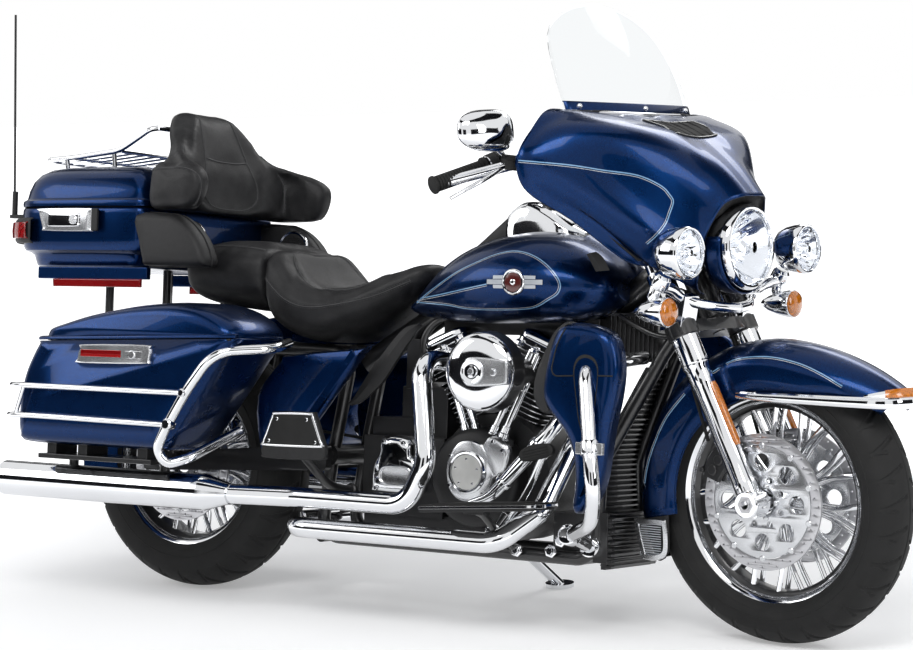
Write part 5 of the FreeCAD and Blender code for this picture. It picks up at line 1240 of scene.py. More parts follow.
# Front fender: a smooth deep skirted shell over the tyre
def fender_row(share, steps=14):
    """Cross section from the right edge over the crown to the left one."""
    degrees = 36 + 168 * share
    a = math.radians(degrees)
    flare = 53.0 * max(0.0, 1 - share * 3.6) ** 2
    narrow = 30.0 * max(0.0, 1 - share * 5) ** 2
    blend_at = min(1.0, max(0.0, (share - 0.34) / 0.08))
    trim_low = 238.0 / max(0.3, math.sin(a))
    low_r = trim_low * (1 - blend_at) + 226.0 * blend_at
    half, top = 87.5 - narrow, 355.0 + flare
    shoulder = top - 46.0
    low_r = min(low_r, shoulder - 3)
    points = [
        (-half, low_r), (-half, low_r + (shoulder - 10 - low_r) * 0.5), (-half, shoulder - 12),
        (-half + 2, shoulder + 2)
    ]
    for k in range(1, steps):
        t = -1 + 2 * k / steps
        points.append((half * 0.955 * t, top - 37 * abs(t) ** 2.3))
    points += [
        (half - 2, shoulder + 2), (half, shoulder - 12), (half, low_r + (shoulder - 10 - low_r) * 0.5),
        (half, low_r)
    ]
    return [(front_axle.x + r * math.cos(a), y, r * math.sin(a)) for y, r in points]


fender_end = 0.92
fender_rows = [fender_row(fender_end * k / 44) for k in range(45)]
front_fender = add(
    "front_fender_shell", loft(fender_rows, closed=False, caps=False), fork, "blue", "front_fender",
    thick=3.0
)
hem_tube = []
for side in (0, -1):
    line = [Vector(row[side]) for row in fender_rows]
    hem_tube.append(
        tube([p + Vector((0, 1.2 if side == 0 else -1.2, 0)) for p in line[18:]], 2.4, bend=0, sides=8)
    )
add("front_fender_hem", joined(*hem_tube), fork, "blue", "front_fender")

# Black tip below the fender's rear edge, with a bright barred frame on each side
tip_rows, tip_floor = [], -153.0
for k in range(11):
    row = fender_row(fender_end - 0.004 + 0.0117 * k)
    tip_rows.append(
        [
            (
                min(566 + 0.2 * k, front_axle.x + (x - front_axle.x) * 0.994), y * 0.985,
                max(tip_floor - 0.2 * k, z * 0.994)
            )
            for x, y, z in row
        ]
    )
add("fender_tip", loft(tip_rows, closed=False, caps=False), fork, "plastic", "front_fender", thick=3.0)


for label, side in (("right", -1), ("left", 1)):
    corners = [
        (474, -66), (488, -60), (550, -58), (562, -66), (565, -120), (556, -143), (530, -151),
        (502, -151), (494, -142)
    ]
    fine_tip = smooth_line([(x, side * 87.5, z) for x, z in corners], 4, closed=True)
    centre = sum(fine_tip, Vector()) / len(fine_tip)
    rings = [
        [centre + (p - centre) * s + Vector((0, side * y, 0)) for p in fine_tip] for s,
        y in ((1.0, -2), (1.01, 1.5), (0.97, 3.6), (0.76, 3.6), (0.72, 1.8), (0.71, -1.5))
    ]
    add("fender_tip_frame_" + label, loft(rings, caps=False), fork, "alloy", "front_fender")
    grille = []
    for k in range(13):
        height = -76 - 5.4 * k
        grille.append(
            tube([(492 - k * 0.3, side * 87.8, height), (546, side * 87.8, height)], 1.3, bend=0, sides=6)
        )
    add("fender_tip_grille_" + label, joined(*grille), fork, "silver", "front_fender")

# Bright rail round the fender's nose, with its amber lens
nose_outline = (
    (755, 90.5), (800, 91.5), (860, 92), (930, 91.5), (1000, 89), (1060, 83), (1100, 74), (1128, 56),
    (1143, 30), (1149, 0)
)
right_line = [(x, -y, 233 - (x - 755) * 0.012) for x, y in nose_outline]
left_line = [(x, -y, z) for x, y, z in reversed(right_line[:-1])]
path = [Vector(p) for p in smooth_line(right_line + left_line, 5)]
rings = []
for i, p in enumerate(path):
    along = (path[min(i + 1, len(path) - 1)] - path[max(i - 1, 0)]).normalized()
    out = along.cross(Vector((0, 0, 1))).normalized()
    share = abs(i / (len(path) - 1) * 2 - 1)
    tall = 7 + 6.5 * (1 - share) ** 0.6
    section = [
        (-2.5, -tall), (1.5, -tall), (4.2, -tall * 0.6), (4.6, 0), (3.2, tall * 0.55), (5.0, tall * 0.7),
        (2.5, tall), (-2.5, tall * 1.05)
    ]
    rings.append([p + out * a + Vector((0, 0, b)) for a, b in section])
add("fender_rail", loft(rings), fork, "chrome", "fender_trim", bevel=0)
cap_rings, lens_rings = [], []
for i, p in enumerate(path):
    share = abs(i / (len(path) - 1) * 2 - 1)
    if share > 0.44:
        continue
    along = (path[i + 1] - path[i - 1]).normalized()
    out = along.cross(Vector((0, 0, 1))).normalized()
    rise = 16 * (1 - (share / 0.44) ** 3)
    cap_rings.append(
        [
            p + out * 2.0 + Vector((0, 0, 12)), p + out * 3.0 + Vector((0, 0, 12 + rise * 0.6)),
            p - out * 2 + Vector((0, 0, 14 + rise)), p - out * 14 + Vector((0, 0, 12 + rise)),
            p - out * 14 + Vector((0, 0, 8))
        ]
    )
    if share < 0.30:
        lens_rings.append(
            [
                p + out * 3.4 + Vector((0, 0, 12)), p + out * 5.4 + Vector((0, 0, 15)),
                p + out * 4.0 + Vector((0, 0, 13 + rise * 0.62)), p - out * 3 + Vector((0, 0, 16 + rise)),
                p - out * 11 + Vector((0, 0, 15 + rise)), p - out * 12 + Vector((0, 0, 10))
            ]
        )
add("fender_lens_cap", loft(cap_rings), fork, "chrome", "fender_trim")
add("fender_lens", loft(lens_rings), fork, "amber", "fender_trim")


# Padded pieces, with stitches and their search for the surface in metres
seam_reach = 0.06
stitch_length = 0.0040
stitch_pitch = 0.0065
pin_reach = 0.007
cloth_frames = 20


def cushion(
    name, part, where, node, seams=(), cap=10.0, voxel=6.0, floor=None, material="leather"
):
    """Closed form filled by a short cloth run that its seams hold down."""
    obj = add(name, part, where, material, node)
    place = where[0]
    remesh = obj.modifiers.new("remesh", "REMESH")
    remesh.mode, remesh.voxel_size = "VOXEL", voxel * 0.001
    baked = bpy.data.meshes.new_from_object(obj.evaluated_get(bpy.context.evaluated_depsgraph_get()))
    obj.modifiers.clear()
    obj.data = baked
    held = KDTree(max(1, sum(len(s) for s in seams)))
    index = 0
    for seam in seams:
        for p in seam:
            held.insert(place @ Vector(p), index)
            index += 1
    held.balance()
    pins = obj.vertex_groups.new(name="held")
    inverse = place.inverted()
    for v in baked.vertices:
        near = held.find(v.co)[2] if index else 1.0
        weight = max(0.0, min(1.0, 1.6 - near / pin_reach))
        if floor is not None and (inverse @ v.co).z < floor:
            weight = 1.0
        if weight > 0:
            pins.add([v.index], weight, "REPLACE")
    cloth = obj.modifiers.new("fill", "CLOTH")
    settings = cloth.settings
    settings.quality, settings.mass = 4, 0.3
    settings.use_pressure, settings.uniform_pressure_force = True, 4.0
    settings.tension_stiffness = settings.compression_stiffness = 12
    settings.shear_stiffness, settings.bending_stiffness = 6, 0.6
    settings.vertex_group_mass = "held"
    settings.effector_weights.gravity = 0
    cloth.collision_settings.use_collision = False
    cloth.point_cache.frame_start, cloth.point_cache.frame_end = 1, cloth_frames
    for step in range(1, cloth_frames + 1):
        scene.frame_set(step)
    filled = obj.evaluated_get(bpy.context.evaluated_depsgraph_get()).to_mesh()
    new_spots = [v.co.copy() for v in filled.vertices]
    obj.modifiers.clear()
    for v, spot in zip(baked.vertices, new_spots):
        step = spot - v.co
        if step.length > cap * 0.001:
            step = step.normalized() * cap * 0.001
        v.co += step
    scene.frame_set(1)
    bm = bmesh.new()
    bm.from_mesh(baked)
    for _ in range(3):
        bmesh.ops.smooth_vert(
            bm, verts=bm.verts, factor=0.5, use_axis_x=True, use_axis_y=True, use_axis_z=True
        )
    bm.to_mesh(baked)
    bm.free()
    obj.data.materials.clear()
    obj.data.materials.append(MAT[material])
    for face in obj.data.polygons:
        face.use_smooth = True
    obj.modifiers.new("smooth", "SUBSURF").levels = 1
    obj.modifiers["smooth"].render_levels = 1
    return obj


def on_surface(points, target, where, lift=0.0, steps=6):
    """The points laid on the target, as (place, normal) in the row frame."""
    tree = tree_of(target)
    out = []
    for p in smooth_line(points, steps):
        spot, normal, _, distance = tree.find_nearest(where[0] @ Vector(p))
        if spot and distance < seam_reach:
            out.append((spot + normal * lift * 0.001, normal))
    return out


def stitching(name, lines, target, where, node=None, rows=(-4.0, 4.0), welt=1.5):
    """A welt along each seam with a row of stitches on each side."""
    verts, faces = [], []
    inverse = where[0].inverted()
    for line in lines:
        spots = on_surface(line, target, where, 0.2)
        if len(spots) < 3:
            continue
        path = [inverse @ s for s, _ in spots]
        if welt:
            more = tube(path, welt, bend=0, sides=6)
            verts, faces = joined((verts, faces), more)
        for row in rows:
            for (a, na), (b, _) in zip(spots, spots[1:]):
                along = b - a
                length = along.length
                if length < 1e-6:
                    continue
                along.normalize()
                side = along.cross(na).normalized()
                travelled = 0.0
                while travelled < length:
                    start = a + along * travelled + side * row * 0.001 + na * 0.0003
                    end = start + along * stitch_length
                    rings = []
                    for spot, r in (
                        (start, 0.0002), (start.lerp(end, 0.2), 0.0006), (start.lerp(end, 0.8), 0.0006),
                        (end, 0.0002)
                    ):
                        rings.append(
                            [
                                inverse @ (spot + side * r + na * 0.0002),
                                inverse @ (spot + na * (0.0002 + r)),
                                inverse @ (spot - side * r + na * 0.0002)
                            ]
                        )
                    verts, faces = joined_fast(verts, faces, loft(rings))
                    travelled += stitch_pitch
    return add(name, (verts, faces), where, "thread")


def joined_fast(verts, faces, part):
    base = len(verts)
    verts += [Vector(v) for v in part[0]]
    faces += [[i + base for i in f] for f in part[1]]
    return verts, faces


# Seat: the rider's bucket and the passenger's pad
def seat_ring(x, half, base, edge, middle, count=36):
    ring = []
    for k in range(count):
        a = 2 * math.pi * k / count
        c, s = math.cos(a), math.sin(a)
        y = half * (abs(c) ** 0.55) * (1 if c > 0 else -1)
        if s >= 0:
            rim_z = edge - (edge - base) * 0.42 * (1 - abs(s) ** 0.62)
            dish = (middle - edge) * max(0.0, 1 - (abs(y) / (half * 0.78)) ** 2.4)
            z = rim_z + dish
        else:
            rim_z = edge - (edge - base) * 0.42
            z = rim_z - (rim_z - base) * (abs(s) ** 0.55)
            y *= 1 - 0.12 * abs(s)
        ring.append(Vector((x, y, z)))
    return ring


def seat_part(stations):
    fine = smooth_line([(x, 0, 0) for x, *_ in stations], 3)
    keys = [smooth_line([(row[i], 0, 0) for row in stations], 3) for i in range(1, 5)]
    return loft(
        [
            seat_ring(p.x, keys[0][i].x, keys[1][i].x, keys[2][i].x, keys[3][i].x) for i,
            p in enumerate(fine)
        ]
    )


rider = seat_part(
    [
        (-96, 40, 484, 498, 503), (-104, 60, 462, 508, 513), (-130, 84, 434, 507, 511),
        (-170, 116, 400, 492, 492), (-215, 148, 372, 472, 464), (-262, 176, 346, 456, 444),
        (-310, 188, 326, 450, 431), (-360, 193, 316, 454, 428), (-405, 194, 318, 478, 444),
        (-440, 192, 326, 514, 482), (-468, 188, 336, 544, 524), (-488, 184, 346, 553, 545),
        (-502, 176, 362, 548, 543)
    ]
)
pillion = seat_part(
    [
        (-509, 176, 392, 546, 541), (-522, 184, 386, 553, 550), (-560, 192, 388, 556, 556),
        (-620, 196, 394, 557, 558), (-690, 196, 404, 555, 557), (-726, 192, 410, 548, 551),
        (-743, 178, 420, 530, 534)
    ]
)


def seat_line(spots, mirror=False):
    return [(x, -y if mirror else y, z) for x, y, z in spots]


bucket = [
    (-200, -92, 486), (-250, -128, 462), (-310, -142, 450), (-370, -144, 455), (-420, -138, 490),
    (-455, -112, 530), (-470, -50, 545), (-470, 50, 545), (-455, 112, 530), (-420, 138, 490),
    (-370, 144, 455), (-310, 142, 450), (-250, 128, 462), (-200, 92, 486), (-180, 40, 492),
    (-180, -40, 492), (-200, -92, 486)
]
dip_line = [(-372, -78, 428), (-380, -40, 426), (-382, 0, 426), (-380, 40, 426), (-372, 78, 428)]
side_line = [
    (-130, -84, 470), (-200, -140, 430), (-280, -182, 408), (-360, -194, 400), (-430, -194, 420),
    (-495, -186, 470)
]
pillion_line = [(-515, -150, 548), (-560, -158, 556), (-640, -160, 558), (-730, -150, 548)]
rider_seams = [
    smooth_line(bucket, 5), smooth_line(dip_line, 5), smooth_line(side_line, 5),
    smooth_line(seat_line(side_line, True), 5)
]
pillion_seams = [smooth_line(pillion_line, 5), smooth_line(seat_line(pillion_line, True), 5)]
rider_seat = cushion("rider_seat", rider, chassis, "seat", rider_seams, 9.0, 6.5, 330)
pillion_seat = cushion("pillion_seat", pillion, chassis, "seat", pillion_seams, 9.0, 7.0, 400)
stitching("rider_seat_seams", [bucket, side_line, seat_line(side_line, True)], rider_seat, chassis)
stitching("pillion_seat_seams", [pillion_line, seat_line(pillion_line, True)], pillion_seat, chassis)


# Backrest with its arms, one padded form
def rest_ring(z, half, tip, thick, rear, front):
    inner = half - thick
    right_half = [
        (rear, 0), (rear, -half * 0.5), (rear + 6, -half * 0.86), (rear + 30, -half),
        (tip - (tip - rear) * 0.35, -half * 1.0), (tip - 14, -half + 3), (tip, -half + thick * 0.5),
        (tip - 12, -inner - 3), (front + (tip - front) * 0.45, -inner + 2), (front + 6, -inner * 0.90),
        (front - 2, -half * 0.42), (front - 5, 0)
    ]
    points = right_half + [(x, -y) for x, y in reversed(right_half[1:-1])]
    return [Vector((p.x, p.y, z)) for p in smooth_line([(x, y, 0) for x, y in points], 3, closed=True)]


rest_levels = [
    (634, 262, -668, 40, -800, -758), (640, 284, -650, 52, -803, -750), (660, 294, -634, 60, -803, -745),
    (700, 296, -624, 63, -803, -743), (732, 292, -636, 60, -803, -746), (752, 272, -672, 54, -805, -752),
    (764, 238, -716, 48, -812, -758), (780, 204, -752, 44, -828, -764), (806, 176, -776, 40, -842, -775),
    (846, 152, -794, 36, -858, -790), (880, 126, -812, 34, -868, -806), (897, 104, -828, 30, -870, -822),
    (905, 70, -842, 24, -864, -840)
]
rest_rings = [rest_ring(*row) for row in rest_levels]
rest_fine = [
    list(r)
    for r in zip(*[smooth_line([ring[j] for ring in rest_rings], 3) for j in range(len(rest_rings[0]))])
]
panel = [
    (-800, -62, 898), (-788, -72, 850), (-772, -82, 800), (-752, -92, 760), (-742, -108, 720),
    (-742, -108, 680), (-748, -70, 655), (-750, 0, 650), (-748, 70, 655), (-742, 108, 680),
    (-742, 108, 720), (-752, 92, 760), (-772, 82, 800), (-788, 72, 850), (-800, 62, 898)
]
fold = [(-762, -82, 778), (-758, -40, 774), (-757, 0, 773), (-758, 40, 774), (-762, 82, 778)]
wing_seam = [(-776, -165, 806), (-758, -190, 770), (-745, -215, 735), (-742, -226, 700), (-748, -222, 660)]
arm_seam = [
    (-800, -294, 742), (-740, -297, 744), (-680, -292, 738), (-640, -284, 722), (-628, -276, 700),
    (-634, -272, 668), (-655, -270, 642)
]
rest_seams = [
    smooth_line(s, 5)
    for s in (panel, fold, wing_seam, seat_line(wing_seam, True), arm_seam, seat_line(arm_seam, True))
]
backrest = cushion("backrest_pad", loft(rest_fine), box_lid, "backrest", rest_seams, 9.0, 7.5)
stitching(
    "backrest_seams", [panel, wing_seam, seat_line(wing_seam, True), arm_seam, seat_line(arm_seam, True)],
    backrest, box_lid
)
stitching("backrest_fold", [fold], backrest, box_lid, rows=(), welt=2.2)


# Top box: tub and lid, both hollow
box_plan = [
    (-809, 0), (-808, -150), (-809, -240), (-818, -272), (-850, -282), (-930, -288), (-1040, -291),
    (-1130, -290), (-1190, -280), (-1230, -252), (-1252, -200), (-1260, -120), (-1262, 0)
]
box_plan = box_plan + [(x, -y) for x, y in reversed(box_plan[1:-1])]


def box_ring(z, inset):
    middle_x = -1035
    ring = []
    for x, y in box_plan:
        sx = (x - middle_x) * (1 - inset / 227) + middle_x
        sy = y * (1 - inset / 291)
        ring.append((sx, sy, z))
    return smooth_line(ring, 4, closed=True)


tub_levels = [
    (489, 60), (489.5, 40), (494, 34), (508, 30), (520, 27), (526, 20), (531, 8), (540, 4), (560, 2),
    (590, 0.6), (625, 0), (634, 0.5), (639.5, 3)
]
tub = loft([box_ring(z, inset) for z, inset in tub_levels], caps=False)
tub[1].append(list(range(len(box_ring(0, 0)))))
add("top_box_tub", tub, chassis, "blue", "top_box_body", thick=4.0, offset=-1)
lid_levels = [
    (641.5, 3), (643, 0.5), (650, -0.5), (657, 1), (661, 7), (664, 9), (684, 13), (708, 22), (728, 38),
    (742, 62), (749, 96), (752, 140), (752.8, 200)
]
lid = loft([box_ring(z, inset) for z, inset in lid_levels], caps=False)
lid[1].append(list(range(len(lid[0]) - len(box_ring(0, 0)), len(lid[0]))))
add("top_box_cover", lid, box_lid, "blue", "top_box_lid", thick=4.0, offset=-1)
add(
    "top_box_seal", tube([p for p in box_ring(640.2, 7)] + [box_ring(640.2, 7)[0]], 2.0, bend=0, sides=6),
    chassis, "rubber", "top_box_body"
)
floor_mat = loft([box_ring(493.5, 44), box_ring(496, 46)])
add("top_box_mat", floor_mat, chassis, "rubber", "top_box_body")


# Speaker pods below the arms, with a grille each
pod_line = [
    (-833, 622), (-740, 623), (-706, 618), (-668, 596), (-634, 562), (-613, 522), (-609, 500),
    (-622, 493), (-700, 492), (-796, 494), (-806, 503), (-822, 560)
]
pod_outline = [(p.x, p.z) for p in smooth_line([(x, 0, z) for x, z in pod_line], 3, closed=True)]
pod_rings = []
for y, inset in ((216, 12), (220, 4), (228, 0), (264, 0), (276, 3), (284, 10), (287, 20)):
    pod_rings.append(
        [
            (-722 + (x + 722) * (1 - inset / 112), y, 558 + (z - 558) * (1 - inset / 65)) for x,
            z in pod_outline
        ]
    )
pair("speaker_pod", loft(pod_rings), chassis, "plastic", node="speaker_pods")
pod_trim = [((-722 + (x + 722) * 1.004), 246, 558 + (z - 558) * 1.006) for x, z in pod_outline]
pair(
    "speaker_pod_piping", loop_tube([Vector(p) for p in pod_trim], 2.4), chassis, "leather",
    node="speaker_pods"
)
grille = moved(
    holed(
        [ring_points(42, 40)] + [
            ring_points(1.9, 6, (a * 6.4 + (b % 2) * 3.2, b * 5.6)) for a in range(-6, 7)
            for b in range(-6, 7) if (a * 6.4) ** 2 + (b * 5.6) ** 2 < 34 ** 2
        ],
        2.0, 0.2
    ),
    at(-700, 213.5, 560)
)
ring_rim = lathe([(41, -4), (46, -5), (48, -2), (48, 4), (41, 4)], 48, closed=True, centre=(-700, 216, 560))
pair("speaker_grille", grille, chassis, "plastic", node="speaker_pods")
pair("speaker_ring", ring_rim, chassis, "chrome", node="speaker_pods")


# Tank: badge, painted lines, and the console on its spine
tank = frame["nodes"]["fuel_tank"]
tank_loop = [
    (416.9, 302.2), (433.1, 288.8), (456.1, 272.5), (477.1, 262), (496.3, 254.3), (515.4, 251.1),
    (532.6, 255.3), (547.9, 265.8), (559.4, 281.1), (558.4, 292.6), (547.9, 300.2), (532.6, 307.9),
    (503.9, 309.8), (469.5, 308.9), (446.5, 305), (416.9, 302.2)
]
twin_stripe("tank_line", trace(tank_loop, tank, chassis), tank, chassis)
twin_stripe(
    "tank_dart", trace([(420.7, 298.3), (440, 294.5), (462, 289.5), (486.7, 284)], tank, chassis), tank,
    chassis
)
badge_spot = trace([(512.5, 282), (513.5, 282), (514.5, 282)], tank, chassis)
badge_at = badge_spot[len(badge_spot) // 2]
badge_out = tree_of(tank).find_nearest(BIKE @ badge_at)[1]
badge_out = (parked.to_3x3().inverted() @ badge_out).normalized()
if badge_out.y > 0:
    badge_out = -badge_out
ring_profile = [
    (0, 30), (0.55, 30.5), (0.85, 29.5), (1.0, 27.5), (0.95, 25.5), (0.8, 24.5), (0.78, 22.5), (0.5, 22)
]
bar_lines = []
for reach_from, reach_to, rise in ((28, 74, 0), (26, 56, 11), (26, 56, -11)):
    for way in (-1, 1):
        bar_lines.append(
            (
                [
                    badge_at + Vector((way * (reach_from + (reach_to - reach_from) * k / 6), 0, rise))
                    for k in range(7)
                ],
                rise, way
            )
        )
for label, matrix in (("right", BIKE), ("left", BIKE @ MIRROR)):
    mount = (matrix, "chassis")
    inward, outward = badge_at - badge_out * 3, badge_at + badge_out * 5
    add("tank_badge_ring_" + label, turned_on(inward, outward, ring_profile, 48), mount, "chrome", bevel=0)
    add(
        "tank_badge_disc_" + label,
        turned_on(
            inward, outward - badge_out * 1, [(0, 24), (0.7, 24), (0.9, 18), (1.0, 8), (1.02, 0.5)], 48
        ),
        mount, "enamel"
    )
    add(
        "tank_badge_boss_" + label,
        turned_on(
            outward - badge_out * 2, outward + badge_out * 1.2, [(0, 7), (0.6, 7), (0.9, 5.5), (1.0, 3)],
            24
        ),
        mount, "chrome"
    )
for n, (line, rise, way) in enumerate(bar_lines):
    for mirror in (False, True):
        stripe(
            "tank_badge_bar_%d_%s" % (n, "left" if mirror else "right"), line, tank, chassis, "silver", 11
            if rise == 0 else 8, 0, 1.8, mirror=mirror
        )


def spine_ring(x, top, half, low):
    right_side = [
        (0, top), (half * 0.55, top - 1.5), (half * 0.88, top - 8), (half, top - 18),
        (half * 1.04, (top + low) / 2), (half * 1.06, low)
    ]
    points = right_side + [(-y, z) for y, z in reversed(right_side[1:])]
    return [Vector((x, y, z)) for y, z in points]


def spine(rows, steps=4):
    rings = [spine_ring(*row) for row in rows]
    fine = [smooth_line([ring[j] for ring in rings], steps) for j in range(len(rings[0]))]
    return loft([list(r) for r in zip(*fine)])


add(
    "console_strap",
    spine(
        [
            (-74, 493, 20, 470), (-60, 504, 26, 474), (-29, 527, 28, 490), (20, 564, 29, 515),
            (70, 604, 31, 540), (112, 637, 33, 560)
        ]
    ),
    chassis, "leather", "console", bevel=1.5
)
add(
    "console_cap",
    spine(
        [
            (103, 630, 34, 556), (112, 641, 37, 558), (130, 654, 39, 560), (150, 662, 40, 562),
            (178, 661, 42, 566), (215, 644, 43, 570), (250, 622, 42, 566), (280, 604, 36, 560),
            (306, 590, 24, 556)
        ]
    ),
    chassis, "chrome", "console"
)
add(
    "console_knob",
    turned_on(
        (196, 0, 648), (203, 0, 668), [(0, 21), (0.25, 21), (0.35, 17), (0.9, 16.5), (1.0, 14)], 32
    ),
    chassis, "black", "console"
)
add(
    "console_knob_bar",
    moved(
        block(-14, 14, -4, 4, 0, 7),
        Matrix.Translation((203, 0, 667)) @ Matrix.Rotation(math.radians(19), 4, "Y")
    ),
    chassis, "chrome", "console", bevel=1.5
)
add(
    "console_flap",
    moved(
        loft(
            [
                [(-34, -24, 0), (34, -24, 0), (34, 24, 0), (-34, 24, 0)],
                [(-32, -22, 3), (32, -22, 3), (32, 22, 3), (-32, 22, 3)]
            ]
        ),
        Matrix.Translation((246, 0, 624.5)) @ Matrix.Rotation(math.radians(28), 4, "Y")
    ),
    chassis, "chrome", "console", bevel=1.2
)
# Short plate of the air deflector on each side of the fork
upper_fin = smooth_line([(450, 0, 550), (464, 0, 542), (477, 0, 528), (488, 0, 508)], 4)
lower_fin = smooth_line([(424, 0, 544), (433, 0, 532), (441, 0, 519), (450, 0, 505)], 4)
pair(
    "air_deflector",
    loft(
        [
            [
                (p.x, 192, p.z), ((p.x + q.x) / 2, 198, (p.z + q.z) / 2), (q.x, 194, q.z),
                ((p.x + q.x) / 2, 186, (p.z + q.z) / 2)
            ]
            for p, q in zip(upper_fin, lower_fin)
        ]
    ),
    fork, "plastic", bevel=0.5
)


# Saddlebags: tub and lid, hollow, parted along a sloping seam
bag_rear_seam, bag_front_seam = (-986.0, 299.0), (-384.0, 317.0)


def seam_z(x):
    return bag_rear_seam[1] + (
        bag_front_seam[1] - bag_rear_seam[1]
    ) * (x - bag_rear_seam[0]) / (bag_front_seam[0] - bag_rear_seam[0])


def half_shell(line, insets, seam_lift, middle):
    """Open shell: the outline's first stretch is the seam and stays on its plane."""
    seam_count = 13
    seam = [
        (bag_rear_seam[0] + (bag_front_seam[0] - bag_rear_seam[0]) * k / (seam_count - 1))
        for k in range(seam_count)
    ]
    rest = [(p.x, p.z) for p in smooth_line([(x, 0, z) for x, z in line], 4)][1:-1]
    rings = []
    for y, inset in insets:
        ring = []
        for x in seam:
            x_in = middle[0] + (x - middle[0]) * (1 - inset / 310)
            ring.append((x_in, y, seam_z(x_in) + seam_lift))
        for x, z in rest:
            ring.append(
                (
                    middle[0] + (x - middle[0]) * (1 - inset / 310), y,
                    middle[1] + (z - middle[1]) * (1 - inset / 125)
                )
            )
        rings.append(ring)
    verts, faces = loft(rings)
    return verts, [f for f in faces if not (len(f) == 4 and all(v % len(rings[0]) < seam_count for v in f))]


tub_line = [
    bag_front_seam, (-394, 300), (-424, 262), (-470, 200), (-522, 132), (-566, 76), (-590, 52),
    (-620, 44), (-820, 44), (-1020, 45), (-1044, 58), (-1050, 90), (-1046, 150), (-1032, 212),
    (-1008, 264), bag_rear_seam
]
lid_line = [
    bag_front_seam, (-384, 330), (-394, 346), (-420, 366), (-470, 388), (-540, 400), (-620, 400),
    (-720, 390), (-840, 368), (-930, 343), (-968, 330), (-980, 318), bag_rear_seam
]
tub_insets = [
    (236, 12), (241, 4), (250, 0), (330, 0), (400, 0), (428, 2), (442, 7), (449, 15), (452, 30), (453, 60)
]
lid_insets = [
    (238, 12), (243, 4), (256, 0), (330, 0), (372, 1), (404, 6), (424, 13), (436, 22), (444, 36),
    (448, 60)
]
pair(
    "saddlebag_tub", half_shell(tub_line, tub_insets, -1.0, (-780, 250)), chassis, "blue",
    node="saddlebags", thick=4, offset=-1
)
for label, matrix, body in (("left", BIKE, "bag_lid_left"), ("right", BIKE @ MIRROR, "bag_lid_right")):
    mount = (matrix, body)
    add(
        "saddlebag_lid_" + label, half_shell(lid_line, lid_insets, 1.0, (-700, 330)), mount, "blue", body,
        thick=4, offset=-1
    )
    lip = []
    for k in range(41):
        x = -990 + 610 * k / 40
        edge = 447.5 - 12 * max(0.0, (abs(x + 685) - 250) / 60) ** 2
        lip.append(
            [
                (x, edge - 8, seam_z(x) + 2), (x, edge + 3.5, seam_z(x) + 1.5),
                (x, edge + 5.0, seam_z(x) + 5), (x, edge + 3, seam_z(x) + 9),
                (x, edge - 8, seam_z(x) + 12)
            ]
        )
    add("saddlebag_lip_" + label, loft(lip), mount, "blue", bevel=1.0)
bag_seal = [(-980 + 590 * k / 30, 446, seam_z(-980 + 590 * k / 30) - 3.0) for k in range(31)]
pair("saddlebag_seal", tube(bag_seal, 2.2, bend=0, sides=8), chassis, "rubber", node="saddlebags")
plate = [
    (-838, 247), (-640, 250), (-622, 258), (-618, 286), (-628, 296), (-824, 293), (-838, 284), (-846, 256)
]
latch_rings = [
    [
        (-736 + (x + 736) * s, y, 271 + (z - 271) * s) for x,
        z in [(p.x, p.z) for p in smooth_line([(a, 0, b) for a, b in plate], 3, closed=True)]
    ]
    for y, s in ((450, 1.0), (459, 1.0), (463, 0.975), (464, 0.93), (463.8, 0.88))
]
pair("bag_latch", loft(latch_rings), chassis, "alloy", node="bag_guards")
pair("bag_latch_reflector", block(-834, -706, 461, 464.5, 263, 281), chassis, "red", bevel=1.5)
rail_tubes = [
    tube(
        [
            (-357, 262, 311), (-337, 345, 296), (-411, 440, 288), (-447, 460, 262), (-508, 464, 184),
            (-570, 460, 92), (-596, 453, 48), (-578, 436, 13), (-542, 400, 28), (-500, 255, 94)
        ],
        12, bend=38, sides=24
    ),
    tube(
        [
            (-506, 464, 185), (-900, 469, 187), (-1012, 468, 187), (-1056, 458, 186), (-1092, 424, 186),
            (-1096, 300, 186)
        ],
        7, bend=22, sides=16
    ),
    tube(
        [
            (-560, 460, 108), (-900, 466, 113), (-1020, 466, 114), (-1066, 456, 112), (-1100, 420, 111),
            (-1102, 300, 111)
        ],
        7, bend=22, sides=16
    ),
    rod((-1010, 468, 186), (-1040, 463, 113), 5.5, 14),
    turned_on((-552, 452, 110), (-552, 478, 110), [(0, 12), (0.1, 14), (0.85, 14), (1, 10)], 28),
    turned_on((-508, 456, 186), (-508, 480, 186), [(0, 9), (0.1, 10), (0.85, 10), (1, 7)], 24)
]
pair("bag_guard_rails", joined(*rail_tubes), chassis, "chrome", node="bag_guards")
support = [
    block(-1000, -640, 300, 420, 8, 20), block(-980, -950, 330, 410, 8, 50),
    block(-880, -850, 330, 410, 8, 50), block(-690, -660, 330, 410, 8, 50),
    rod((-960, 330, 16), (-960, 330, -20), 12, 18), rod((-668, 330, 16), (-668, 330, -20), 12, 18)
]
pair("bag_support", joined(*support), chassis, "black", bevel=2)
pair(
    "bag_latch_lock",
    joined(
        turned_on((-672, 460, 271), (-672, 468, 271), [(0, 11), (0.6, 11), (1, 9)], 28),
        moved(block(-26, 26, 0, 4, -9, 9), at(-668, 460, 271))
    ),
    chassis, "alloy", bevel=1
)


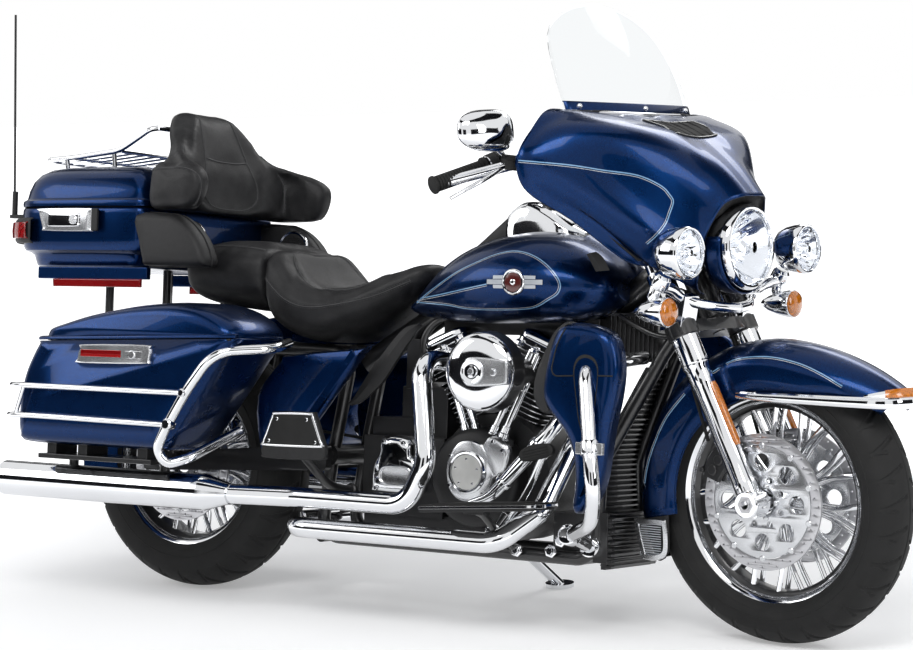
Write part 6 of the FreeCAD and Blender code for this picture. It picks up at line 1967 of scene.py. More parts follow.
# Side covers, crowned, with a crease toward the seat
cover_line = [
    (-473, 180), (-462, 62), (-440, 58), (-338, 84), (-244, 192), (-160, 300), (-172, 304), (-378, 283),
    (-400, 270)
]
cover_rings = []
for y, inset in ((206, 6), (212, 0), (222, 1), (229, 6), (232, 15), (234, 34)):
    fine = [(p.x, p.z) for p in smooth_line([(a, 0, b) for a, b in cover_line], 3, closed=True)]
    cover_rings.append(
        [
            (
                -340 + (x + 340) * (1 - inset / 150), y + (0.05 * (z - 180) if y > 225 else 0),
                185 + (z - 185) * (1 - inset / 110)
            )
            for x, z in fine
        ]
    )
pair("side_cover", loft(cover_rings), chassis, "blue", node="side_covers")
pair(
    "side_cover_blade",
    loft(
        [
            [(x, 237 + k, z) for x, z in ((-190, 300), (-330, 120), (-318, 108), (-176, 286))]
            for k in (0, 3)
        ]
    ),
    chassis, "blue", bevel=2
)


# Boards
def rubber_ribs(x0, x1, y0, y1, z, count, high=2.6):
    step = (y1 - y0) / count
    return joined(
        *[
            block(x0, x1, y0 + step * (k + 0.25), y0 + step * (k + 0.75), z, z + high)
            for k in range(count)
        ]
    )


board_outline = [
    (112, 270), (112, 366), (126, 378), (370, 378), (388, 352), (388, 280), (374, 266), (124, 264)
]
fine_board = [(p.x, p.y) for p in smooth_line([(a, b, 0) for a, b in board_outline], 4, closed=True)]
board_turn = Matrix.Translation((247, 320, -46)) @ Matrix.Rotation(
    math.radians(-4), 4, "Y"
) @ Matrix.Translation((-247, -320, 46))
board_arm = [
    tube([(206, 118, -150), (206, 200, -110), (206, 270, -62), (206, 300, -54)], 9, bend=30, sides=20),
    moved(block(-26, 26, -16, 16, -5, 5), at(206, 298, -56)),
    turned_on((206, 112, -154), (206, 128, -144), [(0, 15), (0.8, 15), (1, 11)], 28)
]
pair(
    "rider_board_plate", joined(moved(prism(fine_board, -50, -42, "z"), board_turn), *board_arm), chassis,
    "black", node="footboards", bevel=1.5
)
pair(
    "rider_board_pad",
    moved(
        joined(prism(fine_board, -38, -33, "z"), rubber_ribs(132, 366, 274, 372, -33.5, 9)), board_turn
    ),
    chassis, "rubber", bevel=0.8
)
pair(
    "rider_board_rim",
    moved(
        joined(
            prism(
                [(247 + (x - 247) * 1.012, 321 + (y - 321) * 1.03) for x, y in fine_board], -43, -37, "z"
            ),
            block(390, 416, 352, 366, -44, -36)
        ),
        board_turn
    ),
    chassis, "chrome", bevel=2
)
step_line = [
    (-372, 66), (-366, 84), (-344, 140), (-330, 149), (-232, 151), (-220, 144), (-194, 82), (-188, 66),
    (-190, 50), (-204, 40), (-356, 38), (-370, 48)
]
fine_step = [(p.x, p.z) for p in smooth_line([(a, 0, b) for a, b in step_line], 4, closed=True)]
frame_line = [
    (-366, 74), (-358, 94), (-340, 138), (-330, 145), (-232, 147), (-223, 140), (-200, 88), (-194, 75),
    (-204, 71), (-354, 69)
]
fine_frame = [(p.x, p.z) for p in smooth_line([(a, 0, b) for a, b in frame_line], 4, closed=True)]


def step_ring(y, share, line):
    return [(-281 + (x + 281) * share, y, 100 + (z - 100) * share) for x, z in line]


pair(
    "passenger_board_plate",
    loft([step_ring(y, s, fine_step) for y, s in ((320, 0.93), (323, 0.99), (336, 1.0), (339, 0.97))]),
    chassis, "plastic", node="footboards"
)
pair(
    "passenger_board_rim", loop_tube([Vector(p) for p in step_ring(340, 0.98, fine_frame)], 3.6, 12),
    chassis, "chrome"
)
pair(
    "passenger_board_pad",
    loft([step_ring(y, s, fine_frame) for y, s in ((336, 0.95), (342, 0.94), (343.5, 0.9), (344, 0.7))]),
    chassis, "rubber"
)
screws = [
    turned_on((x, 342, z), (x, 347, z), [(0, 4.5), (0.7, 4.5), (1, 3)], 16) for x,
    z in ((-324, 132), (-238, 133), (-346, 80), (-212, 81))
]
pair("passenger_board_screws", joined(*screws), chassis, "chrome")
step_arm = tube(
    [(-262, 118, -40), (-268, 200, -30), (-276, 290, 40), (-280, 326, 72)], 11, bend=50, sides=20
)
pair(
    "passenger_board_arm",
    joined(
        step_arm,
        moved(
            block(-20, 20, -26, 26, -7, 7),
            Matrix.Translation((-281, 318, 74)) @ Matrix.Rotation(math.radians(90), 4, "X")
        ),
        turned_on((-262, 108, -42), (-262, 124, -38), [(0, 17), (0.8, 17), (1, 13)], 28)
    ),
    chassis, "black", bevel=1.5
)


# Engine: finned barrels, pushrods and covers
crank = Vector((97, 0, 10))


def engine_axis(side):
    a = math.radians(22.5) * side
    return Vector((math.sin(a), 0, math.cos(a))), Vector((math.cos(a), 0, -math.sin(a)))


def rounded_square(half_a, half_b, power=0.45, count=40):
    points = []
    for k in range(count):
        a = 2 * math.pi * k / count
        c, s = math.cos(a), math.sin(a)
        points.append(
            (
                half_a * abs(c) ** power * (1 if c > 0 else -1),
                half_b * abs(s) ** power * (1 if s > 0 else -1)
            )
        )
    return points


cores, edges, rods, collars = [], [], [], []
for side in (-1, 1):
    up_dir, fore_dir = engine_axis(side)

    def spot_at(a, b, h):
        return crank + fore_dir * a + Vector((0, b, 0)) + up_dir * h

    cores.append(loft([[spot_at(a, b, h) for a, b in rounded_square(52, 52, 0.7)] for h in (112, 318)]))
    levels = [
        (126 + 12.4 * k, 58 + 1.5 * k, 60 + 0.6 * k) for k in range(11)
    ] + [(268 + 11 * k, 76, 70) for k in range(5)]
    for height, wide, deep in levels:
        power = 0.62 if height < 262 else 0.4
        rings = [
            [spot_at(a, b, height + d) for a, b in rounded_square(wide - w, deep - w, power)] for d,
            w in ((-2.0, 14), (-1.3, 1.0), (-1.1, 0), (1.1, 0), (1.3, 1.0), (2.0, 14))
        ]
        cores.append(loft(rings))
        edges.append(
            loft(
                [
                    [spot_at(a, b, height + d) for a, b in rounded_square(wide + w, deep + w, power)]
                    for d, w in ((-1.0, -0.6), (-0.9, 0.35), (0.9, 0.35), (1.0, -0.6))
                ],
                caps=False
            )
        )
    for across_by in (-17, 15):
        low_end = Vector((crank.x + 24 + side * 30 + across_by, -128, 104))
        high_end = spot_at(across_by * 0.6, -80, 322)
        rods.append(tube([low_end, high_end], 8.5, bend=0, sides=18))
        collars.append(
            turned_on(
                low_end - Vector((0, 0, 4)), low_end.lerp(high_end, 0.14),
                [(0, 14), (0.45, 14), (0.5, 11.5), (1, 11)], 22
            )
        )
        collars.append(
            turned_on(
                low_end.lerp(high_end, 0.55), low_end.lerp(high_end, 0.68),
                [(0, 8.8), (0.1, 10.5), (0.85, 10.5), (1, 8.8)], 22
            )
        )
    collars.append(
        loft(
            [
                [
                    Vector((crank.x + 24 + side * 30 + a, b, h)) for a,
                    b in rounded_square(36 - w, 22 - w, 0.4)
                ]
                for b, h, w in ((0, 84, 0), (0, 102, 0), (0, 105, 3))
            ]
        )
    )
collars = [
    ([Vector((v[0], v[1] if abs(v[1]) > 60 else v[1] - 124, v[2])) for v in verts], faces) for verts,
    faces in collars
]
add("barrels", joined(*cores), chassis, "dark", "cylinders")
rockers, rocker_bolts = [], []
for side in (-1, 1):
    up_dir, fore_dir = engine_axis(side)

    def rocker_spot(a, b, h):
        return crank + fore_dir * a + Vector((0, b, 0)) + up_dir * h

    for steps in (
        ((316, 64, 84), (318, 67, 87), (328, 67, 87), (330, 64, 84)),
        ((329, 61, 82), (331, 63, 84), (341, 63, 84), (344, 60, 81)),
        ((342, 57, 79), (345, 60, 82), (354, 60, 82), (361, 54, 77), (364, 44, 68), (364.5, 20, 40))
    ):
        rockers.append(
            loft(
                [
                    [rocker_spot(a, b, h) for a, b in rounded_square(half_a, half_b, 0.3, 64)] for h,
                    half_a, half_b in steps
                ]
            )
        )
    for a, b in ((-44, -90), (0, -91), (44, -90), (-44, 90), (0, 91), (44, 90)):
        foot = rocker_spot(a, b, 319)
        rocker_bolts.append(turned_on(foot, foot + up_dir * 14, [(0, 6), (0.2, 8), (0.75, 8), (1, 5.5)], 6))
add("rocker_boxes", joined(*rockers), chassis, "chrome", "engine_covers")
add("rocker_bolts", joined(*rocker_bolts), chassis, "chrome", "engine_covers", bevel=0.6)
add("barrel_fin_edges", joined(*edges), chassis, "alloy", "cylinders")
add("pushrod_tubes", joined(*rods), chassis, "chrome")
add("lifter_blocks", joined(*collars), chassis, "chrome", bevel=1.2)

add(
    "air_cleaner_back",
    lathe(
        [(30, -236), (88, -236), (93, -240), (93.5, -252), (91, -262), (90, -280), (80, -281)], 96,
        centre=(194, 0, 259)
    ),
    chassis, "black", "air_cleaner"
)
add(
    "air_cleaner_cover",
    lathe(
        [
            (86, -274), (89, -276), (90, -281), (88.5, -287), (83, -293), (74, -298), (60, -301.5),
            (40, -303.4), (18, -304), (0.4, -304.4)
        ],
        96, centre=(194, 0, 259)
    ),
    chassis, "chrome", "air_cleaner"
)
add(
    "air_cleaner_neck", turned_on((190, -240, 258), (190, -60, 258), [(0, 40), (0.3, 36), (1, 34)], 32),
    chassis, "dark", "air_cleaner"
)
plate_shape = [
    (188, 0, 226), (168, 0, 232), (156, 0, 258), (168, 0, 284), (188, 0, 291), (230, 0, 290),
    (270, 0, 286), (279, 0, 280), (279, 0, 240), (270, 0, 232), (230, 0, 228)
]
plate_fine = [(p.x, p.z) for p in smooth_line(plate_shape, 5, closed=True)]
add(
    "air_cleaner_plate",
    loft(
        [
            [(216 + (x - 216) * s, y, 259 + (z - 259) * s) for x, z in plate_fine] for y,
            s in ((-290, 1.03), (-304, 1.01), (-306.5, 0.99), (-307.5, 0.96), (-307.8, 0.9))
        ]
    ),
    chassis, "alloy", "air_cleaner"
)
add(
    "air_cleaner_boss",
    lathe(
        [
            (29, -305), (29.5, -310), (27, -312), (23, -311), (20, -309.5), (15, -309.5), (14, -312.5),
            (9, -313), (8.4, -310), (0.3, -310)
        ],
        48, centre=(188, 0, 259)
    ),
    chassis, "chrome", "air_cleaner"
)
add(
    "air_cleaner_bolt",
    joined(
        turned_on((244, -306, 259), (244, -314, 259), [(0, 9), (0.3, 9), (0.35, 6.5), (1, 6)], 24),
        turned_on((188, -309, 259), (188, -315, 259), [(0, 8), (0.8, 8), (1, 6.5)], 6)
    ),
    chassis, "alloy", "air_cleaner"
)

add(
    "crank_cover",
    lathe(
        [(0.5, -150), (80, -150), (104, -146), (114, -138), (118, -124), (118, -92)], 72,
        centre=(97, 0, 10)
    ),
    chassis, "dark", "engine_covers"
)
lobe = [
    (36, 30), (44, -16), (70, -42), (112, -44), (150, -18), (166, 14), (194, 30), (203, 84), (160, 112),
    (134, 92), (104, 98), (70, 94), (46, 66)
]
fine_lobe = [(p.x, p.z) for p in smooth_line([(a, 0, b) for a, b in lobe], 5, closed=True)]
add(
    "timer_housing",
    loft(
        [
            [(104 + (x - 104) * s, y, 24 + (z - 24) * s) for x, z in fine_lobe] for y,
            s in ((-146, 1.0), (-158, 1.0), (-163, 0.96), (-165, 0.88))
        ]
    ),
    chassis, "alloy", "engine_covers"
)
add(
    "timer_cover",
    lathe(
        [(50, -163), (50, -170), (47, -173.5), (43, -173), (42, -170), (0.4, -171)], 64,
        centre=(97, 0, 24)
    ),
    chassis, "chrome", "engine_covers"
)
add(
    "timer_dial", lathe([(41, -170.5), (40, -172.5), (6, -173.2), (0.4, -173.2)], 64, centre=(97, 0, 24)),
    chassis, "dial", "engine_covers"
)
rivets = [
    turned_on(
        (97 + 31 * math.cos(a), -171, 24 + 31 * math.sin(a)),
        (97 + 31 * math.cos(a), -175, 24 + 31 * math.sin(a)), [(0, 3.6), (0.6, 3.6), (1, 2)], 14
    )
    for a in [2 * math.pi * k / 5 + 0.3 for k in range(5)]
]
cover_bolts = [
    turned_on((x, -164, z), (x, -170, z), [(0, 5.4), (0.7, 5.4), (1, 3.8)], 6) for x,
    z in ((164, 98), (190, 78), (50, 60), (50, -8), (140, -24))
]
add("timer_rivets", joined(*(rivets + cover_bolts)), chassis, "chrome", "engine_covers")
gear_line = [
    (-186, -26), (-176, -38), (-60, -38), (-46, -22), (-40, 14), (-58, 46), (-72, 54), (-82, 92),
    (-156, 96), (-166, 58), (-184, 24)
]
fine_gear = [(p.x, p.z) for p in smooth_line([(a, 0, b) for a, b in gear_line], 3, closed=True)]
add(
    "gear_cover",
    loft(
        [
            [(-114 + (x + 114) * s, y, 24 + (z - 24) * s) for x, z in fine_gear] for y,
            s in ((-92, 1.0), (-132, 1.0), (-144, 0.95), (-150, 0.86), (-152, 0.80))
        ]
    ),
    chassis, "chrome", "engine_covers", bevel=1.5
)
oblong = [
    (
        -112 + 46 * (1 if math.cos(a) > 0 else -1) * abs(math.cos(a)) ** 0.6,
        4 + 24 * (1 if math.sin(a) > 0 else -1) * abs(math.sin(a)) ** 0.7
    )
    for a in [2 * math.pi * k / 48 for k in range(48)]
]
add(
    "gear_cover_window",
    loft(
        [
            [(-112 + (x + 112) * s, y, 4 + (z - 4) * s) for x, z in oblong] for y,
            s in ((-150, 1.0), (-156, 1.0), (-157, 0.94), (-154, 0.86), (-153.5, 0.8))
        ]
    ),
    chassis, "alloy", "engine_covers"
)
add(
    "gear_cover_bolts",
    joined(
        *[
            turned_on((x, -150, z), (x, -158, z), [(0, 6), (0.7, 6), (1, 4.5)], 6) for x,
            z in ((-146, 84), (-92, 82), (-166, -28), (-58, -26))
        ]
    ),
    chassis, "chrome", "engine_covers", bevel=0.6
)


# Lower fairings with their edge strip, door line, and a near-black patch round the guard as painted shade
leg_line = [
    (415, 364), (450, 374), (494, 371), (528, 360), (549, 343), (562, 308), (566, 265), (560, 210),
    (548, 154), (540, 95), (532, 39), (516, -6), (492, -34), (470, -43), (460, -28), (464, 15), (463, 53),
    (455, 95), (438, 132), (412, 162), (390, 186), (379, 208), (377, 235), (384, 280), (397, 330)
]
fine_leg = [(p.x, p.z) for p in smooth_line([(a, 0, b) for a, b in leg_line], 3, closed=True)]
leg_spine = smooth_line(
    [(500, 0, -40), (502, 0, 60), (500, 0, 130), (476, 0, 210), (470, 0, 290), (474, 0, 384)], 8
)


def leg_ring(y, inset):
    ring = []
    for x, z in fine_leg:
        core = min(leg_spine, key=lambda p: (p.z - max(-20, min(340, z))) ** 2)
        toward = Vector((core.x - x, 0, max(-14, min(330, z)) - z))
        toward.normalize()
        ring.append((x + toward.x * inset, y, z + toward.z * inset))
    return ring


leg_rings = [
    leg_ring(y, inset) for y,
    inset in ((274, 5), (278, 1), (300, 0), (312, 1.5), (320, 5), (326, 11), (329.5, 20), (331, 30))
]
legs = pair("lower_fairing", loft(leg_rings), chassis, "blue", node="lower_fairings")
strip_out = smooth_line(
    [
        (436, 0, 376), (421, 0, 372), (396, 0, 350), (376, 0, 312), (358, 0, 270), (350, 0, 234),
        (352, 0, 205), (366, 0, 180), (384, 0, 172)
    ],
    6
)
strip_in = smooth_line(
    [
        (444, 0, 370), (432, 0, 365), (416, 0, 338), (403, 0, 306), (392, 0, 268), (386, 0, 234),
        (386, 0, 208), (392, 0, 192), (398, 0, 180)
    ],
    6
)
pair(
    "lower_fairing_strip",
    loft(
        [
            [
                (p.x, 280, p.z), (p.x, 300, p.z), (p.x + 3, 312, p.z),
                (p.x * 0.6 + q.x * 0.4, 320, p.z * 0.6 + q.z * 0.4), (q.x, 323, q.z), (q.x + 6, 316, q.z),
                (q.x + 6, 280, q.z)
            ]
            for p, q in zip(strip_out, strip_in)
        ]
    ),
    chassis, "plastic", bevel=1.0
)
door = [(438, 362), (419, 325), (410, 290), (407, 270), (417, 257), (440, 257), (462, 258)]
door_line = [Vector((p.x, 331, p.z)) for p in smooth_line([(a, 0, b) for a, b in door], 6)]
door_far = [Vector((521 + 5.2 * k, 331, 260)) for k in range(9)]
for label, matrix, leg in (("left", BIKE, legs[0]), ("right", BIKE @ MIRROR, legs[1])):
    tree = tree_of(leg)
    grooves = []
    for line in (door_line, door_far):
        path = []
        for a, b in zip(line, line[1:]):
            for k in range(4):
                spot, normal, index, distance = tree.find_nearest(matrix @ a.lerp(b, k / 4))
                path.append(matrix.inverted() @ spot)
        grooves.append(tube(path, 1.8, bend=0, sides=8))
    add("lower_fairing_door_" + label, joined(*grooves), (matrix, "chassis"), "black_and_shade")
# Near-black patch lying on the fairing's face, in an arch over the guard and down beside it: painted shade
# round the guard, and the shell has no recess there
shade_patch_line = [
    (463, 250), (462, 278), (472, 298), (491, 305), (511, 298), (522, 280), (523, 252), (519, 207),
    (514, 160), (506, 132), (490, 132), (478, 160), (470, 206)
]
shade_patch_fine = [(p.x, p.z) for p in smooth_line([(a, 0, b) for a, b in shade_patch_line], 4, closed=True)]
pair(
    "lower_fairing_shade_patch",
    loft(
        [
            [(493 + (x - 493) * s, y, 225 + (z - 225) * s) for x, z in shade_patch_fine] for y,
            s in ((322, 1.0), (331.2, 1.0), (332, 0.97), (331.6, 0.93), (330.8, 0.9))
        ]
    ),
    chassis, "black_and_shade"
)
guard_path = [
    (482, 40, 302), (489, 330, 278), (546, 392, 60), (552, 388, -2), (522, 340, -60), (400, 215, -100),
    (400, 114, -130)
]
pair("engine_guard_tube", tube(guard_path, 16, bend=46, sides=32), chassis, "chrome", node="engine_guard")
pair(
    "engine_guard_foot",
    joined(
        turned_on(
            (400, 204, -103), (400, 228, -96), [(0, 19), (0, 23), (0.1, 24), (0.9, 24), (1, 20)], 36
        ),
        turned_on((400, 106, -131), (400, 124, -128), [(0, 22), (0.1, 25), (0.9, 25), (1, 17)], 36)
    ),
    chassis, "chrome"
)
clamp_dir = (Vector(guard_path[2]) - Vector(guard_path[1])).normalized()
clamp_mid = Vector(guard_path[1]).lerp(Vector(guard_path[2]), 0.80)
band = turned_on(
    clamp_mid - clamp_dir * 15, clamp_mid + clamp_dir * 15,
    [(0, 16.3), (0, 20), (0.12, 21), (0.88, 21), (1, 20), (1, 16.3)], 36
)
pair("guard_clamp", band, chassis, "chrome", bevel=1.0)
pair(
    "guard_clamp_ears", moved(block(-33, 33, -6, 6, -13, 13), Matrix.Translation(clamp_mid)), chassis,
    "alloy", bevel=2.0
)


# Cooler fins and the finned black shield between the downtubes
fins = [block(418, 456, -104, 104, -172 + 9 * k, -169 + 9 * k) for k in range(14)]
fins.append(block(404, 440, -112, 112, -166, -52))
add("cooler_fins", joined(*fins), chassis, "black", bevel=1.0)
shield_path = smooth_line(
    [(414, 0, -74), (411, 0, 0), (411, 0, 40), (420, 0, 90), (464, 0, 190), (506, 0, 280)], 8
)
shield_rows = []
for k, p in enumerate(shield_path):
    half = 92 - 46 * max(0.0, (p.z - 40) / 240)
    shield_rows.append(
        [
            (p.x - 14 + 10 * math.cos(t * math.pi / 2), half * t, p.z)
            for t in (-1, -0.8, -0.5, 0, 0.5, 0.8, 1)
        ]
    )
add("downtube_shield", surface(shield_rows, 2, 2), chassis, "plastic", thick=6, offset=0, bevel=1.0)
ribs = []
for k in range(29):
    height = -66 + 11.8 * k
    p = min(shield_path, key=lambda q: abs(q.z - height))
    half = 86 - 44 * max(0.0, (height - 40) / 240)
    ribs.append(block(p.x - 16, p.x + 3, -half, half, height, height + 3.5))
add("downtube_shield_ribs", joined(*ribs), chassis, "black")
# Black blocks and tubes behind the engine, in place of coil, wiring and horn, and as painted shade that
# fills the gaps behind the engine where its shadow falls
shade_fill = [
    block(-70, 420, -22, 22, 346, 396), block(300, 372, -52, 52, 330, 388),
    block(-150, -92, -60, 60, 210, 330), block(-160, -30, -58, 58, 90, 216),
    block(-236, -90, -70, 70, 88, 140), block(286, 398, -88, 88, -148, -58),
    block(388, 512, -34, 34, 292, 404),
    tube(
        [
            (-80, -66, 250), (-104, -70, 330), (-60, -60, 384), (120, -52, 392), (290, -58, 386),
            (390, -64, 340)
        ],
        9, bend=40, sides=12
    ),
    tube([(300, -56, 350), (370, -66, 250), (392, -70, 120), (380, -74, -40)], 7, bend=50, sides=12),
    tube([(420, -48, 396), (470, -56, 372), (520, -48, 350), (566, -40, 352)], 7, bend=30, sides=12),
    turned_on((344, -92, 250), (344, -48, 250), [(0, 20), (0.1, 40), (0.7, 42), (0.8, 30), (1, 26)], 40)
]
shade_fill += [block(392 + 12 * k, 397 + 12 * k, -40, 40, 300, 396) for k in range(10)]
add("engine_shade_fill", joined(*shade_fill), chassis, "black", bevel=3)
# Chrome front header shield rising to the front barrel
shield_pipe = tube(
    [(128, -196, -44), (180, -198, -28), (336, -190, 136), (352, -150, 190), (330, -96, 232)], 17,
    bend=60, sides=32, widths=[10, 16, 17.5, 17, 16]
)
straps = [
    turned_on(
        Vector((a, -197, b)) - Vector((4, 0, 4)), Vector((a, -197, b)) + Vector((4, 0, 4)),
        [(0, 18.6), (0.1, 19.6), (0.9, 19.6), (1, 18.6)], 32
    )
    for a, b in ((214, 8), (300, 98))
]
add("front_header_shield", joined(shield_pipe, *straps), chassis, "chrome")
# Brake pedal with its rubber pad
pedal = tube(
    [(206, -214, -110), (236, -232, -96), (330, -286, -4), (372, -300, 74), (388, -302, 84)], 8, bend=40,
    sides=20, squash=0.8
)
pad_line = [(-44, 0), (-34, 15), (0, 20), (34, 15), (44, 0), (34, -12), (0, -14), (-34, -12)]
pad_fine = [(p.x, p.z) for p in smooth_line([(a, 0, b) for a, b in pad_line], 4, closed=True)]
pad = loft(
    [
        [(a * s, b, c * s) for a, c in pad_fine] for b,
        s in ((-8, 0.9), (-6, 1.0), (6, 1.0), (8, 0.92), (8.5, 0.6))
    ]
)
pad_grooves = joined(*[block(-32, 32, 8, 10, -9 + 6 * k, -6 + 6 * k) for k in range(4)])
boss = [
    turned_on((206, -206, -110), (206, -226, -110), [(0, 21), (0.15, 25), (0.8, 25), (1, 20)], 40),
    turned_on((206, -224, -110), (206, -230, -110), [(0, 11), (0.7, 11), (1, 8)], 6),
    moved(
        block(-9, 9, -5, 5, -30, 30),
        Matrix.Translation((222, -218, -86)) @ Matrix.Rotation(math.radians(30), 4, "Y")
    )
]
add("brake_pedal", joined(pedal, *boss), chassis, "chrome", bevel=1.2)
pad_place = Matrix.Translation((366, -312, 84)) @ Matrix.Rotation(
    math.radians(180), 4, "Z"
) @ Matrix.Rotation(math.radians(14), 4, "Y")
add(
    "brake_pedal_pad", joined(moved(pad, pad_place), moved(pad_grooves, pad_place)), chassis, "rubber",
    bevel=0.6
)
frame_bolts = [
    turned_on((x, -126, z), (x, -136, z), [(0, 16), (0.3, 16), (0.35, 11), (1, 9)], 6) for x,
    z in ((212, -150), (303, -146), (328, -120))
]
gear_lever = [
    tube([(90, 234, -14), (130, 235, -6), (260, 235, -6), (300, 234, -14)], 7, bend=20, sides=16),
    turned_on((195, 206, -8), (195, 244, -8), [(0, 13), (0.5, 13), (0.55, 15), (0.9, 15), (1, 9)], 28)
]
gear_pegs = [
    turned_on(
        (x, 230, -14), (x, 268, -14),
        [
            (0, 7), (0.1, 10.5), (0.3, 11), (0.34, 9.6), (0.38, 11), (0.6, 11), (0.64, 9.6), (0.68, 11),
            (0.93, 11), (1, 8)
        ],
        24
    )
    for x in (90, 300)
]
add("gear_lever", joined(*gear_lever), chassis, "chrome", "foot_controls")
add("gear_lever_pegs", joined(*gear_pegs), chassis, "rubber", "foot_controls")
add("frame_bolts", joined(*frame_bolts), chassis, "chrome", bevel=0.8)
# Dark blade between seat nose and side cover, on both sides
blade_out = smooth_line(
    [(-57, 0, 366), (-100, 0, 352), (-150, 0, 300), (-200, 0, 238), (-236, 0, 186), (-252, 0, 172)], 6
)
blade_in = smooth_line(
    [(-52, 0, 360), (-78, 0, 330), (-112, 0, 284), (-158, 0, 222), (-214, 0, 176), (-244, 0, 166)], 6
)
pair(
    "seat_side_blade",
    loft(
        [
            [
                (p.x, 146, p.z), (p.x, 156, p.z), ((p.x + q.x) / 2, 163, (p.z + q.z) / 2),
                (q.x, 156, q.z), (q.x, 146, q.z)
            ]
            for p, q in zip(blade_out, blade_in)
        ]
    ),
    chassis, "plastic"
)


# Top box trim: latch, lamps, strips
for side, label in ((-1, "right"), (1, "left")):
    rows = [
        [
            (p.x - grow, side * (p.y + grow), z)
            for p in smooth_line(
                [(-1150, 297, 0), (-1192, 288, 0), (-1230, 262, 0), (-1252, 222, 0), (-1264, 170, 0)], 5
            )
        ]
        for z, grow in ((549, 1), (550, 4), (556, 7), (606, 7), (611, 4), (612, 1))
    ]
    add(
        "tail_lamp_housing_" + label, loft(rows, closed=False, caps=False), chassis, "plastic",
        "tail_lamps", thick=3, offset=0
    )
    rows = [
        [
            (p.x - grow, side * (p.y + grow), z)
            for p in smooth_line(
                [(-1158, 297, 0), (-1194, 289, 0), (-1231, 263, 0), (-1253, 223, 0), (-1264, 180, 0)], 5
            )
        ]
        for z, grow in ((560, 6), (562, 11), (580, 12), (600, 11), (602, 6))
    ]
    add(
        "tail_lamp_lens_" + label, loft(rows, closed=False, caps=False), chassis, "red", "tail_lamps",
        thick=3, offset=0
    )
    strip_row = [Vector((x, side * 281, 449)) for x in (-1092, -1060, -960, -860, -806)]
    add(
        "side_strip_lens_" + label,
        loft(
            [
                [
                    (p.x, p.y - side * 8, p.z - 11), (p.x, p.y + side * 2, p.z - 11),
                    (p.x, p.y + side * 4, p.z + 8), (p.x, p.y - side * 8, p.z + 11)
                ]
                for p in strip_row
            ]
        ),
        chassis, "red", bevel=1.5
    )
    add(
        "side_strip_mount_" + label, block(-1150, -790, side * 268 - 9, side * 268 + 9, 458, 489),
        chassis, "blue", bevel=3
    )
for side, label in ((-1, "right"), (1, "left")):
    plate_line = [
        (p.x, p.z)
        for p in smooth_line(
            [
                (-1132, 0, 628), (-1128, 0, 636), (-960, 0, 636), (-952, 0, 628), (-954, 0, 584),
                (-962, 0, 577), (-1108, 0, 579), (-1118, 0, 586)
            ],
            4, closed=True
        )
    ]
    mid_x, mid_z = -1042, 607
    add(
        "box_latch_" + label,
        loft(
            [
                [(mid_x + (x - mid_x) * s, side * y, mid_z + (z - mid_z) * s) for x, z in plate_line]
                for y, s in ((288, 1.0), (300, 1.0), (303, 0.96), (303.5, 0.86))
            ]
        ),
        chassis, "alloy", bevel=0.8
    )
    handle_line = [
        (p.x, p.z)
        for p in smooth_line(
            [
                (-1096, 0, 618), (-1088, 0, 624), (-1000, 0, 624), (-992, 0, 616), (-992, 0, 598),
                (-1000, 0, 590), (-1088, 0, 590), (-1096, 0, 596)
            ],
            4, closed=True
        )
    ]
    add(
        "box_latch_handle_" + label,
        loft(
            [
                [(-1044 + (x + 1044) * s, side * y, mid_z + (z - mid_z) * s) for x, z in handle_line]
                for y, s in ((302, 1.03), (305, 1.0), (307.5, 0.94), (308, 0.8))
            ]
        ),
        chassis, "chrome", bevel=0.6
    )
    add(
        "box_latch_lock_" + label,
        turned_on(
            (-1010, side * 305, mid_z), (-1010, side * 312, mid_z), [(0, 12), (0.7, 12), (1, 10)], 28
        ),
        chassis, "alloy"
    )
    add(
        "box_latch_end_" + label, moved(block(-10, 10, -4, 4, -28, 28), at(-944, side * 300, mid_z)),
        chassis, "plastic", bevel=2
    )

# Luggage rack: two rails rising to the backrest, slats between and short posts
rack = []
for side in (-1, 1):
    rack.append(
        tube(
            [
                (-1246, side * 120, 774), (-1238, side * 152, 775), (-1130, side * 160, 780),
                (-985, side * 164, 794), (-930, side * 166, 822), (-886, side * 166, 846),
                (-872, side * 150, 850)
            ],
            7, bend=24, sides=16
        )
    )
    for x, z in ((-1170, 778), (-1010, 791)):
        rack.append(rod((x, side * 150, 738), (x, side * 157, z), 6, 14))
        rack.append(turned_on((x, side * 150, 738), (x, side * 151, 752), [(0, 11), (0.7, 10), (1, 7)], 20))
rack.append(tube([(-1246, -122, 774), (-1250, 0, 774), (-1246, 122, 774)], 7, bend=0, sides=16))
rack.append(tube([(-872, -152, 850), (-868, 0, 852), (-872, 152, 850)], 6.5, bend=0, sides=16))
for x, z in ((-1150, 779), (-985, 793)):
    rack.append(rod((x, -161, z), (x, 161, z), 6, 14))
for y in (-96, -48, 0, 48, 96):
    rack.append(tube([(-1248, y, 774), (-1130, y, 781), (-985, y, 795)], 4.6, bend=0, sides=12))
add("rack_rails", joined(*rack), box_lid, "chrome", "luggage_rack")


# Instrument panel behind the fairing, with dials and speakers
panel_rows = []
for row in half_rows[3:11]:
    (x0, y0, z0), (x1, y1, z1) = row[0], row[1]
    x, y, z = x0 + 26, abs(y0) * 0.90, z0 - 6 - tyre_radius
    bulge = max(0.0, 1 - ((z + tyre_radius - 1060) / 130) ** 2)
    panel_rows.append(
        [
            (
                x + (1 - abs(s) ** 2.2) * 14 - bulge * 26 * max(0.0, 1 - (s / 0.62) ** 4), s * y,
                z + 4 * (1 - s * s)
            )
            for s in (-1, -0.92, -0.7, -0.45, -0.2, 0, 0.2, 0.45, 0.7, 0.92, 1)
        ]
    )
dash = add(
    "instrument_board", surface(panel_rows, 4, 4), fork, "plastic", "instrument_panel", thick=4, offset=0
)
dash_tree = tree_of(dash)


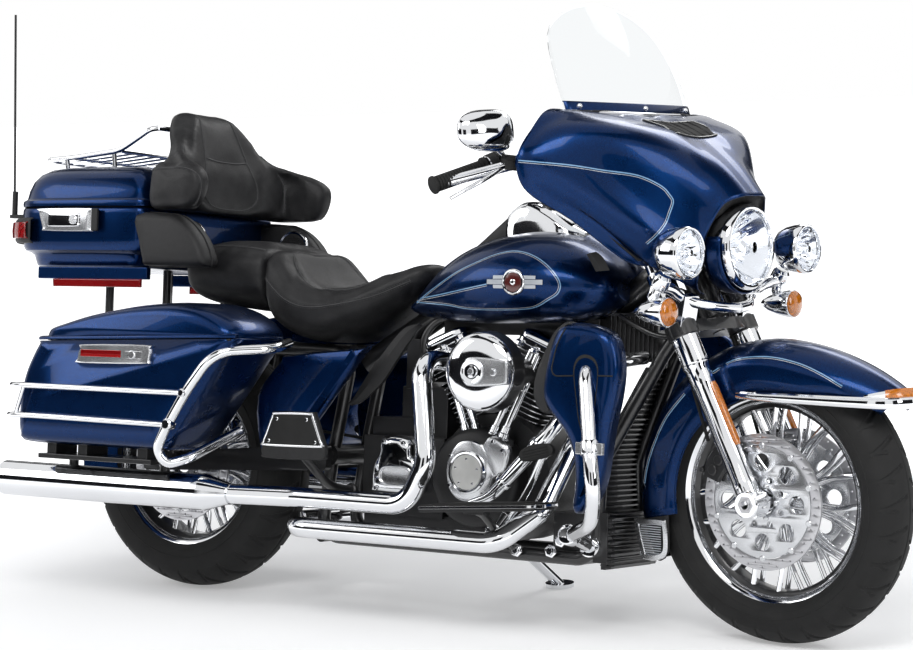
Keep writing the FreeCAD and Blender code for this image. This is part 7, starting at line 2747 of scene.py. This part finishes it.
def on_dash(y, z):
    """Where a line forward from the rider meets the panel, and the way it faces."""
    spot, normal, index, distance = dash_tree.ray_cast(
        FORK @ Vector((100, y, z - tyre_radius)), FORK.to_3x3() @ Vector((1, 0, 0))
    )
    out = FORK.to_3x3().inverted() @ normal
    return FORK.inverted() @ spot, (out if out.x < 0 else -out).normalized()


def gauge(name, y, z, radius):
    spot, out = on_dash(y, z)
    front = spot + out * 8
    add(
        name + "_bezel",
        turned_on(
            spot - out * 3, front,
            [
                (0, radius), (0.7, radius + 2), (1.0, radius), (1.0, radius - 4), (0.8, radius - 5),
                (0.5, radius - 5.5)
            ],
            48
        ),
        fork, "chrome", "instrument_panel"
    )
    add(
        name + "_face", turned_on(spot, spot + out * 2.4, [(0, radius - 4), (1.0, radius - 4.5)], 48),
        fork, "dial", "instrument_panel"
    )
    side = out.cross(Vector((0, 0, 1))).normalized()
    rise = side.cross(out).normalized()
    ticks = []
    for k in range(13):
        a = math.radians(225 - 22.5 * k)
        way = side * math.cos(a) + rise * math.sin(a)
        ticks.append(
            rod(
                spot + out * 2.6 + way * (radius * 0.68), spot + out * 2.6 + way * (radius * 0.82), 0.8, 6
            )
        )
    way = side * math.cos(2.4) + rise * math.sin(2.4)
    ticks.append(
        tube(
            [spot + out * 3.4 - way * radius * 0.15, spot + out * 3.4 + way * radius * 0.66], 1.2, bend=0,
            sides=6, widths=[1.8, 0.6]
        )
    )
    add(name + "_marks", joined(*ticks), fork, "black_and_shade", "instrument_panel")


for number, (y, z, radius) in enumerate(
    (
        (-58, 1078, 43), (58, 1078, 43), (-140, 1108, 25), (140, 1108, 25), (-140, 1050, 25),
        (140, 1050, 25)
    )
):
    gauge("gauge_%d" % number, y, z, radius)
spot, out = on_dash(0, 1002)
deck = moved(block(-4, 4, -92, 92, -27, 27), Matrix.Translation(spot + out * 2))
keys = [
    moved(block(-3, 3, -11, 11, -6, 6), Matrix.Translation(spot + out * 7 + Vector((0, y, -17))))
    for y in (-66, -40, -14, 14, 40, 66)
]
knobs = [
    turned_on(
        spot + out * 4 + Vector((0, y, 6)), spot + out * 18 + Vector((0, y, 6)),
        [(0, 13), (0.2, 13), (0.3, 11), (0.9, 10.5), (1, 9)], 28
    )
    for y in (-76, 76)
]
add("radio_deck", joined(deck, *keys), fork, "black", "instrument_panel", bevel=1.2)
add(
    "radio_screen", moved(block(-1, 1, -55, 55, -8, 14), Matrix.Translation(spot + out * 6.6)), fork,
    "black_and_shade", "instrument_panel", bevel=0.8
)
add("radio_knobs", joined(*knobs), fork, "chrome", "instrument_panel")
for side, label in ((-1, "right"), (1, "left")):
    spot, out = on_dash(side * 252, 1080)
    add(
        "fairing_speaker_ring_" + label,
        turned_on(
            spot - out * 3, spot + out * 7, [(0, 60), (0.8, 60), (1.0, 57), (0.9, 53), (0.5, 52)], 48
        ),
        fork, "black", "instrument_panel"
    )
    turn_to = (FORK.to_3x3().inverted().to_4x4() @ FORK.to_3x3().to_4x4())
    cone = [turned_on(spot, spot + out * 3.5, [(0, 53), (0.6, 53), (1.0, 20), (1.2, 10)], 48)]
    face_side = out.cross(Vector((0, 0, 1))).normalized()
    face_up = face_side.cross(out).normalized()
    for k in range(-6, 7):
        reach = math.sqrt(max(1.0, 52 ** 2 - (k * 8) ** 2))
        cone.append(
            rod(
                spot + out * 5 + face_up * k * 8 - face_side * reach,
                spot + out * 5 + face_up * k * 8 + face_side * reach, 1.3, 6
            )
        )
    add("fairing_speaker_" + label, joined(*cone), fork, "plastic", "instrument_panel")


# Grips, switch housings, levers' pivots and reservoirs
grip_in, grip_out = Vector((254, 340, 744)), Vector((205, 468, 702))
profile = [(0.0, 17), (0.015, 23), (0.05, 23), (0.06, 17)]
for k in range(16):
    start = 0.08 + k * 0.053
    profile += [(start, 16.6), (start + 0.006, 18.2), (start + 0.040, 18.2), (start + 0.046, 16.6)]
profile += [(0.945, 17), (0.955, 21), (0.985, 21), (1.0, 18)]
pair("grip", turned_on(grip_in, grip_out, profile, 36), fork, "rubber", node="grips")
along = (grip_out - grip_in).normalized()
house = grip_in - along * 24
switch_case = turned_on(
    house - along * 22, house + along * 20,
    [(0, 19), (0.06, 25), (0.46, 26), (0.49, 24.6), (0.52, 26), (0.94, 25), (1, 19)], 28
)
buttons = [
    turned_on(
        house + along * dx + Vector((-22, 0, dz)), house + along * dx + Vector((-31, 0, dz)),
        [(0, 6), (0.8, 6), (1, 5)], 20
    )
    for dx, dz in ((-10, 6), (8, 8), (-2, -10))
]
pair("switch_case", joined(switch_case, *buttons), fork, "plastic")
bowl = [(0, 20), (0.06, 22), (0.62, 23), (0.64, 25), (0.95, 25), (1.0, 22)]
foot = house + Vector((40, -6, -16))
pair(
    "reservoir",
    joined(
        turned_on(foot, foot + Vector((4, -2, 34)), bowl, 28),
        tube([foot + Vector((0, 0, 14)), house + Vector((10, 0, 6))], 8, bend=0, sides=12)
    ),
    fork, "plastic"
)


# Levers with a ball end ahead of the grips
lever_path = smooth_line(
    [house + Vector((26, 0, -8)), (296, 352, 732), (288, 392, 712), (268, 432, 690), (250, 458, 673)], 5
)
lever = tube(
    lever_path, 6, bend=0, sides=16, squash=0.7,
    widths=[9] + [8 - 3.2 * k / (len(lever_path) - 2) for k in range(len(lever_path) - 1)]
)
lever_ball = turned_on(
    lever_path[-1] - Vector((3, -7, 4)), lever_path[-1] + Vector((-3, 7, -4)),
    [(0, 0.5), (0.1, 5), (0.35, 8), (0.65, 8), (0.9, 5), (1, 0.5)], 24
)
perch = turned_on(
    house + along * 22, house + along * 4 + Vector((1, 0, 0)), [(0, 18), (0.1, 23), (0.9, 23), (1, 18)],
    28
)
perch_arm = tube(
    [house + along * 12, house + Vector((20, 2, -4)), house + Vector((34, 0, -10))], 9, bend=0, sides=16
)
pair("lever", joined(lever, lever_ball, perch, perch_arm), fork, "chrome", node="hand_controls")


# Mirrors: domed chrome shell, glass toward the rider, a curved stem
def oval_ring(centre, out, half_a, half_b, push, power=0.72, count=48):
    side = out.cross(Vector((0, 0, 1))).normalized()
    rise = side.cross(out).normalized()
    points = []
    for k in range(count):
        a = 2 * math.pi * k / count
        c, s = math.cos(a), math.sin(a)
        points.append(
            centre + out * push + side * (half_a * abs(c) ** power * (1 if c > 0 else -1)) + rise * (
                half_b * (1 + 0.14 * c) * abs(s) ** power * (1 if s > 0 else -1)
            )
        )
    return points


mirror_at, mirror_out = Vector((318, 411, 822)), Vector((1, 0.25, 0.10)).normalized()
dome = [
    (-9, 69, 41), (-11, 73, 44.5), (-6, 75, 46.5), (0, 74, 46), (9, 67, 41), (17, 53, 31), (23, 34, 19),
    (26, 12, 6)
]
pair(
    "mirror_shell", loft([oval_ring(mirror_at, mirror_out, a, b, push) for push, a, b in dome]), fork,
    "chrome", node="mirrors"
)
pair(
    "mirror_glass",
    loft(
        [
            oval_ring(mirror_at, mirror_out, a, b, push) for push, a,
            b in ((-8, 68, 40.5), (-11.5, 68, 40.5), (-12, 67, 39.5))
        ]
    ),
    fork, "mirror", node="mirrors"
)
pair(
    "mirror_stem",
    tube(
        smooth_line(
            [
                house + Vector((16, 0, 14)), (300, 334, 768), (322, 372, 776), (326, 404, 792),
                mirror_at + Vector((10, 0, -20))
            ],
            6
        ),
        6.5, bend=0, sides=16, widths=[8, 6.5, 6, 7.5]
    ),
    fork, "chrome", node="mirrors"
)


# Painted lines of the fairing and the front fender
side_line = [
    (518.4, 160.3), (568.9, 164.9), (603.3, 170.2), (637.7, 175.3), (660.7, 185.6), (669.9, 194.8),
    (673.3, 201.7), (669.9, 213.1), (665.3, 224.6), (656.1, 236.1), (646.9, 244.1)
]
twin_stripe("fairing_line", trace(side_line, fairing_piece, fork), fairing_piece, fork)
crest_line = [
    (712.9, 371.8), (732.2, 360.6), (752.7, 356.9), (775.1, 357.6), (799.6, 363.7), (820, 372.9),
    (842.4, 386.1)
]
skirt_line = [(685.3, 394.3), (666.9, 417.8), (654.7, 444.3), (646.5, 472.9), (642.9, 509.6)]
twin_stripe("fender_crest_line", trace(crest_line, front_fender, fork), front_fender, fork)
twin_stripe("fender_skirt_line", trace(skirt_line, front_fender, fork), front_fender, fork)


# Rear lamp on the fender, and the left side's covers with their bolts
add(
    "fender_lamp_case",
    turned_on(
        (-958, 0, 300), (-1062, 0, 300),
        [(0, 20), (0.15, 36), (0.55, 46), (0.9, 49), (0.97, 51), (1.0, 51)], 48
    ),
    chassis, "chrome", "tail_lamps"
)
add(
    "fender_lamp_lens",
    turned_on(
        (-1062, 0, 300), (-1081, 0, 300), [(0, 49), (0.35, 48), (0.75, 40), (0.95, 22), (1.0, 4)], 48
    ),
    chassis, "red", "tail_lamps"
)
add(
    "derby_cover",
    lathe(
        [(74, 208), (74, 214), (70, 219), (54, 222), (50, 221), (46, 223), (0.5, 224.5)], 64,
        centre=(-120, 0, 10)
    ),
    chassis, "chrome"
)
add(
    "stator_cover",
    lathe([(88, 208), (86, 214), (60, 221), (30, 223), (0.5, 223.5)], 64, centre=(125, 0, 10)), chassis,
    "chrome"
)
derby_bolts = [
    turned_on(
        (-120 + 60 * math.cos(a), 219, 10 + 60 * math.sin(a)),
        (-120 + 60 * math.cos(a), 225, 10 + 60 * math.sin(a)), [(0, 5), (0.7, 5), (1, 3.5)], 6
    )
    for a in [2 * math.pi * k / 5 + 0.3 for k in range(5)]
]
edge_bolts = [
    turned_on((x, 209, z), (x, 214.5, z), [(0, 5), (0.7, 5), (1, 3.8)], 6) for x,
    z in ((-30, 112), (30, 108), (-30, -98), (30, -94), (226, 40), (226, -20), (-232, 50), (-232, -30))
]
add("primary_bolts", joined(*(derby_bolts + edge_bolts)), chassis, "alloy")


# Studio
def background_rays(tree):
    """One for rays that show the background: to the camera, mirrored or through glass."""
    paths = tree.nodes.new("ShaderNodeLightPath")
    total = paths.outputs["Is Camera Ray"]
    for name in ("Is Glossy Ray", "Is Transmission Ray"):
        both = tree.nodes.new("ShaderNodeMath")
        both.operation = "MAXIMUM"
        tree.links.new(total, both.inputs[0])
        tree.links.new(paths.outputs[name], both.inputs[1])
        total = both.outputs["Value"]
    return total


def flag(name, low, high, gaps):
    """Dark cards in a ring far off, seen only in what mirrors them."""
    verts, faces = [], []
    for start, end in gaps:
        base = len(verts)
        count = 12
        for k in range(count + 1):
            a = math.radians(start + (end - start) * k / count)
            for radius, z in (low, high):
                verts.append((radius * math.cos(a), radius * math.sin(a), z))
        faces += [
            (base + 2 * k, base + 2 * k + 2, base + 2 * k + 3, base + 2 * k + 1) for k in range(count)
        ]
    mesh = shape_mesh(name, verts, faces)
    card = bpy.data.objects.new(name, mesh)
    scene.collection.objects.link(card)
    s = Shade("flag_cloth_" + name, specular_ior_level=0.0, roughness=1.0)
    s.link(s.ramp(s.noise(0.4), [(0.3, (0.012, 0.012, 0.014)), (0.7, (0.03, 0.03, 0.034))]), "Base Color")
    mesh.materials.append(s.material)
    card.visible_camera = card.visible_diffuse = card.visible_shadow = card.visible_transmission = False


def studio():
    low = min(cad_box[0][2], 0.0)
    size = 60.0
    verts = [
        (-size, -size, low - 0.0005), (size, -size, low - 0.0005), (size, size, low - 0.0005),
        (-size, size, low - 0.0005)
    ]
    mesh = shape_mesh("floor", verts, [(0, 1, 2, 3)])
    floor = bpy.data.objects.new("floor", mesh)
    scene.collection.objects.link(floor)
    s = Shade("floor_paint", roughness=0.85, specular_ior_level=0.1)
    s.link(s.ramp(s.noise(1.4), [(0.3, (0.80, 0.80, 0.80)), (0.7, (0.83, 0.83, 0.83))]), "Base Color")
    s.bump(s.noise(60.0), 0.03, 0.001)
    away = s.add("VectorMath", {0: s.place()}, operation="LENGTH").outputs["Value"]
    glow = s.add(
        "MapRange", {"Value": away, "From Min": 0.9, "From Max": 3.6, "To Min": 0.30, "To Max": 1.0},
        interpolation_type="SMOOTHSTEP"
    ).outputs["Result"]
    s.link(
        s.add("Math", {0: glow, 1: background_rays(s.tree)}, operation="MULTIPLY").outputs["Value"],
        "Emission Strength"
    )
    s.shader.inputs["Emission Color"].default_value = (1, 1, 1, 1)
    mesh.materials.append(s.material)
    world = bpy.data.worlds.new("studio")
    world.use_nodes = True
    tree = world.node_tree
    background = tree.nodes["Background"]
    pick = tree.nodes.new("ShaderNodeMixRGB")
    pick.inputs["Color1"].default_value = (0.42, 0.43, 0.45, 1)
    pick.inputs["Color2"].default_value = (1, 1, 1, 1)
    tree.links.new(background_rays(tree), pick.inputs["Fac"])
    tree.links.new(pick.outputs["Color"], background.inputs["Color"])
    scene.world = world
    lamps = [
        ("key", (1.5, -3.5, 4.2), (3.0, 1.6), 120.0), ("fill", (-3.5, -2.5, 2.6), (2.0, 2.0), 45.0),
        ("rim", (0.5, 3.5, 3.6), (3.0, 0.9), 45.0), ("front", (4.5, -1.0, 2.2), (1.2, 2.4), 45.0),
    ]
    for name, place_at, size_xy, watts in lamps:
        light = bpy.data.lights.new(name, "AREA")
        light.shape, light.size, light.size_y, light.energy = "RECTANGLE", *size_xy, watts
        lamp_object = bpy.data.objects.new(name, light)
        lamp_object.location = place_at
        aim = Vector((0, 0, 0.5)) - Vector(place_at)
        lamp_object.rotation_euler = aim.to_track_quat("-Z", "Y").to_euler()
        scene.collection.objects.link(lamp_object)


studio()
flag("horizon_cards", (9.0, 0.25), (9.0, 3.2), [(-165, -100), (-85, -62), (-40, 20), (40, 100), (115, 170)])
flag("back_cards", (8.0, 3.4), (5.4, 5.6), [(98, 150)])
flag("upper_cards", (5.0, 5.6), (3.6, 6.6), [(-170, -70), (-40, 70), (95, 160)])
